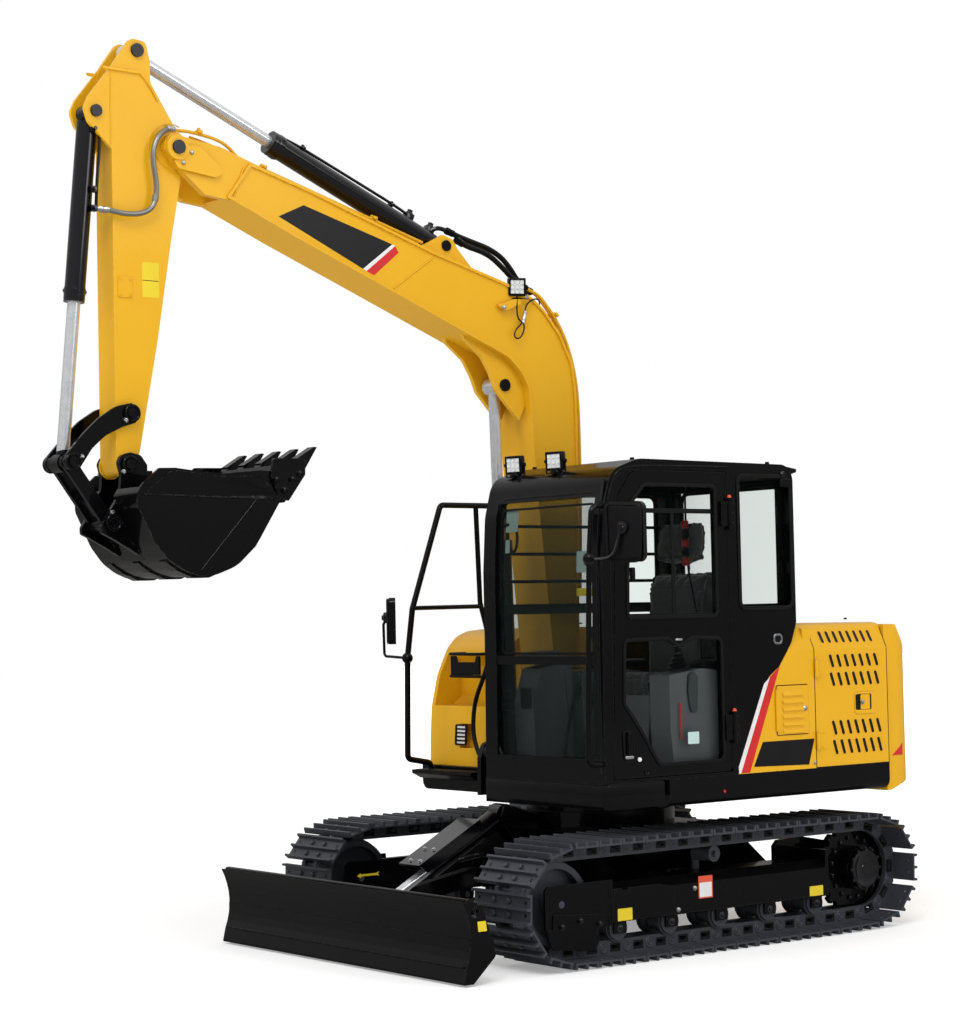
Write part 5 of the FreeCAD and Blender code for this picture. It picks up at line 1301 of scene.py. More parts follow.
@dataclass
class Boom:
    """What the boom carries: films, weld beads, pipes, hoses, the working light and its cable.

    Attributes:
        web: Where the sunk side plate is.
        lip: Where the flanges end.
        middle: The middle plane.
        pipe: Radius of the steel pipes.
        hose: Radius of the hoses.
    """

    web: float = -0.027
    lip: float = -0.015
    middle: float = -0.16
    pipe: float = 0.009
    hose: float = 0.0155

    def build(self) -> None:
        """Makes every piece on the boom."""
        self.banner()
        self.beads()
        self.pipes()
        self.hoses()
        self.light()
        self.bosses()

    def banner(self) -> None:
        """The bare black banner with its white and red ends."""
        dark = [(2.035, 3.845), (1.880, 3.917), (1.320, 3.757), (1.512, 3.612)]
        white = [(1.512, 3.612), (1.320, 3.757), (1.301, 3.750), (1.490, 3.602)]
        red = [(1.490, 3.602), (1.301, 3.750), (1.279, 3.716), (1.441, 3.583)]
        for name, outline, finish in (("banner_dark", dark, BLACK_FILM_AND_SHADE), ("banner_white", white, WHITE),
                                      ("banner_red", red, RED)):
            film(name, "boom", outline, self.web, finish)
            film(f"{name}_far", "boom", outline, 2 * self.middle - self.web, finish, thick=-FILM)

    def beads(self) -> None:
        """Weld beads between the side plates and round the nose."""
        lines = {
            "bead_front": [(1.052, self.web, 3.706), (1.318, self.web, 3.521)],
            "bead_nose": [(2.243, self.web + 0.001, 4.075), (2.311, self.web + 0.001, 3.901)],
        }
        for name, (start, end) in lines.items():
            count = max(int((Vector(end) - Vector(start)).length / 0.012), 2)
            points = [tuple(Vector(start).lerp(Vector(end), step / count)
                            + Vector((0.0, 0.0, 0.0012 * (-1) ** step))) for step in range(count + 1)]
            Piece.tube(name, points, 0.0055, sides=1).ride("boom", YELLOW, ROUND)

    def pipes(self) -> None:
        """Two steel pipes along the boom's back with their clips."""
        runs = {
            "pipe_left": [(2.603, -0.085, 4.238), (2.55, -0.085, 4.243), (2.48, -0.085, 4.236),
                          (2.373, -0.085, 4.222), (2.295, -0.085, 4.19), (2.234, -0.085, 4.127),
                          (2.16, -0.085, 4.112), (2.03, -0.085, 4.078), (1.40, -0.085, 3.889),
                          (1.08, -0.085, 3.794)],
            "pipe_right": [(2.50, -0.125, 4.222), (2.40, -0.125, 4.2), (2.30, -0.125, 4.17),
                           (2.2, -0.125, 4.13), (2.03, -0.125, 4.085), (1.40, -0.125, 3.893),
                           (1.08, -0.125, 3.797)],
        }
        for name, points in runs.items():
            Piece.tube(name, points, self.pipe).ride("boom", YELLOW, ROUND)
        back = [(0.47, 3.628), (0.391, 3.59), (0.297, 3.562), (0.239, 3.504), (0.172, 3.428),
                (0.118, 3.34), (0.075, 3.24), (0.04, 3.11), (0.022, 2.95), (0.02, 2.6), (0.028, 2.2),
                (0.04, 1.9)]
        for name, across, lift in (("back_pipe_left", -0.06, 0.0), ("back_pipe_right", -0.1, 0.01)):
            points = [(x - lift, across, z + lift) for x, z in back]
            Piece.tube(name, points, self.pipe).ride("boom", YELLOW, ROUND)
        clip("clip_nose", (2.47, -0.085, 4.236), (1.0, 0.0, 0.1), self.pipe).ride("boom", YELLOW)
        clip("clip_front", (2.09, -0.105, 4.096), (1.0, 0.0, 0.3), self.pipe, 0.04).ride("boom", YELLOW)
        clip("clip_middle", (1.4, -0.105, 3.891), (1.0, 0.0, 0.3), self.pipe, 0.04).ride("boom", YELLOW)
        clip("clip_back", (0.185, -0.08, 3.448), (-0.65, 0.0, -0.76), self.pipe, 0.04).ride(
            "boom", YELLOW)

    def hoses(self) -> None:
        """The twin hoses between the arm cylinder's ports and the pipes on the gooseneck."""
        upper = [(0.895, -0.12, 3.882), (0.86, -0.12, 3.872), (0.80, -0.118, 3.852),
                 (0.707, -0.115, 3.828), (0.616, -0.11, 3.806), (0.525, -0.108, 3.766),
                 (0.459, -0.105, 3.704), (0.42, -0.1, 3.645), (0.37, -0.1, 3.6), (0.31, -0.1, 3.575)]
        lower = [(0.86, -0.08, 3.83), (0.787, -0.078, 3.797), (0.705, -0.075, 3.782),
                 (0.623, -0.072, 3.755), (0.541, -0.068, 3.695), (0.485, -0.064, 3.645),
                 (0.43, -0.06, 3.61), (0.38, -0.06, 3.585)]
        for name, points in (("arm_hose_upper", upper), ("arm_hose_lower", lower)):
            Piece.tube(name, points, self.hose, sides=3).ride("boom", TRIM, ROUND)
            ends = [ferrule(f"{name}_end", points[0], tuple(Vector(points[1]) - Vector(points[0])),
                            self.hose, 0.06),
                    ferrule(f"{name}_end", points[-1], tuple(Vector(points[-2]) - Vector(points[-1])),
                            self.hose, 0.06)]
            ends[0].join(ends[1:]).ride("boom", BLACK)

    def light(self) -> None:
        """The working light on its bracket, with its cable and plug."""
        work_lamp("boom_light", "boom", facing((0.497, 0.004, 3.583), (0.42, 0.905, -0.06)),
                  0.1, 0.1, 0.07)
        bar = [(0.64, 3.477), (0.585, 3.448), (0.56, 3.452), (0.5, 3.48), (0.47, 3.49), (0.47, 3.515),
               (0.52, 3.513), (0.6, 3.485)]
        Piece.plate("boom_light_bracket", [rounded(bar, 0.008)], self.web, self.web + 0.03,
                    Plane.SIDE, 0.002).ride("boom", YELLOW)
        bolts("boom_light_bolts", "boom", [facing((0.596, self.web + 0.03, 3.462), (0.0, 1.0, 0.0)),
                                           facing((0.45, 0.02, 3.525), (-0.6, 0.8, 0.0))],
              0.02, ZINC)
        cable = [(0.497, -0.002, 3.53), (0.502, 0.003, 3.47), (0.503, 0.004, 3.43), (0.494, 0.005, 3.402),
                 (0.462, 0.005, 3.385), (0.452, 0.005, 3.36), (0.47, 0.005, 3.315),
                 (0.5, 0.005, 3.291), (0.528, 0.003, 3.306), (0.512, 0.0, 3.345),
                 (0.462, -0.002, 3.385), (0.447, -0.003, 3.42), (0.441, -0.004, 3.455),
                 (0.428, -0.004, 3.49), (0.392, -0.005, 3.517), (0.35, -0.01, 3.53),
                 (0.318, -0.018, 3.515), (0.326, -0.024, 3.483)]
        Piece.tube("boom_light_cable", cable, 0.0042).ride("boom", TRIM, ROUND)
        plug = ferrule("boom_light_plug", (0.462, 0.0, 3.378), (-0.3, 0.0, 1.0), 0.0095, 0.05)
        plug.join([ferrule("plug", (0.442, 0.0, 3.452), (0.2, 0.0, -1.0), 0.0085, 0.03)])
        plug.ride("boom", ZINC)

    def bosses(self) -> None:
        """The nose's keeper bolts and its doubler plate."""
        spots = [facing((2.556, self.lip, 4.119), (0.0, 1.0, 0.0)),
                 facing((2.605, self.lip, 4.062), (0.0, 1.0, 0.0))]
        bolts("nose_keeper_bolts", "boom", spots, 0.02, ZINC)
        doubler = [(2.66, 4.075), (2.63, 4.032), (2.415, 4.006), (2.375, 4.03), (2.388, 4.068),
                   (2.50, 4.15), (2.56, 4.16)]
        Piece.plate("nose_doubler", [rounded(doubler, 0.02)], self.lip - 0.004, self.lip + 0.0045,
                    Plane.SIDE, 0.0015).ride("boom", YELLOW)


def work_lamp(name: str, body: str, place: Matrix, width: float, height: float,
              depth: float) -> None:
    """A square working light: finned housing, bezel, reflector cups, lens and yoke.

    Args:
        name: The lamp's name.
        body: The body that carries it.
        place: The move of the lamp, whose lens looks along +Z and whose top lies along +Y.
        width: The housing's width.
        height: Its height.
        depth: Its depth.
    """
    shell = Piece.block(name, (width, height, depth * 0.55), (0.0, 0.0, -depth * 0.275))
    shell.faces(lambda middle, normal: normal.z < -0.9).inset(width * 0.1).extrude(
        (0.0, 0.0, -depth * 0.2)).done()
    shell.edges(width * 0.06, 2)
    shell.faces(towards("z", 0.95)).inset(width * 0.08).inset(0.0, -0.004).done()
    fin = Piece.block(f"{name}_fin", (width * 0.84, 0.003, depth * 0.42), (0.0, 0.0, -depth * 0.62))
    fin.edges(0.001, 1).copies([Matrix.Translation((0.0, height * (0.11 * step - 0.33), 0.0))
                                for step in range(7)])
    shell.join([fin])
    lens_size = width * 0.8
    cup = Piece.turned(f"{name}_cup", [(0.0, -0.006), (0.004, -0.006), (lens_size / 6.6, 0.0),
                                       (lens_size / 6.2, 0.001), (lens_size / 6.2, -0.002)],
                       Matrix.Identity(4), 12)
    places = [Matrix.Translation((lens_size * (column - 1) / 3, lens_size * (row - 1) / 3, -0.001))
              for column in range(3) for row in range(3)]
    cups = cup.copies(places)
    lens = Piece.plate(f"{name}_lens", [rounded(oblong(0.0, 0.0, lens_size, lens_size), 0.006)],
                       -0.005, -0.0035, Plane.TOP)
    lens.join([cups])
    yoke = Piece.tube(f"{name}_yoke", [(-width * 0.56, 0.0, -depth * 0.3),
                                       (-width * 0.56, -height * 0.62, -depth * 0.3),
                                       (width * 0.56, -height * 0.62, -depth * 0.3),
                                       (width * 0.56, 0.0, -depth * 0.3)], 0.0045, smooth=False)
    knob = hex_bolt(f"{name}_knob", 0.018, 0.01)
    knob.copies([facing((side * width * 0.53, 0.0, -depth * 0.3), (side, 0.0, 0.0))
                 for side in (-1.0, 1.0)])
    shell.join([yoke, knob]).moved(place).ride(body, BLACK)
    lens.moved(place).ride(body, LENS)


ASSEMBLIES.append(Boom())


UPPER_PANE = [(0.057, 1.74), (0.69, 1.74), (0.683, 1.993), (0.652, 2.33), (0.56, 2.43), (0.057, 2.43)]
LOWER_PANE = [(0.034, 0.985), (0.493, 0.985), (0.62, 1.173), (0.724, 1.306), (0.714, 1.631),
              (0.417, 1.636), (0.338, 1.593), (0.24, 1.638), (0.036, 1.628)]
REAR_PANE = [(-0.5, 1.775), (-0.102, 1.775), (-0.102, 2.49), (-0.46, 2.49), (-0.5, 2.44)]
RIGHT_PANE = [(-0.4, 1.24), (0.769, 1.24), (0.769, 2.0), (0.739, 2.33), (0.669, 2.43), (-0.4, 2.43)]


@dataclass
class CabOutside:
    """The cab's outside: rubber sections, window runners, hinges, handle, roof trim and labels.

    Attributes:
        wall: Where the left wall and the door leaf are.
        front: Where the windscreen's foot is; not used.
        lean: The leaning line of the cab's front as X and Z from foot to roof.
        glass_sides: Where the windscreen's side edges are.
    """

    wall: float = 1.08
    front: float = 0.857
    lean: tuple[Flat, ...] = ((0.8335, 1.03), (0.829, 1.5), (0.8285, 2.0), (0.812, 2.29), (0.796, 2.365))
    glass_sides: Flat = (0.2, 1.0)

    def build(self) -> None:
        """Makes every piece outside the cab."""
        self.door()
        self.panes()
        self.windscreen()
        self.roof()
        self.hinges()
        self.labels()
        self.lamps()

    def door(self) -> None:
        """The door's rubber sections, window runners, latch, handle and lock."""
        outer = self.wall + 0.001
        gasket("door_upper_seal", "cab_door", UPPER_PANE, outer, inner=0.014, outer=0.006, thick=0.01,
               radius=0.03)
        gasket("door_lower_seal", "cab_door", LOWER_PANE, outer, inner=0.012, outer=0.007, thick=0.01,
               radius=0.035)
        runner = [oblong(0.372, 2.293, 0.62, 0.024), oblong(0.372, 1.753, 0.622, 0.02)]
        for name, outline in zip(("door_runner_top", "door_runner_sill"), runner):
            Piece.plate(name, [rounded(outline, 0.003)], 1.05, 1.068, Plane.SIDE, 0.002).ride(
                "cab_door", TRIM)
        stile = Piece.plate("door_sliding_stile", [oblong(0.352, 2.02, 0.022, 0.52)], 1.061, 1.067,
                            Plane.SIDE, 0.001)
        stile.ride("cab_door", TRIM)
        latch = Piece.block("door_slide_latch", (0.026, 0.018, 0.07), (0.64, 1.072, 1.965))
        latch.faces(towards("y")).inset(0.006, 0.006).done().edges(0.004)
        knob = Piece.block("knob", (0.05, 0.01, 0.012), (0.655, 1.072, 1.965)).edges(0.003)
        latch.join([knob]).ride("cab_door", TRIM)
        self.handle()
        drip = [(0.807, 2.34), (0.775, 2.46), (0.7, 2.513), (0.55, 2.523), (0.1, 2.527), (-0.03, 2.527)]
        Piece.tube("door_drip_rail", [(x, self.wall + 0.004, z) for x, z in drip], 0.006).ride(
            "upper", BLACK)
        edge = rounded([(-0.012, 0.938), (0.79, 0.938), (0.789, 2.3), (0.745, 2.45), (0.68, 2.493),
                        (-0.012, 2.493)], 0.02)
        Piece.plate("door_shadow_gap", [rounded(grown(edge, 0.0085), 0.001),
                                        rounded(grown(edge, 0.0035), 0.001)],
                    self.wall - 0.0005, self.wall + 0.0012).ride("upper", TRIM)

    def handle(self) -> None:
        """The paddle handle in its dished recess, with the lock and a rubber stop."""
        place = rounded([(0.66, 1.02), (0.735, 1.02), (0.742, 1.172), (0.667, 1.172)], 0.022)
        dish = Piece.plate("door_handle_rim", [place, rounded(grown(place, -0.009), 0.01)],
                           self.wall - 0.001, self.wall + 0.007, Plane.SIDE, 0.003)
        dish.ride("cab_door", TRIM)
        paddle = Piece.plate("door_handle", [rounded([(0.676, 1.05), (0.705, 1.047), (0.71, 1.163),
                                                      (0.68, 1.163)], 0.009)],
                             self.wall + 0.001, self.wall + 0.011, Plane.SIDE, 0.004)
        paddle.ride("cab_door", BLACK)
        lip = Piece.plate("door_handle_lip", [rounded(oblong(0.7, 1.036, 0.058, 0.016), 0.007)],
                          self.wall, self.wall + 0.009, Plane.SIDE, 0.003)
        lip.ride("cab_door", ZINC)
        stop = Piece.turned("door_stop", [(0.0, 0.0), (0.012, 0.0), (0.011, 0.006), (0.006, 0.009),
                                          (0.0, 0.009)],
                            facing((0.628, self.wall, 1.022), (0.0, 1.0, 0.0)), 16)
        stop.ride("cab_door", WHITE)
        cap = Piece.turned("door_lock_cap", [(0.0, 0.002), (0.009, 0.002), (0.012, 0.005),
                                             (0.016, 0.005), (0.017, 0.0)],
                           facing((0.58, self.wall, 0.956), (0.0, 1.0, 0.0)), 20)
        cap.ride("cab_door", BLACK)
        striker = Piece.turned("lower_latch", [(0.0, 0.004), (0.03, 0.004), (0.034, 0.0)],
                               facing((0.338, self.wall - 0.012, 1.622), (0.0, 1.0, 0.0)), 24)
        hook = Piece.block("hook", (0.05, 0.012, 0.012), (0.338, self.wall - 0.003, 1.625)).edges(0.004)
        striker.join([hook]).ride("cab_door", ZINC)

    def panes(self) -> None:
        """Rubber sections of the fixed panes at the side and the back, and the side catch."""
        gasket("rear_side_seal", "upper", REAR_PANE, self.wall + 0.001, inner=0.016, outer=0.007,
               thick=0.01, radius=0.045)
        gasket("right_side_seal", "upper", RIGHT_PANE, 0.1005, inner=0.014, outer=0.01, thick=0.012,
               radius=0.05)
        back = [(0.19, 1.79), (0.99, 1.79), (0.99, 2.44), (0.19, 2.44)]
        gasket("back_seal", "upper", back, -0.5195, Plane.FRONT, 0.014, 0.012, 0.012, 0.06)
        ring = rounded(oblong(-0.375, 1.612, 0.068, 0.058), 0.022)
        hole = rounded(oblong(-0.375, 1.612, 0.044, 0.034), 0.012)
        Piece.plate("side_catch_rim", [ring, hole], self.wall - 0.001, self.wall + 0.006,
                    Plane.SIDE, 0.0028).ride("upper", ZINC_DARK)
        Piece.plate("side_catch_well", [hole], self.wall - 0.001, self.wall + 0.001).ride(
            "upper", TRIM)

    def windscreen(self) -> None:
        """The windscreen's rubber frame, cross rail and sash, the grab bar and the pillar's trim."""
        low, high = self.glass_sides
        frame = rounded([(low - 0.012, 1.012), (high + 0.02, 1.012), (high + 0.02, 2.385),
                         (low - 0.012, 2.385)], 0.075, 6)
        line = [(self.lean_at(z) + 0.003, y, z) for y, z in frame]
        Piece.tube("windscreen_seal", line, 0.0115, closed=True, smooth=False, sides=2).ride(
            "upper", TRIM, ROUND)
        rail = Piece.block("windscreen_rail", (0.022, high - low + 0.02, 0.03), (
            self.lean_at(1.53) + 0.003, (low + high) / 2, 1.531))
        rail.faces(towards("x")).inset(0.008, -0.004).done().edges(0.003)
        rail.ride("upper", BARREL)
        inner = [(low + 0.022, 1.56), (high - 0.022, 1.56), (high - 0.022, 2.335), (low + 0.022, 2.335)]
        hole = grown(inner, -0.012)
        frame = Piece.plate("windscreen_sash", [rounded(inner, 0.03), rounded(hole, 0.02)], -0.004,
                            0.004, Plane.FRONT, 0.002)
        frame.leaned(lambda point: self.lean_at(point.z) - 0.004).ride("upper", TRIM)
        grab = [(0.815, 0.245, 2.25), (0.79, 0.27, 2.255), (0.775, 0.305, 2.23), (0.775, 0.305, 2.13),
                (0.79, 0.27, 2.09), (0.815, 0.24, 2.09)]
        Piece.tube("grab_bar", grab, 0.008).ride("upper", TRIM)
        pillar = [(0.8565, 1.052, 0.96), (0.8565, 1.052, 1.6), (0.852, 1.052, 2.0),
                  (0.838, 1.052, 2.28), (0.80, 1.052, 2.45)]
        Piece.tube("pillar_trim", pillar, 0.007).ride("upper", BARREL)

    def lean_at(self, height: float) -> float:
        """Where the cab's front is at a height.

        Args:
            height: The height.

        Returns:
            Its place forward.
        """
        for (x0, z0), (x1, z1) in zip(self.lean, self.lean[1:]):
            if height <= z1:
                return x0 + (x1 - x0) * (height - z0) / (z1 - z0)
        return self.lean[-1][0]

    def roof(self) -> None:
        """The roof's lifting studs and pressing, and the rear visor with its catch."""
        studs = [(0.56, 1.0, 2.558), (-0.40, 1.01, 2.556), (-0.40, 0.2, 2.556), (0.56, 0.2, 2.558)]
        bolts("roof_studs", "upper", [facing(spot, (0.0, 0.0, 1.0)) for spot in studs], 0.02,
              head=0.011)
        panel = rounded([(-0.42, 0.25), (0.5, 0.25), (0.5, 0.93), (-0.42, 0.93)], 0.06)
        Piece.plate("roof_pressing", [panel], 2.553, 2.5665, Plane.TOP, 0.006).ride("upper", BLACK)
        visor = [(-0.512, 2.428), (-0.42, 2.428), (-0.42, 2.472), (-0.512, 2.472)]
        Piece.plate("rear_visor", [rounded(visor, 0.012)], self.wall - 0.004, self.wall + 0.009,
                    Plane.SIDE, 0.004).ride("upper", BLACK)
        knob = Piece.turned("visor_catch", [(0.0, 0.0), (0.018, 0.0), (0.018, 0.008), (0.01, 0.016),
                                            (0.0, 0.016)],
                            facing((-0.44, self.wall, 2.497), (0.0, 1.0, 0.0)), 16)
        knob.ride("upper", BARREL)

    def hinges(self) -> None:
        """The door hinges' leaves, bolts and red-orange caps."""
        for name, low, high in (("lower", 1.072, 1.241), ("upper", 2.195, 2.365)):
            leaf = rounded([(-0.075, low), (-0.014, low), (-0.014, high), (-0.075, high)], 0.006)
            Piece.plate(f"hinge_{name}_leaf", [leaf], self.wall, self.wall + 0.006, Plane.SIDE,
                        0.002).ride("upper", BLACK)
            bolts(f"hinge_{name}_bolts", "upper", [
                facing((-0.058, self.wall + 0.006, low + (high - low) * share), (0.0, 1.0, 0.0))
                for share in (0.2, 0.5, 0.8)], 0.014)
            cap = Piece.turned(f"hinge_{name}_cap", [(0.0, 0.016), (0.007, 0.014), (0.011, 0.006),
                                                     (0.012, 0.0), (0.0, 0.0)],
                               Matrix.Translation((-0.032, self.wall + 0.014, high)), 16)
            cap.ride("upper", ORANGE)

    def labels(self) -> None:
        """Blank labels inside the panes."""
        for name, y0, z0, y1, z1, finish in (("label_top", 0.245, 2.21, 0.345, 2.33, LABEL_GREEN),
                                             ("label_corner", 0.245, 2.1, 0.28, 2.17, LABEL_GREEN),
                                             ("label_pillar", 0.84, 1.98, 0.955, 2.09, LABEL_GREEN),
                                             ("label_stripe", 0.84, 1.86, 0.99, 1.9, LABEL)):
            sheet = Piece.plate(name, [rounded([(y0, z0), (y1, z0), (y1, z1), (y0, z1)], 0.004)],
                                -0.0006, 0.0006, Plane.FRONT)
            sheet.leaned(lambda point: self.lean_at(point.z) - 0.012).ride("upper", finish)
        film("label_door", "cab_door", rounded(oblong(0.235, 1.113, 0.078, 0.062), 0.003), 1.0615,
             LABEL_GREEN)
        film("door_pull_strip", "cab_door", oblong(0.292, 1.2, 0.009, 0.19), 1.03, RED, thick=0.002)

    def lamps(self) -> None:
        """The two working lights over the windscreen, on their stalks, with their cables."""
        for name, across in (("left", 0.598), ("right", 0.255)):
            work_lamp(f"roof_lamp_{name}", "upper", facing((0.755, across, 2.572), (0.96, 0.28, -0.06)),
                      0.108, 0.1, 0.068)
            foot = Piece.block(f"roof_lamp_{name}_foot", (0.05, 0.05, 0.02), (0.735, across, 2.514))
            foot.faces(towards("z")).inset(0.012, 0.012).done().edges(0.004)
            foot.join([hex_bolt("bolt", 0.018, 0.012).moved(
                facing((0.762, across + 0.015, 2.52), (0.7, 0.7, 0.1)))])
            foot.ride("upper", BLACK)
            cable = [(0.715, across + 0.02, 2.56), (0.71, across + 0.05, 2.545),
                     (0.735, across + 0.062, 2.515), (0.76, across + 0.055, 2.49),
                     (0.765, across + 0.04, 2.475), (0.755, across + 0.03, 2.49),
                     (0.73, across + 0.02, 2.52)]
            Piece.tube(f"roof_lamp_{name}_cable", cable, 0.0032).ride("upper", TRIM)
        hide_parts("work_lights")


@dataclass
class Rails:
    """The mirrors' shells, faces and bosses, the left mirror's arm and the rail's clamp."""

    def build(self) -> None:
        """Makes both mirrors, the arm and the clamp."""
        for name, spot, turn, (width, height) in (
                ("left", (0.897, 1.33, 2.17), 19.3, (0.208, 0.30)),
                ("right", (0.561, -1.158, 1.75), -34.8, (0.17, 0.273))):
            move = Matrix.Translation(spot) @ Matrix.Rotation(math.radians(turn), 4, "Z")
            shape = rounded([(-width * 0.46, -height / 2), (width * 0.44, -height / 2),
                             (width / 2, height * 0.46), (-width * 0.5, height / 2)], 0.03)
            shell = Piece.plate(f"{name}_mirror_shell", [shape], -0.012, 0.028, Plane.FRONT, 0.009)
            shell.faces(towards("x")).inset(0.012, 0.006).done()
            shell.moved(move).ride("upper", TRIM)
            face = Piece.plate(f"{name}_mirror_face", [rounded(grown(shape, -0.012), 0.02)], -0.0135,
                               -0.0115, Plane.FRONT)
            face.moved(move).ride("upper", MIRROR)
            boss = Piece.turned(f"{name}_mirror_boss", [(0.0, 0.03), (0.012, 0.03), (0.016, 0.022),
                                                        (0.03, 0.018), (0.034, 0.0)],
                                facing((0.034, 0.0, 0.02), (1.0, 0.0, 0.0)), 20)
            screws = hex_bolt("screw", 0.01, 0.005).copies([
                facing((0.053, y, 0.02 + z), (1.0, 0.0, 0.0)) for y, z in ((-0.018, 0.0), (0.018, 0.0))])
            boss.join([screws]).moved(move).ride("upper", BARREL)
        arm = [(0.92, 1.085, 2.043), (0.945, 1.17, 2.04), (0.965, 1.27, 2.043), (0.968, 1.315, 2.065),
               (0.96, 1.33, 2.11), (0.95, 1.333, 2.165)]
        Piece.tube("left_mirror_arm", arm, 0.0075).ride("upper", BARREL)
        ball = Piece.turned("rail_clamps", [(0.0, -0.03), (0.016, -0.03), (0.026, -0.02),
                                            (0.03, 0.0), (0.026, 0.02), (0.016, 0.03), (0.0, 0.03)],
                            Matrix.Identity(4), 20)
        ball.copies([Matrix.Translation((0.917, 1.06, 2.04))]).ride("upper", BARREL)


ASSEMBLIES.extend([CabOutside(), Rails()])


def bead(name: str, body: str, points: Sequence[Point], radius: float = 0.004,
         finish: Optional[Finish] = None) -> Piece:
    """A weld bead along a line: a flattened roll with its ripples.

    Args:
        name: The piece's name.
        body: The body that carries it.
        points: The line's corners.
        radius: Half of the bead's width.
        finish: Its finish, yellow enamel where none is given.

    Returns:
        The piece.
    """
    ripples: list[Point] = []
    for start, end in zip(points, points[1:]):
        run = Vector(end) - Vector(start)
        count = max(int(run.length / (radius * 2.2)), 1)
        ripples += [tuple(Vector(start) + run * step / count) for step in range(count)]
    ripples.append(points[-1])
    roll = Piece.tube(name, ripples, radius, smooth=False, sides=1)
    for place, vertex in enumerate(roll.obj.data.vertices):
        vertex.co += vertex.normal * (radius * 0.22 * (1 if (place // 8) % 2 else -1))
    return roll.ride(body, finish or YELLOW, 70.0)


def pin_collar(name: str, body: str, spot: Flat, face: float, proud: float,
               bolt_turn: float = 225.0, side: float = 1.0) -> Piece:
    """The collar round a pin's end, with the cross bolt that keeps the pin.

    Args:
        name: The piece's name.
        body: The body that carries it.
        spot: X and Z of the pin.
        face: Y of the plate's face.
        proud: How far the pin's end stands out of the face.
        bolt_turn: Where the bolt lies round the pin, in degrees from forward to up.
        side: 1 where the face looks left, and -1 where it looks right.

    Returns:
        The collar.
    """
    x, z = spot
    radius = 0.03
    outward = (0.0, side, 0.0)
    ring = Piece.turned(name, [(radius + 0.001, 0.0), (radius + 0.001, 0.014), (radius + 0.004, 0.017),
                               (radius + 0.011, 0.017), (radius + 0.014, 0.014),
                               (radius + 0.014, 0.0)], facing((x, face, z), outward), 32)
    dish = Piece.turned("dish", [(0.0, 0.0005), (radius * 0.45, 0.0005), (radius * 0.5, 0.003),
                                 (radius * 0.8, 0.003), (radius * 0.86, 0.0)],
                        facing((x, face + side * proud, z), outward), 32)
    ring.join([dish]).ride(body, BLACK)
    turn = math.radians(bolt_turn)
    out = Vector((math.cos(turn), 0.0, math.sin(turn)))
    middle = Vector((x, face + side * 0.009, z)) + out * (radius + 0.01)
    shank = Piece.drum(f"{name}_bolt", 0.006, (tuple(middle - out * 0.004), tuple(middle + out * 0.02)),
                       12)
    nut = hex_bolt("nut", 0.02, 0.012).moved(facing(tuple(middle + out * 0.008), tuple(out)))
    shank.join([nut]).ride(body, ZINC)
    return ring


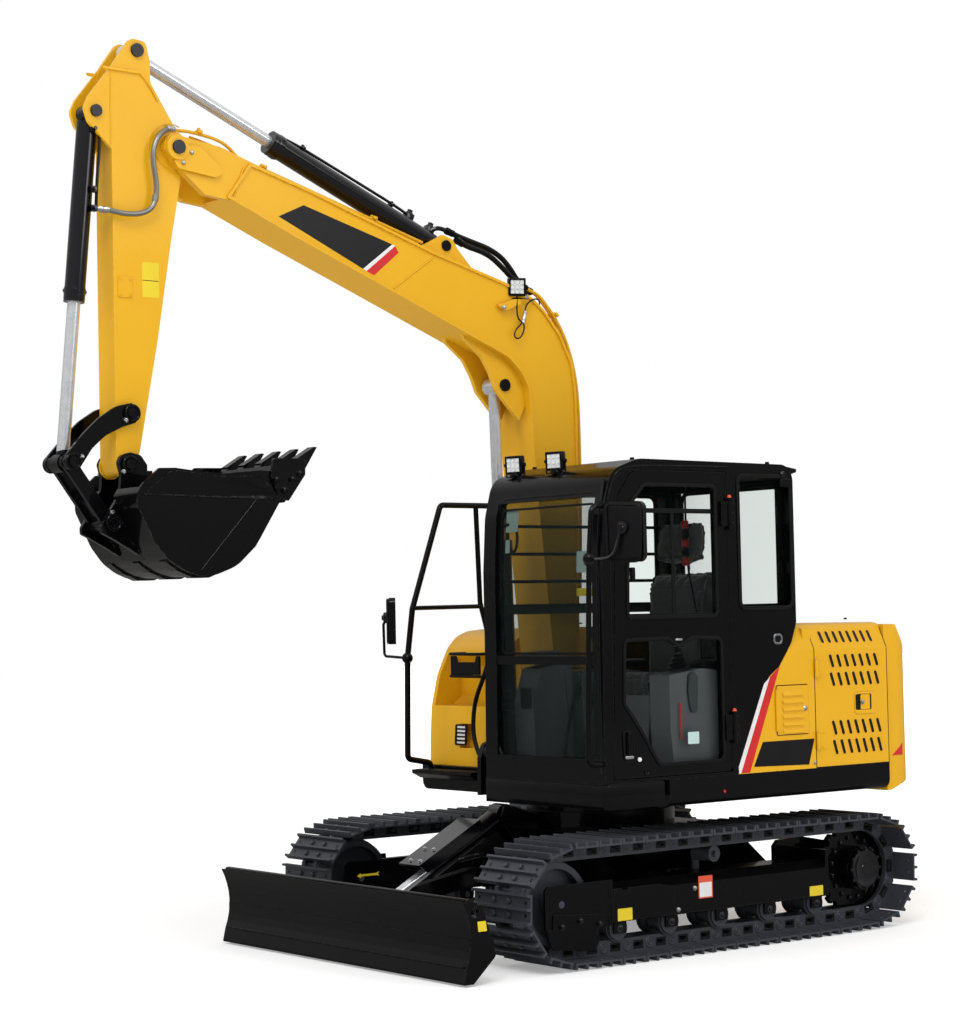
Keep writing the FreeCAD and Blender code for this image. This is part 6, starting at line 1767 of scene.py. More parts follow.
@dataclass
class Arm:
    """The arm's weld lines, doublers, hose, covers and labels.

    Attributes:
        face: Y of the left side plate.
        middle: Y of the middle plane.
        pivot: The boom pin.
    """

    face: float = -0.0775
    middle: float = -0.16
    pivot: Flat = (2.635, 4.137)

    def build(self) -> None:
        """Makes every piece on the arm."""
        self.plates()
        self.hose()
        self.cylinder_fittings()
        self.linkage()

    def plates(self) -> None:
        """The ear's edge strips, weld lines, ring plates, the cover and the labels."""
        face = self.face
        strip = [(3.01, 4.499), (2.81, 4.497), (2.762, 4.446), (2.71, 4.369)]
        for name, side in SIDES:
            y = self.middle + side * (face - self.middle)
            flange = strip + [(x + 0.004, z + 0.013) for x, z in reversed(strip)]
            Piece.plate(f"arm_cap_strip_{name}", [flange], *sorted((y - side * 0.002, y + side * 0.012)),
                        Plane.SIDE, 0.002).ride("arm", YELLOW)
            bead(f"arm_cap_bead_{name}", "arm", [(x, y, z - 0.001) for x, z in strip[:-1]], 0.0035)
            bead(f"arm_seam_{name}", "arm", [(2.974, y, 4.492), (2.978, y, 4.13)], 0.0042)
            ring = [(self.pivot[0] + 0.128 * math.cos(math.radians(turn)), y,
                     self.pivot[1] + 0.128 * math.sin(math.radians(turn)))
                    for turn in range(-58, 121, 9)]
            bead(f"arm_ring_bead_{name}", "arm", ring, 0.003)
            Piece.plate(f"arm_cover_{name}", [rounded(oblong(2.907, 3.425, 0.08, 0.104), 0.006)],
                        *sorted((y - side * 0.002, y + side * 0.006)), Plane.SIDE, 0.002).ride(
                            "arm", YELLOW)
            bolts(f"arm_cover_bolts_{name}", "arm", [
                facing((2.907 + across, y + side * 0.006, 3.425 + up), (0.0, side, 0.0))
                for across in (-0.028, 0.028) for up in (-0.039, 0.039)], 0.012, YELLOW)
            film(f"arm_label_{name}", "arm", rounded(oblong(2.763, 3.47, 0.096, 0.176), 0.005), y,
                 LABEL, thick=side * FILM)
            film(f"arm_label_line_{name}", "arm", oblong(2.763, 3.466, 0.09, 0.0035),
                 y + side * FILM, BLACK_FILM_AND_SHADE, thick=side * 0.0004)

    def hose(self) -> None:
        """The sheathed hose from the boom's pipe over the pivot to the bucket cylinder's port."""
        radius = 0.0135
        over = [(2.612, -0.085, 4.239), (2.65, -0.072, 4.24), (2.70, -0.05, 4.216), (2.742, -0.042, 4.165),
                (2.762, -0.04, 4.098), (2.757, -0.04, 4.029), (2.744, -0.04, 3.965),
                (2.743, -0.04, 3.9), (2.752, -0.04, 3.862)]
        hose = Piece.tube("pivot_hose_upper", over, radius, sides=4)
        hose.paint(SHEATH).hold()
        bpy.ops.object.shade_smooth_by_angle(angle=math.radians(ROUND))
        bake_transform(hose.obj)
        down = [(2.749, -0.04, 3.872), (2.758, -0.04, 3.842), (2.79, -0.04, 3.808), (2.85, -0.04, 3.786),
                (2.92, -0.041, 3.782), (2.97, -0.046, 3.788), (3.003, -0.06, 3.797)]
        tail = Piece.tube("pivot_hose_lower", down, radius, sides=4)
        tail.paint(SHEATH).hold()
        bpy.ops.object.shade_smooth_by_angle(angle=math.radians(ROUND))
        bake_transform(tail.obj)
        ends = ferrule("pivot_hose_fitting", (2.608, -0.0855, 4.2385), (0.9, 0.25, 0.05), radius, 0.06)
        ends.ride("boom", ZINC)
        ferrule("port_fitting", (3.043, -0.09, 3.803), (-0.78, 0.6, -0.12), radius, 0.06).ride(
            "bucket_cylinder_barrel", ZINC)
        joint = Piece.turned("hose_guard", [(radius + 0.0005, 0.0), (radius + 0.003, 0.001),
                                            (radius + 0.003, 0.03), (radius + 0.0005, 0.031)],
                             facing((2.7475, -0.04, 3.884), (0.22, 0.0, -1.0)), 20)
        joint.moved(Matrix.Translation((0.0, 0.0, 0.006))).ride("arm", SHEATH)

    def cylinder_fittings(self) -> None:
        """Ports, pipes, glands and their bolts on the cylinders."""
        pipe = [(3.045, -0.104, 4.2), (3.024, -0.1, 4.185), (3.026, -0.1, 4.1), (3.037, -0.1, 4.0),
                (3.045, -0.1, 3.9), (3.047, -0.104, 3.81)]
        Piece.tube("bucket_barrel_pipe", pipe, 0.0085).ride("bucket_cylinder_barrel", BARREL, ROUND)
        for name, x, z in (("top", 3.058, 4.2), ("middle", 3.062, 3.9), ("low", 3.062, 3.806)):
            block = Piece.block(f"bucket_port_{name}", (0.036, 0.026, 0.032), (x, -0.103, z))
            block.faces(towards("y")).inset(0.006, 0.006).done().edges(0.003)
            stud = hex_bolt("stud", 0.018, 0.012).moved(facing((x, -0.086, z), (0.0, 1.0, 0.0)))
            block.join([stud]).ride("bucket_cylinder_barrel", BARREL)
        glands = (("bucket_cylinder_barrel", (3.0559, 4.2857), (3.2205, 2.5522), 0.94, 0.052),
                  ("arm_cylinder_barrel", (0.9269, 3.7875), (2.8231, 4.6146), 1.17, 0.0645),
                  ("boom_cylinder_barrel", (0.5, 1.0), (0.55, 3.04), 1.18, 0.069))
        for body, base, head, length, radius in glands:
            start, end = (Vector((x, self.middle, z)) for x, z in (base, head))
            along = (end - start).normalized()
            foot = start + along * (length - 0.062)
            place = facing(tuple(foot), tuple(along))
            ring = Piece.turned(f"{body}_gland", [
                (radius - 0.001, 0.0), (radius + 0.003, 0.002), (radius + 0.003, 0.026),
                (radius + 0.001, 0.028), (radius + 0.001, 0.05), (radius - 0.001, 0.052)], place, 32)
            nut = hex_bolt("nut", 0.012, 0.004)
            nut.copies([place @ facing(((radius + 0.002) * math.cos(turn),
                                        (radius + 0.002) * math.sin(turn), 0.014),
                                       (math.cos(turn), math.sin(turn), 0.0))
                        for turn in (0.4, 1.97, 3.54, 5.11)])
            ring.join([nut]).ride(body, BARREL)
        base = Vector((0.9269, self.middle, 3.7875))
        along = (Vector((2.8231, self.middle, 4.6146)) - base).normalized()
        up = Vector((-along.z, 0.0, along.x))
        for name, at in (("base", 0.085), ("front", 0.235)):
            spot = base + along * at + up * 0.058
            block = Piece.block(f"arm_port_{name}", (0.05, 0.05, 0.05), tuple(spot + up * 0.004),
                                (0.0, -23.57, 0.0)).edges(0.005)
            cap = hex_bolt("cap", 0.03, 0.02).moved(facing(tuple(spot + up * 0.028), tuple(up)))
            block.join([cap]).ride("arm_cylinder_barrel", BARREL)
        run = [base + along * share + up * lift for share, lift in (
            (0.235, 0.075), (0.3, 0.082), (0.6, 0.078), (0.9, 0.074), (1.06, 0.07), (1.1, 0.062))]
        Piece.tube("arm_barrel_pipe", [tuple(spot) for spot in run], 0.0085).ride(
            "arm_cylinder_barrel", BARREL, ROUND)
        for share in (0.36, 0.98):
            spot = base + along * share + up * 0.064
            clip(f"arm_barrel_clip_{int(share * 100)}", tuple(spot), tuple(along), 0.0085).ride(
                "arm_cylinder_barrel", BARREL)
        elbow = [(0.895, -0.12, 3.882), (0.93, -0.124, 3.894), (0.965, -0.14, 3.885),
                 (0.985, -0.15, 3.87)]
        Piece.tube("arm_port_elbow", elbow, 0.013).ride("arm_cylinder_barrel", BARREL)

    def linkage(self) -> None:
        """Collars and cross bolts of the bucket linkage."""
        for name, side in SIDES:
            out = self.middle + side * 0.108
            pin_collar(f"rocker_pivot_collar_{name}", "rockers", (2.8944, 2.799), out, 0.0145, 315.0,
                       side)
            pin_collar(f"rocker_eye_collar_{name}", "rockers", (3.2205, 2.5522), out, 0.0145, 151.0,
                       side)


ASSEMBLIES.append(Arm())


@dataclass
class Bucket:
    """The bucket's bands, weld lines, cutter bolts and pin collars.

    Attributes:
        middle: Y of the middle plane.
        band: Outline of the doubler band along the side's top.
        diagonal: The weld line across the side plate.
    """

    middle: float = -0.16
    band: tuple[Flat, ...] = ((2.955, 2.39), (2.822, 2.498), (2.77, 2.506), (2.55, 2.482), (2.46, 2.481),
                              (2.34, 2.49), (2.21, 2.375), (2.354, 2.376))
    diagonal: tuple[Flat, ...] = ((2.348, 2.37), (2.655, 2.02))

    def build(self) -> None:
        """Makes every piece on the bucket."""
        for name, side in SIDES:
            wrapped(f"bucket_band_{name}", "bucket", rounded(self.band, 0.012), side, "bucket_shell",
                    DIGGING, 0.006, 2)
            self.side_bead(f"bucket_seam_{name}", self.diagonal, side)
            self.side_bead(f"bucket_band_seam_{name}", ((2.955, 2.388), (2.354, 2.373),
                                                        (2.21, 2.372)), side)
            out = self.middle + side * 0.394
            bolts(f"cutter_bolts_{name}", "bucket", [
                facing((x, out - side * 0.002, z), (0.0, side, 0.0))
                for x, z in ((2.245, 2.466), (2.15, 2.47), (2.198, 2.415), (2.105, 2.5))],
                  0.03, BLACK, 0.014)
            ear = self.middle + side * 0.112
            pin_collar(f"bucket_pin_collar_{name}", "bucket", (2.9121, 2.5453), ear, 0.0235, 316.0, side)
            pin_collar(f"link_pin_collar_{name}", "bucket", (3.0061, 2.2593), ear, 0.0135, 81.0, side)

    def side_bead(self, name: str, line: Sequence[Flat], side: float) -> None:
        """A weld bead that follows the side plate, which leans in towards the heel.

        Args:
            name: The piece's name.
            line: Its corners as X and Z.
            side: 1 on the left and -1 on the right.
        """
        shell = bpy.data.objects["bucket_shell"]
        shell_tree = shell.evaluated_get(bpy.context.evaluated_depsgraph_get())
        points = []
        for (x0, z0), (x1, z1) in zip(line, line[1:]):
            for step in range(9):
                x, z = x0 + (x1 - x0) * step / 8, z0 + (z1 - z0) * step / 8
                hit, place, _, _ = shell_tree.ray_cast(Vector((x, side * 2.0, z)),
                                                       Vector((0.0, -side, 0.0)))
                if hit:
                    points.append(tuple(place))
        bead(name, "bucket", points, 0.0045, DIGGING)


ASSEMBLIES.append(Bucket())


@dataclass
class Chain:
    """The track chains' pins, bosses, dark windows of painted shade and shoe bolts.

    Attributes:
        gauge: Distance between the tracks' middles.
        rear: The rear wheel as X, Z and radius at the chain's pins.
        front: The front wheel in the same way.
        rollers: Heading of the lower run between the wheels and the first and last roller.
        low: Height of the chain's pins on the lower run.
        count: Links in a chain.
        half_link: From a pin to the link's back.
        row: From the chain's middle to the outer face of its links.
    """

    gauge: float = 1.75
    rear: Point = (-1.1, 0.323, 0.244)
    front: Point = (1.095, 0.323, 0.244)
    rollers: Flat = (-0.711, 0.705)
    low: float = 0.071
    count: int = 38
    half_link: float = 0.037
    row: float = 0.073

    def build(self) -> None:
        """Makes the pieces on both chains."""
        places = self.links()
        pitch = (places[1][1] - places[1][0]).length
        frames = []
        for here, after in places:
            along = (after - here).normalized()
            out = Vector((-along.z, 0.0, along.x))
            frames.append(Matrix((along, (0.0, 1.0, 0.0), out)).transposed().to_4x4())
            frames[-1].translation = here
        for name, side in SIDES:
            self.joints(name, side, frames)
            self.shoes(name, side, frames, pitch)

    def links(self) -> list[tuple[Vector, Vector]]:
        """The chain's joints in pairs, from the top of the rear wheel forward.

        Returns:
            Each link's joint and the next one.
        """
        tip = 1.2
        arcs = ((self.front, 90.0, -90.0 + tip, 60),
                ((self.rollers[1], self.low + 0.097, 0.097), -90.0 + tip, -90.0, 1),
                ((self.rollers[0], self.low + 0.097, 0.097), -90.0, -90.0 - tip, 1),
                (self.rear, -90.0 - tip, -270.0, 60))
        path = [Vector((self.rear[0], 0.0, self.rear[1] + self.rear[2]))]
        for (x, z, radius), start, end, steps in arcs:
            for step in range(steps + 1):
                turn = math.radians(start + (end - start) * step / steps)
                path.append(Vector((x + radius * math.cos(turn), 0.0, z + radius * math.sin(turn))))
        lengths = [(b - a).length for a, b in zip(path, path[1:])]
        pitch = sum(lengths) / self.count
        joints: list[Vector] = []
        gone, wanted = 0.0, 0.0
        for a, b, length in zip(path, path[1:], lengths):
            while wanted <= gone + length + 1e-9 and len(joints) < self.count:
                joints.append(a.lerp(b, (wanted - gone) / max(length, 1e-9)))
                wanted += pitch
            gone += length
        return list(zip(joints, joints[1:] + joints[:1]))

    def joints(self, name: str, side: float, frames: Sequence[Matrix]) -> None:
        """Bosses, pins and dark window surrounds of painted shade on both faces of both rows of links.

        Args:
            name: Left or right.
            side: 1 on the left and -1 on the right.
            frames: Each link's place, X along it and Z outward.
        """
        for face, way in ((self.row, 1.0), (-self.row, -1.0)):
            shift = Matrix.Translation((0.0, side * self.gauge / 2 + face, 0.0))
            turn = Matrix.Rotation(math.radians(-90.0 * way), 4, "X")
            boss = Piece.turned("boss", [(0.0, 0.003), (0.006, 0.003), (0.008, 0.0055), (0.0145, 0.0055),
                                         (0.0165, 0.003), (0.0175, 0.0035), (0.0265, 0.0035),
                                         (0.03, 0.0005), (0.03, -0.001)], turn, 20)
            boss.copies([shift @ frame for frame in frames])
            boss.obj.name = f"chain_bosses_{name}_{'out' if way > 0 else 'in'}"
            boss.ride("undercarriage", TRACK)
            # Dark rings of painted shade round the windows in the links.
            window = [[(0.042, -0.02), (0.112, -0.02), (0.112, 0.024), (0.042, 0.024)],
                      [(0.05, -0.01), (0.105, -0.01), (0.105, 0.014), (0.05, 0.014)]]
            dark = Piece.plate("dark", window, -0.0004, 0.0006)
            dark.copies([shift @ frame for frame in frames])
            dark.obj.name = f"chain_windows_{name}_{'out' if way > 0 else 'in'}"
            dark.ride("undercarriage", BLACK_FILM_AND_SHADE)

    def shoes(self, name: str, side: float, frames: Sequence[Matrix], pitch: float) -> None:
        """Four bolts and four holes on every shoe, each hole a dark disc of painted shade, with the nuts
        behind them.

        Args:
            name: Left or right.
            side: 1 on the left and -1 on the right.
            frames: Each link's place.
            pitch: The length of a link.
        """
        middle = side * self.gauge / 2
        spots = [(share * pitch, middle + across) for share in (0.28, 0.72)
                 for across in (-0.059, 0.059)]
        top = self.half_link + 0.0098
        head = hex_bolt("bolt", 0.024, 0.011)
        head.copies([frame @ Matrix.Translation((x, y, top)) for frame in frames for x, y in spots])
        head.obj.name = f"shoe_bolts_{name}"
        head.ride("undercarriage", TRACK)
        holes = [(share * pitch, middle + across) for share in (0.3, 0.7) for across in (-0.185, 0.185)]
        # Each hole is a dark disc of painted shade laid on the shoe.
        rim = Piece.turned("rim", [(0.0, 0.0004), (0.0075, 0.0004), (0.009, 0.0014), (0.0105, 0.0)],
                           Matrix.Identity(4), 12)
        rim.copies([frame @ Matrix.Translation((x, y, top)) for frame in frames for x, y in holes])
        rim.obj.name = f"shoe_holes_{name}"
        rim.ride("undercarriage", BLACK_FILM_AND_SHADE)
        back = Piece.turned("back", [(0.0, 0.0006), (0.0062, 0.0006), (0.0072, 0.0)],
                            Matrix.Rotation(math.pi, 4, "X"), 12)
        back.copies([frame @ Matrix.Translation((x, y, self.half_link)) for frame in frames
                     for x, y in holes])
        back.obj.name = f"shoe_plugs_{name}"
        back.ride("undercarriage", ZINC)


@dataclass
class SideFrame:
    """The track frames' covers, guards, labels, bolts, seams and drive covers.

    Attributes:
        face: Y of the frame's outer face.
        drive: X and Z of the drive's axis.
        hub: Y of the drive cover's face.
    """

    face: float = 1.0
    drive: Flat = (-1.1, 0.323)
    hub: float = 0.99

    def build(self) -> None:
        """Makes the pieces on both frames."""
        for name, side in SIDES:
            self.covers(name, side)
            self.final_drive(name, side)
        yellow = [(1.128, 0.338), (1.10, 0.352), (1.10, 0.345), (1.0, 0.345), (0.975, 0.352),
                  (0.985, 0.34), (0.975, 0.328), (1.0, 0.333), (1.10, 0.333), (1.10, 0.325)]
        film("tow_mark_right", "undercarriage", yellow, -0.75, LABEL)
        film("tow_mark_left", "undercarriage", yellow, 0.75, LABEL, thick=-FILM)

    def covers(self, name: str, side: float) -> None:
        """Plates, bolts and blank labels of one frame.

        Args:
            name: Left or right.
            side: 1 on the left and -1 on the right.
        """
        face = side * self.face

        def plate(piece: str, outline: Sequence[Flat], thick: float, finish: Finish,
                  radius: float = 0.008) -> None:
            """One plate on the frame's outer face."""
            low, high = sorted((face - side * 0.001, face + side * thick))
            Piece.plate(f"{piece}_{name}", [rounded(outline, radius)], low, high, Plane.SIDE,
                        0.002 if thick > 0.003 else 0.0).ride("undercarriage", finish)

        plate("guard_cover", [(0.832, 0.186), (1.162, 0.187), (1.155, 0.277), (0.829, 0.255)], 0.008,
              FRAME_BLACK)
        plate("guard_skirt", [(1.192, 0.182), (1.165, 0.104), (1.12, 0.098), (0.93, 0.078),
                              (0.886, 0.075), (0.858, 0.119), (0.858, 0.205), (1.192, 0.205)], 0.006,
              FRAME_BLACK, 0.01)
        plate("frame_panel", [(0.34, 0.205), (0.772, 0.207), (0.772, 0.372), (0.70, 0.372),
                              (0.70, 0.36), (0.66, 0.36), (0.66, 0.372), (0.43, 0.372),
                              (0.43, 0.362), (0.38, 0.362), (0.38, 0.352), (0.34, 0.352)], 0.0035,
              FRAME_BLACK, 0.003)
        for number, (x0, z0, x1, z1) in enumerate(((0.633, 0.206, 0.732, 0.269),
                                                   (-0.75, 0.207, -0.648, 0.263))):
            lift = 0.0047 if number == 0 else FILM
            plate(f"frame_label_{number}", [(x0, z0), (x1, z0), (x1, z1), (x0, z1)], lift, LABEL, 0.003)
        plate("notice_rim", [(0.0695, 0.2705), (0.1695, 0.2705), (0.1695, 0.3865), (0.0695, 0.3865)],
              0.0008, ORANGE, 0.004)
        plate("notice_blank", [(0.0765, 0.277), (0.1625, 0.277), (0.1625, 0.352), (0.0765, 0.352)],
              0.0013, WHITE, 0.002)
        bolts(f"guard_bolts_{name}", "undercarriage", [
            facing((x, face + side * 0.008, z), (0.0, side, 0.0))
            for x, z in ((1.104, 0.213), (0.986, 0.233), (0.859, 0.207))], 0.024, BARREL)
        bolts(f"frame_bolts_{name}", "undercarriage", [
            facing((x, face, z), (0.0, side, 0.0)) for x, z in ((0.197, 0.328), (0.315, 0.227))],
              0.018, ZINC)
        ends = [facing((x, side * 0.9835, 0.168), (0.0, side, 0.0))
                for x in (0.705, 0.351, -0.003, -0.357, -0.711)]
        bolts(f"roller_bolts_{name}", "undercarriage", ends, 0.024, BARREL)
        bead(f"frame_seam_{name}", "undercarriage", [(0.783, face, 0.376), (0.783, face, 0.19)], 0.004,
             FRAME_BLACK)
        bead(f"frame_lip_{name}", "undercarriage", [(0.77, face, 0.2065), (-0.775, face, 0.2065)],
             0.0042, FRAME_BLACK)

    def final_drive(self, name: str, side: float) -> None:
        """The drive's domed cover with its plug, and the ring of bolts round it.

        Args:
            name: Left or right.
            side: 1 on the left and -1 on the right.
        """
        x, z = self.drive
        out = (0.0, side, 0.0)
        cover = Piece.turned(f"drive_cover_{name}", [
            (0.0, 0.004), (0.028, 0.004), (0.03, 0.0015), (0.085, 0.0015), (0.092, 0.006), (0.1, 0.006),
            (0.106, 0.001), (0.106, -0.001)], facing((x, side * self.hub, z), out), 48)
        cover.ride("undercarriage", BARREL)
        ring = [facing((x + 0.112 * math.cos(turn), side * self.hub, z + 0.112 * math.sin(turn)), out)
                for turn in (math.tau * step / 12 for step in range(12))]
        bolts(f"drive_bolts_{name}", "undercarriage", ring, 0.014, BARREL, 0.006)
        outer = [facing((x + 0.168 * math.cos(turn), side * 0.892, z + 0.168 * math.sin(turn)), out)
                 for turn in (math.tau * (step + 0.5) / 16 for step in range(16))]
        bolts(f"sprocket_bolts_{name}", "undercarriage", outer, 0.022, BARREL)


@dataclass
class Blade:
    """The blade's top bar, wear bead, blank labels, lifting rims, guard bolts and hose.

    Attributes:
        half: Half of the blade's width.
        lip: Where the front face's top edge runs.
    """

    half: float = 1.1
    lip: Flat = (1.764, 0.409)

    def build(self) -> None:
        """Makes every piece of the blade."""
        x, z = self.lip
        bar = Piece.drum("blade_top_bar", 0.009, ((x, -self.half + 0.015, z), (x, self.half - 0.015, z)),
                         20)
        bar.edges(0.002).ride("blade", FRAME_BLACK)
        bead("blade_wear_bead", "blade", [(1.7735, -1.08, 0.0925), (1.7735, 1.08, 0.0925)], 0.005,
             FRAME_BLACK)
        for name, side in SIDES:
            label = [(1.702, 0.306), (1.652, 0.306), (1.645, 0.257), (1.697, 0.257)]
            film(f"blade_label_{name}", "blade", rounded(label, 0.004), side * self.half, LABEL,
                 thick=side * FILM)
            hole = Piece.turned(f"blade_lifting_rim_{name}", [(0.017, 0.0), (0.017, 0.003),
                                                              (0.021, 0.003), (0.0225, 0.0)],
                                facing((1.708, side * self.half, 0.362), (0.0, side, 0.0)), 24)
            hole.ride("blade", FRAME_BLACK)
        spots = [(1.177, -0.033, 0.539), (1.177, 0.047, 0.539), (1.278, -0.022, 0.486),
                 (1.277, 0.06, 0.486)]
        bolts("guard_plate_bolts", "blade_cylinder_barrel", [facing(spot, (0.46, 0.0, 0.89))
                                                             for spot in spots], 0.018, ZINC)
        self.hoses()

    def hoses(self) -> None:
        """The blade cylinder's hose, with a guard coil round its front end."""
        run = [(1.06, 0.085, 0.475), (1.0, 0.11, 0.495), (0.93, 0.12, 0.5), (0.86, 0.1, 0.49),
               (0.78, 0.06, 0.46), (0.7, 0.045, 0.43)]
        hose = Piece.tube("blade_hose", run, 0.011, sides=3).paint(TRIM)
        hose.hold()
        bpy.ops.object.shade_smooth_by_angle(angle=math.radians(ROUND))
        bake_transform(hose.obj)
        turns, radius = 16, 0.0135
        start, end = Vector((1.045, 0.09, 0.48)), Vector((0.935, 0.12, 0.4995))
        axis = (end - start).normalized()
        side = axis.cross(Vector((0.0, 0.0, 1.0))).normalized()
        over = side.cross(axis)
        coil = [tuple(start.lerp(end, step / (turns * 10)) + side * radius * math.cos(
            math.tau * step / 10) + over * radius * math.sin(math.tau * step / 10))
            for step in range(turns * 10 + 1)]
        Piece.tube("blade_hose_coil", coil, 0.0022, smooth=False, sides=1).ride(
            "blade_cylinder_barrel", BARREL, ROUND)


ASSEMBLIES.extend([Chain(), SideFrame(), Blade()])


LEVER = Moulded("lever_grey", (0.05, 0.062, 0.058), rough=0.5, slot="cab_plastic")
WEBBING = Finish("belt_red", (0.22, 0.008, 0.01), rough=0.6, slot="seat_fabric")


def stuffed(name: str, node: str, shrink: float, cap: float, cell: float,
            channels: Sequence[tuple[Point, Point]]) -> Piece:
    """A seat pad that swells from a CAD solid under its own stuffing.

    Args:
        name: The pad's name.
        node: The CAD node that gives its size.
        shrink: How far the cover starts inside that size.
        cap: How far a point may swell.
        cell: Size of the cover's mesh.
        channels: Sewn channels as straight lines between two points.

    Returns:
        The pad.
    """
    source = bpy.data.objects[node]
    made = bpy.data.objects.new(name, source.data.copy())
    bpy.context.scene.collection.objects.link(made)
    made.data.materials.clear()
    pad = Piece(made)
    pad.hold()
    bpy.ops.object.mode_set(mode="EDIT")
    bpy.ops.mesh.select_all(action="SELECT")
    bpy.ops.mesh.remove_doubles(threshold=0.00001)
    bpy.ops.mesh.normals_make_consistent(inside=False)
    bpy.ops.object.mode_set(mode="OBJECT")
    pad.modifier("REMESH", mode="VOXEL", voxel_size=cell)
    pad.modifier("SMOOTH", iterations=6, factor=0.5)
    for vertex in made.data.vertices:
        vertex.co -= vertex.normal * shrink
    start = [vertex.co.copy() for vertex in made.data.vertices]
    pad.hold()
    cloth = made.modifiers.new("cover", "CLOTH")
    cloth.settings.use_pressure = True
    cloth.settings.uniform_pressure_force = 4.0
    cloth.settings.effector_weights.gravity = 0.0
    for frame in range(1, 21):
        bpy.context.scene.frame_set(frame)
    bpy.ops.object.modifier_apply(modifier=cloth.name)
    bpy.context.scene.frame_set(1)
    for vertex, before in zip(made.data.vertices, start):
        move = vertex.co - before
        if move.length > cap:
            vertex.co = before + move * (cap / move.length)
    pad.modifier("SUBSURF", levels=1, render_levels=1)
    made.data.update()
    dent, width = 0.011, 0.009
    for low, high in channels:
        a, b = Vector(low), Vector(high)
        run = b - a
        for vertex in made.data.vertices:
            share = min(max((vertex.co - a).dot(run) / run.length_squared, 0.0), 1.0)
            gap = (vertex.co - a - run * share).length
            if gap < 4 * width:
                vertex.co -= vertex.normal * dent * math.exp(-(gap / width) ** 2)
    pad.ride("upper", SEAT, 80.0)
    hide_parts(node)
    return pad


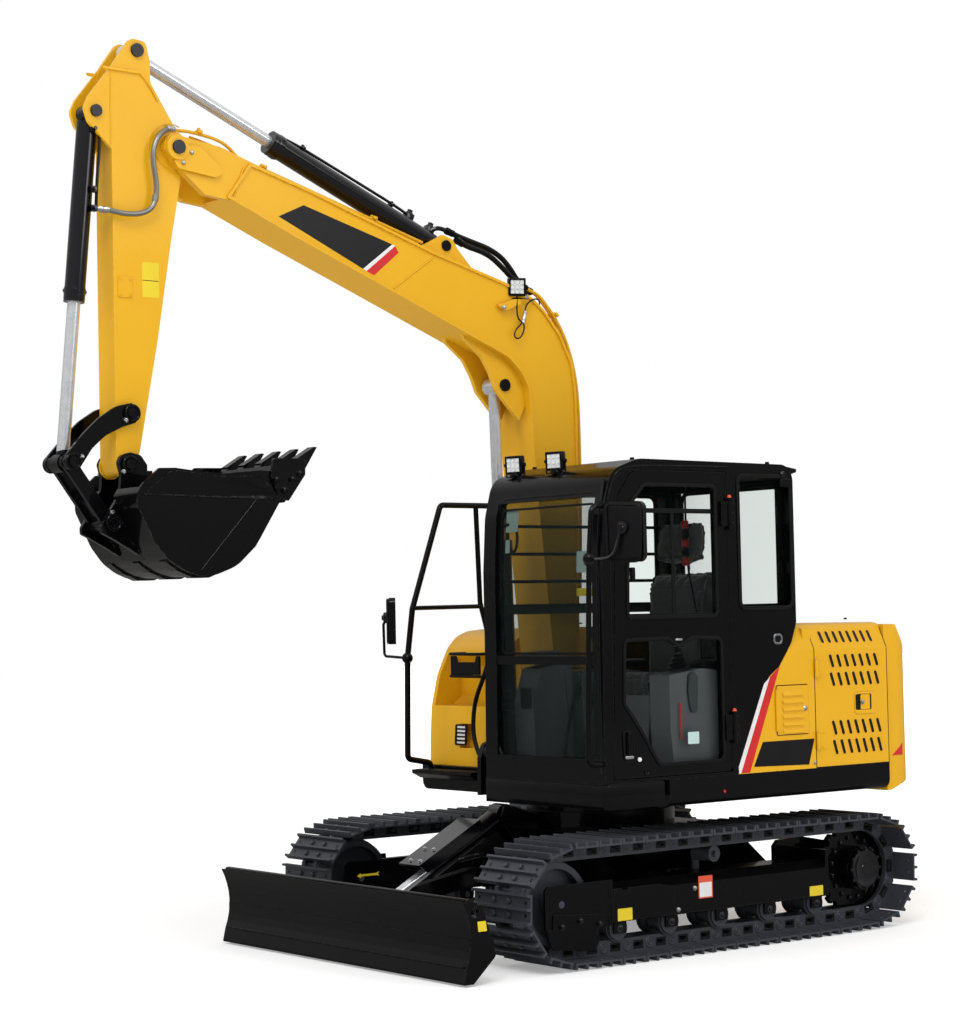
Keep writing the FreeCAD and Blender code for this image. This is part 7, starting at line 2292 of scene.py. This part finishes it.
@dataclass
class Inside:
    """What is in the cab: seat pads, control levers, dash details and the wall's rail.

    Attributes:
        levers: X, Y and the foot's height of each control lever.
        pedals: Y of each travel lever.
    """

    levers: tuple[Point, ...] = ((0.2, 0.92, 1.47), (0.2, 0.255, 1.47))
    pedals: Flat = (0.515, 0.665)

    def build(self) -> None:
        """Makes everything in the cab."""
        self.seat()
        self.controls()
        self.dash()
        self.rail()

    def seat(self) -> None:
        """The two pads with their channels, the belt with its folds, and the buckle."""
        stuffed("seat_pad", "seat_cushion", 0.012, 0.022, 0.009, [
            ((-0.03, 0.445, 1.439), (0.25, 0.445, 1.439)), ((-0.03, 0.735, 1.439), (0.25, 0.735, 1.439)),
            ((0.25, 0.445, 1.439), (0.25, 0.735, 1.439))])
        stuffed("seat_back_pad", "seat_backrest", 0.012, 0.022, 0.009, [
            ((-0.06, 0.445, 1.44), (-0.12, 0.455, 1.93)), ((-0.06, 0.735, 1.44), (-0.12, 0.725, 1.93)),
            ((-0.09, 0.455, 1.72), (-0.09, 0.725, 1.72))])
        for step in range(5):
            fold = Piece.block(f"belt_fold_{step}", (0.012, 0.05, 0.042),
                               (0.02, 0.8 + 0.004 * (step % 2), 2.035 + 0.05 * step))
            fold.faces(towards("x")).inset(0.008, 0.004).done()
            fold.edges(0.004).ride("upper", WEBBING if step % 2 == 0 else TRIM)
        hang = [(0.014, 0.8, 2.5), (0.013, 0.8, 2.28), (0.012, 0.802, 2.02), (-0.02, 0.815, 1.85),
                (-0.05, 0.84, 1.6), (-0.03, 0.848, 1.43)]
        Piece.tube("seat_belt", hang, 0.006, sides=1).ride("upper", TRIM, ROUND)
        buckle = Piece.block("belt_buckle", (0.05, 0.022, 0.075), (-0.03, 0.848, 1.40))
        buckle.faces(towards("z")).inset(0.006, 0.006).done().edges(0.005)
        buckle.ride("upper", TRIM)

    def controls(self) -> None:
        """Bellows and grips of the control levers, and the grips of the travel levers."""
        for name, (x, y, foot) in zip(("left", "right"), self.levers):
            pleats = [(0.058 - 0.006 * step + (0.007 if step % 2 == 0 else -0.003), 0.0125 * step)
                      for step in range(7)]
            Piece.turned(f"lever_bellows_{name}", [(0.066, -0.004), *pleats, (0.0, 0.08)],
                         Matrix.Translation((x, y, foot)), 28).ride("upper", TRIM, 20.0)
            grip = [(0.0, 0.0), (0.017, 0.002), (0.019, 0.03), (0.0165, 0.05), (0.018, 0.085),
                    (0.023, 0.11), (0.026, 0.128), (0.022, 0.142), (0.0, 0.146)]
            stick = Piece.turned(f"lever_grip_{name}", grip,
                                 facing((x, y, foot + 0.085), (0.1, 0.0, 1.0)), 24)
            switch = Piece.turned("switch", [(0.0, 0.006), (0.005, 0.006), (0.006, 0.0)],
                                  facing((x + 0.022, y + 0.01, foot + 0.226), (0.2, 0.0, 1.0)), 12)
            stick.join([switch]).ride("upper", TRIM)
        for name, y in zip(("right", "left"), self.pedals):
            grip = Piece.turned(f"travel_grip_{name}", [
                (0.0, 0.0), (0.014, 0.0), (0.017, 0.012), (0.0155, 0.03), (0.017, 0.06), (0.017, 0.09),
                (0.013, 0.1), (0.0, 0.102)], facing((0.561, y, 1.31), (-0.25, 0.0, 1.0)), 20)
            grip.ride("upper", TRIM)
            foot = Piece.turned(f"travel_boot_{name}", [
                (0.052, 0.0), (0.05, 0.012), (0.038, 0.014), (0.044, 0.026), (0.032, 0.028),
                (0.037, 0.04), (0.025, 0.043), (0.028, 0.054), (0.014, 0.06)],
                                Matrix.Translation((0.645, y, 0.962)), 24)
            foot.ride("upper", TRIM)
            rod = [(0.645, y, 1.0), (0.635, y - 0.01, 1.1), (0.607, y - 0.02, 1.2),
                   (0.6, y - 0.045, 1.34), (0.6, y - 0.06, 1.47)]
            Piece.tube(f"travel_hand_lever_{name}", rod, 0.009).ride("upper", LEVER)
        lever = rounded([(0.17, 1.24), (0.215, 1.245), (0.235, 1.36), (0.225, 1.44), (0.19, 1.462),
                         (0.16, 1.43), (0.165, 1.34)], 0.018)
        Piece.plate("safety_lever", [lever], 1.012, 1.03, Plane.SIDE, 0.006).ride("upper", LEVER)

    def dash(self) -> None:
        """The dash's recess with a black sheet of painted shade, its crown and switches, and the consoles'
        armrests.
        """
        outline = oblong(0.262, 1.322, 0.096, 0.112)
        Piece.plate("dash_recess_rim", [rounded(grown(outline, 0.008), 0.012), rounded(outline, 0.008)],
                    0.698, 0.706, Plane.FRONT, 0.003).ride("upper", PLASTIC)
        # A black sheet of painted shade at the back of the recess.
        Piece.plate("dash_recess", [rounded(outline, 0.008)], 0.6985, 0.7008, Plane.FRONT).ride(
            "upper", BLACK_FILM_AND_SHADE)
        crown = [(0.43, 1.505), (0.70, 1.505), (0.705, 1.53), (0.66, 1.565), (0.52, 1.575),
                 (0.44, 1.55)]
        Piece.plate("dash_crown", [rounded(crown, 0.02)], 0.16, 0.318, Plane.SIDE, 0.01).ride(
            "upper", PLASTIC)
        for name, y in (("left", 0.94), ("right", 0.235)):
            rest = Piece.block(f"armrest_{name}", (0.24, 0.11, 0.035), (-0.03, y, 1.487))
            rest.faces(towards("z")).inset(0.012, 0.008).done()
            rest.edges(0.008, 3).ride("upper", TRIM)
            keys = Piece.block("key", (0.022, 0.014, 0.006), (0.0, 0.0, 0.0)).edges(0.002)
            keys.copies([Matrix.Translation((0.3 + 0.03 * column, y - 0.03 + 0.02 * row, 1.473))
                         for column in range(3) for row in range(3)])
            keys.obj.name = f"console_keys_{name}"
            keys.ride("upper", TRIM)

    def rail(self) -> None:
        """The right wall's rail behind the pane."""
        beam = Piece.block("right_wall_rail", (1.17, 0.03, 0.055), (0.185, 0.118, 1.8))
        beam.faces(towards("y")).inset(0.01, -0.004).done().edges(0.004)
        beam.ride("upper", TRIM)


@dataclass
class FrontBody:
    """The deck's front skirt, the tank's grille and bracket, the step's ribs and the side hose.

    Attributes:
        front: X of the skirt's face.
        side: Y of its side.
        low: Its lower edge.
        high: Its upper edge.
    """

    front: float = 0.8605
    side: float = 1.0795
    low: float = 0.777
    high: float = 0.901

    def build(self) -> None:
        """Makes every piece at the front of the deck."""
        self.skirt()
        self.grille()
        self.step()

    def skirt(self) -> None:
        """The bent plate under the cab's front, with the groove under the cab."""
        wall = 0.012
        x, y = self.front, self.side
        bend = rounded([(x - wall, 0.095), (x, 0.095), (x, y), (0.46, y), (0.46, y - wall),
                        (x - wall, y - wall)], [0.0, 0.004, 0.03, 0.001, 0.001, 0.02])
        Piece.plate("deck_skirt", [bend], self.low, self.high, Plane.TOP, 0.004).ride("upper", BLACK)
        lip = [(x - 0.004, 0.1, self.high + 0.003), (x - 0.004, y - 0.025, self.high + 0.003),
               (x - 0.025, y - 0.003, self.high + 0.003), (0.47, y - 0.003, self.high + 0.003)]
        Piece.tube("deck_skirt_seal", lip, 0.004, smooth=False).ride("upper", TRIM)
        mark = [(0.0, 0.0), (0.01, 0.01), (0.0, 0.02), (-0.01, 0.01)]
        film("jack_mark", "upper", [(0.04 + u, 0.815 + v) for u, v in mark], 1.0802, RED)

    def grille(self) -> None:
        """The five-slot grille in the tank's front and the black bracket in its recess."""
        outline = rounded(oblong(-0.755, 1.086, 0.112, 0.12), 0.012)
        slots = [rounded(oblong(-0.755, 1.042 + 0.022 * row, 0.08, 0.012), 0.005) for row in range(5)]
        frame = Piece.plate("tank_grille", [outline, *slots], -0.001, 0.006, Plane.FRONT, 0.002)
        back = Piece.plate("tank_grille_back", [rounded(oblong(-0.755, 1.086, 0.096, 0.106), 0.008)],
                           -0.0008, 0.0012, Plane.FRONT)
        for piece, finish in ((frame, TRIM), (back, WHITE)):
            piece.leaned(lambda point: 0.3715 + (1.146 - point.z) * 0.062).ride("upper", finish)
        for name, height in (("top", 1.552), ("bottom", 1.424)):
            bar = [(0.2, -0.87, height), (0.36, -0.855, height), (0.39, -0.835, height),
                   (0.39, -0.55, height - 0.002), (0.37, -0.53, height), (0.2, -0.525, height)]
            Piece.tube(f"recess_bar_{name}", bar, 0.009).ride("upper", TRIM)
        plate = [(-0.83, 1.432), (-0.56, 1.432), (-0.56, 1.54), (-0.585, 1.54), (-0.6, 1.505),
                 (-0.77, 1.505), (-0.785, 1.54), (-0.83, 1.54)]
        Piece.plate("recess_bracket", [rounded(plate, 0.006)], 0.372, 0.388, Plane.FRONT, 0.003).ride(
            "upper", TRIM)
        hose = [(0.38, -0.40, 1.6), (0.44, -0.41, 1.5), (0.452, -0.435, 1.42), (0.452, -0.519, 1.291),
                (0.452, -0.546, 1.139), (0.452, -0.52, 1.026), (0.45, -0.45, 0.93), (0.44, -0.4, 0.9)]
        Piece.tube("front_side_hose", hose, 0.0135).ride("upper", TRIM)

    def step(self) -> None:
        """Ribs on the front step."""
        rib = Piece.block("step_ribs", (0.006, 0.52, 0.004), (0.0, 0.0, 0.0)).edges(0.0015)
        rib.copies([Matrix.Translation((0.435 + 0.018 * row, -0.74, 0.8875)) for row in range(6)])
        rib.ride("upper", BLACK)


ASSEMBLIES.extend([Inside(), FrontBody()])


@dataclass(frozen=True)
class Sheet(Finish):
    """The studio's floor sheet, which glows a little, so that it meets the white behind it.

    Attributes:
        glow: Its glow near the object.
        reach: How far out it reaches full white.
        shade: What shows of it in reflections.
    """

    glow: float = 0.3
    reach: float = 26.0
    shade: Colour = (0.24, 0.235, 0.225)

    def pattern(self, board: Board, shader: bpy.types.ShaderNode) -> None:
        """A faint tone, and a glow that grows towards the horizon; dark in reflections."""
        cloud = board.noise(0.4)
        low = tuple(channel * 0.985 for channel in self.colour)
        mirrored = board.node("ShaderNodeLightPath", output="Is Glossy Ray")
        self.feed(board, shader, "Base Color", board.mix(
            mirrored, board.mix(cloud, low, self.colour), self.shade))
        far = board.node("ShaderNodeVectorMath", {"operation": "LENGTH"}, {0: board.place()}, 1)
        near = (self.glow, self.glow, self.glow)
        glow = board.mix(((far - 4.0) / self.reach).clamp(), near, (1.0, 1.0, 1.0))
        self.feed(board, shader, "Emission Color", board.mix(mirrored, glow, (0.04, 0.04, 0.04)))
        shader.inputs["Emission Strength"].default_value = 1.0


@dataclass(frozen=True)
class Studio:
    """A pale floor, soft light and the camera.

    Attributes:
        eye: Where the camera stands.
        heading: Its heading from -X towards -Y, in degrees.
        tilt: How far it looks up, in degrees.
        roll: Its roll in degrees.
        lens: Its lens in millimetres on a 36 mm sensor.
        above: Strength of the light from overhead.
        level: Strength of the light from the horizon.
    """

    eye: Point = (8.5627, 10.0993, 1.7678)
    heading: float = 52.3708
    tilt: float = 2.538
    roll: float = -1.1966
    lens: float = 82.53
    above: float = 0.75
    level: float = 0.18

    def build(self) -> None:
        """Makes the floor, the lights and the camera."""
        self.floor()
        self.world()
        self.lamp("key_light", (14.0, 14.0, 22.0), 12.0, 3100.0)
        self.lamp("front_light", (22.0, -4.0, 9.0), 9.0, 700.0, False)
        self.lamp("side_light", (-8.0, 22.0, 12.0), 9.0, 850.0)
        self.camera()

    def floor(self) -> None:
        """A wide flat sheet under the object."""
        clear()
        bpy.ops.mesh.primitive_plane_add(size=120.0, location=(0.0, 0.0, -0.001))
        sheet = bpy.context.object
        sheet.name = "studio_floor"
        sheet.data.materials.append(Sheet("studio_sheet", (0.86, 0.86, 0.86), rough=0.9).material())

    def world(self) -> None:
        """White behind the object, with light that falls mostly from above."""
        sky = bpy.data.worlds.new("studio_sky")
        sky.use_nodes = True
        board = Board(sky.node_tree)
        height = board.axis(board.node("ShaderNodeTexCoord", output="Generated"), "Z")
        dome = ((height + 0.1) * 1.4).clamp() * (self.above - self.level) + self.level
        seen = board.node("ShaderNodeLightPath", output="Is Camera Ray")
        strength = seen + (1.0 - seen) * dome
        back = sky.node_tree.nodes["Background"]
        back.inputs["Color"].default_value = (1.0, 1.0, 1.0, 1.0)
        board.tree.links.new(strength.socket, back.inputs["Strength"])
        bpy.context.scene.world = sky
        bpy.context.scene.view_settings.view_transform = "Standard"

    @staticmethod
    def lamp(name: str, spot: Point, size: float, power: float, mirrored: bool = True) -> None:
        """A soft box that faces the middle of the object.

        Args:
            name: The light's name.
            spot: Where it stands.
            size: Its side in metres.
            power: Its power in watts.
            mirrored: Whether glossy surfaces show it.
        """
        data = bpy.data.lights.new(name, "AREA")
        data.size, data.energy = size, power
        light = bpy.data.objects.new(name, data)
        light.visible_glossy = mirrored
        bpy.context.scene.collection.objects.link(light)
        light.location = spot
        aim = Vector((0.4, 0.0, 1.6)) - Vector(spot)
        light.rotation_euler = aim.to_track_quat("-Z", "Y").to_euler()

    def camera(self) -> None:
        """The camera, turned by its heading, tilt and roll."""
        a, p, r = (math.radians(angle) for angle in (self.heading, -self.tilt, self.roll))
        aim = Vector((-math.cos(a) * math.cos(p), -math.sin(a) * math.cos(p), -math.sin(p)))
        side = aim.cross(Vector((0.0, 0.0, 1.0))).normalized()
        over = side.cross(aim)
        right = side * math.cos(r) + over * math.sin(r)
        up = over * math.cos(r) - side * math.sin(r)
        data = bpy.data.cameras.new("studio_camera")
        data.lens, data.clip_end = self.lens, 400.0
        camera = bpy.data.objects.new("studio_camera", data)
        bpy.context.scene.collection.objects.link(camera)
        turn = Matrix((right, up, -aim)).transposed().to_4x4()
        camera.matrix_world = Matrix.Translation(self.eye) @ turn
        bpy.context.scene.camera = camera


OWN_FINISH = {
    "track_frames": FRAME_BLACK, "car_body": FRAME_BLACK, "swing_bearing": FRAME_BLACK,
    "bucket_shell": DIGGING, "bucket_teeth": DIGGING, "side_cutters": DIGGING,
    "boom_cylinder_barrel": BARREL, "arm_cylinder_barrel": BARREL, "bucket_cylinder_barrel": BARREL,
    "blade_cylinder_barrel": BARREL, "bucket_cylinder_rod": BUCKET_ROD, "blade_cylinder_rod": BLADE_ROD,
}


def dress_nodes(nodes: dict[str, bpy.types.Object]) -> None:
    """Gives every carried-over node its finish.

    Args:
        nodes: The frame's nodes by name.
    """
    for name, node in nodes.items():
        slot = node.data.materials[0].name.split(".")[0] if node.data.materials else "black_paint"
        finish = OWN_FINISH.get(name, SLOTS.get(slot, BLACK))
        node.data.materials.clear()
        node.data.materials.append(finish.material())
        log.info("node %s: %s", name, finish.name)


def main() -> None:
    """Builds the studio and every sub-assembly in order."""
    logging.basicConfig(level=logging.INFO, format="%(name)s: %(message)s")
    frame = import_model()
    Studio().build()
    dress_nodes(frame["nodes"])
    for assembly in ASSEMBLIES:
        log.info("building %s", type(assembly).__name__)
        assembly.build()


if __name__ == "__main__":
    main()
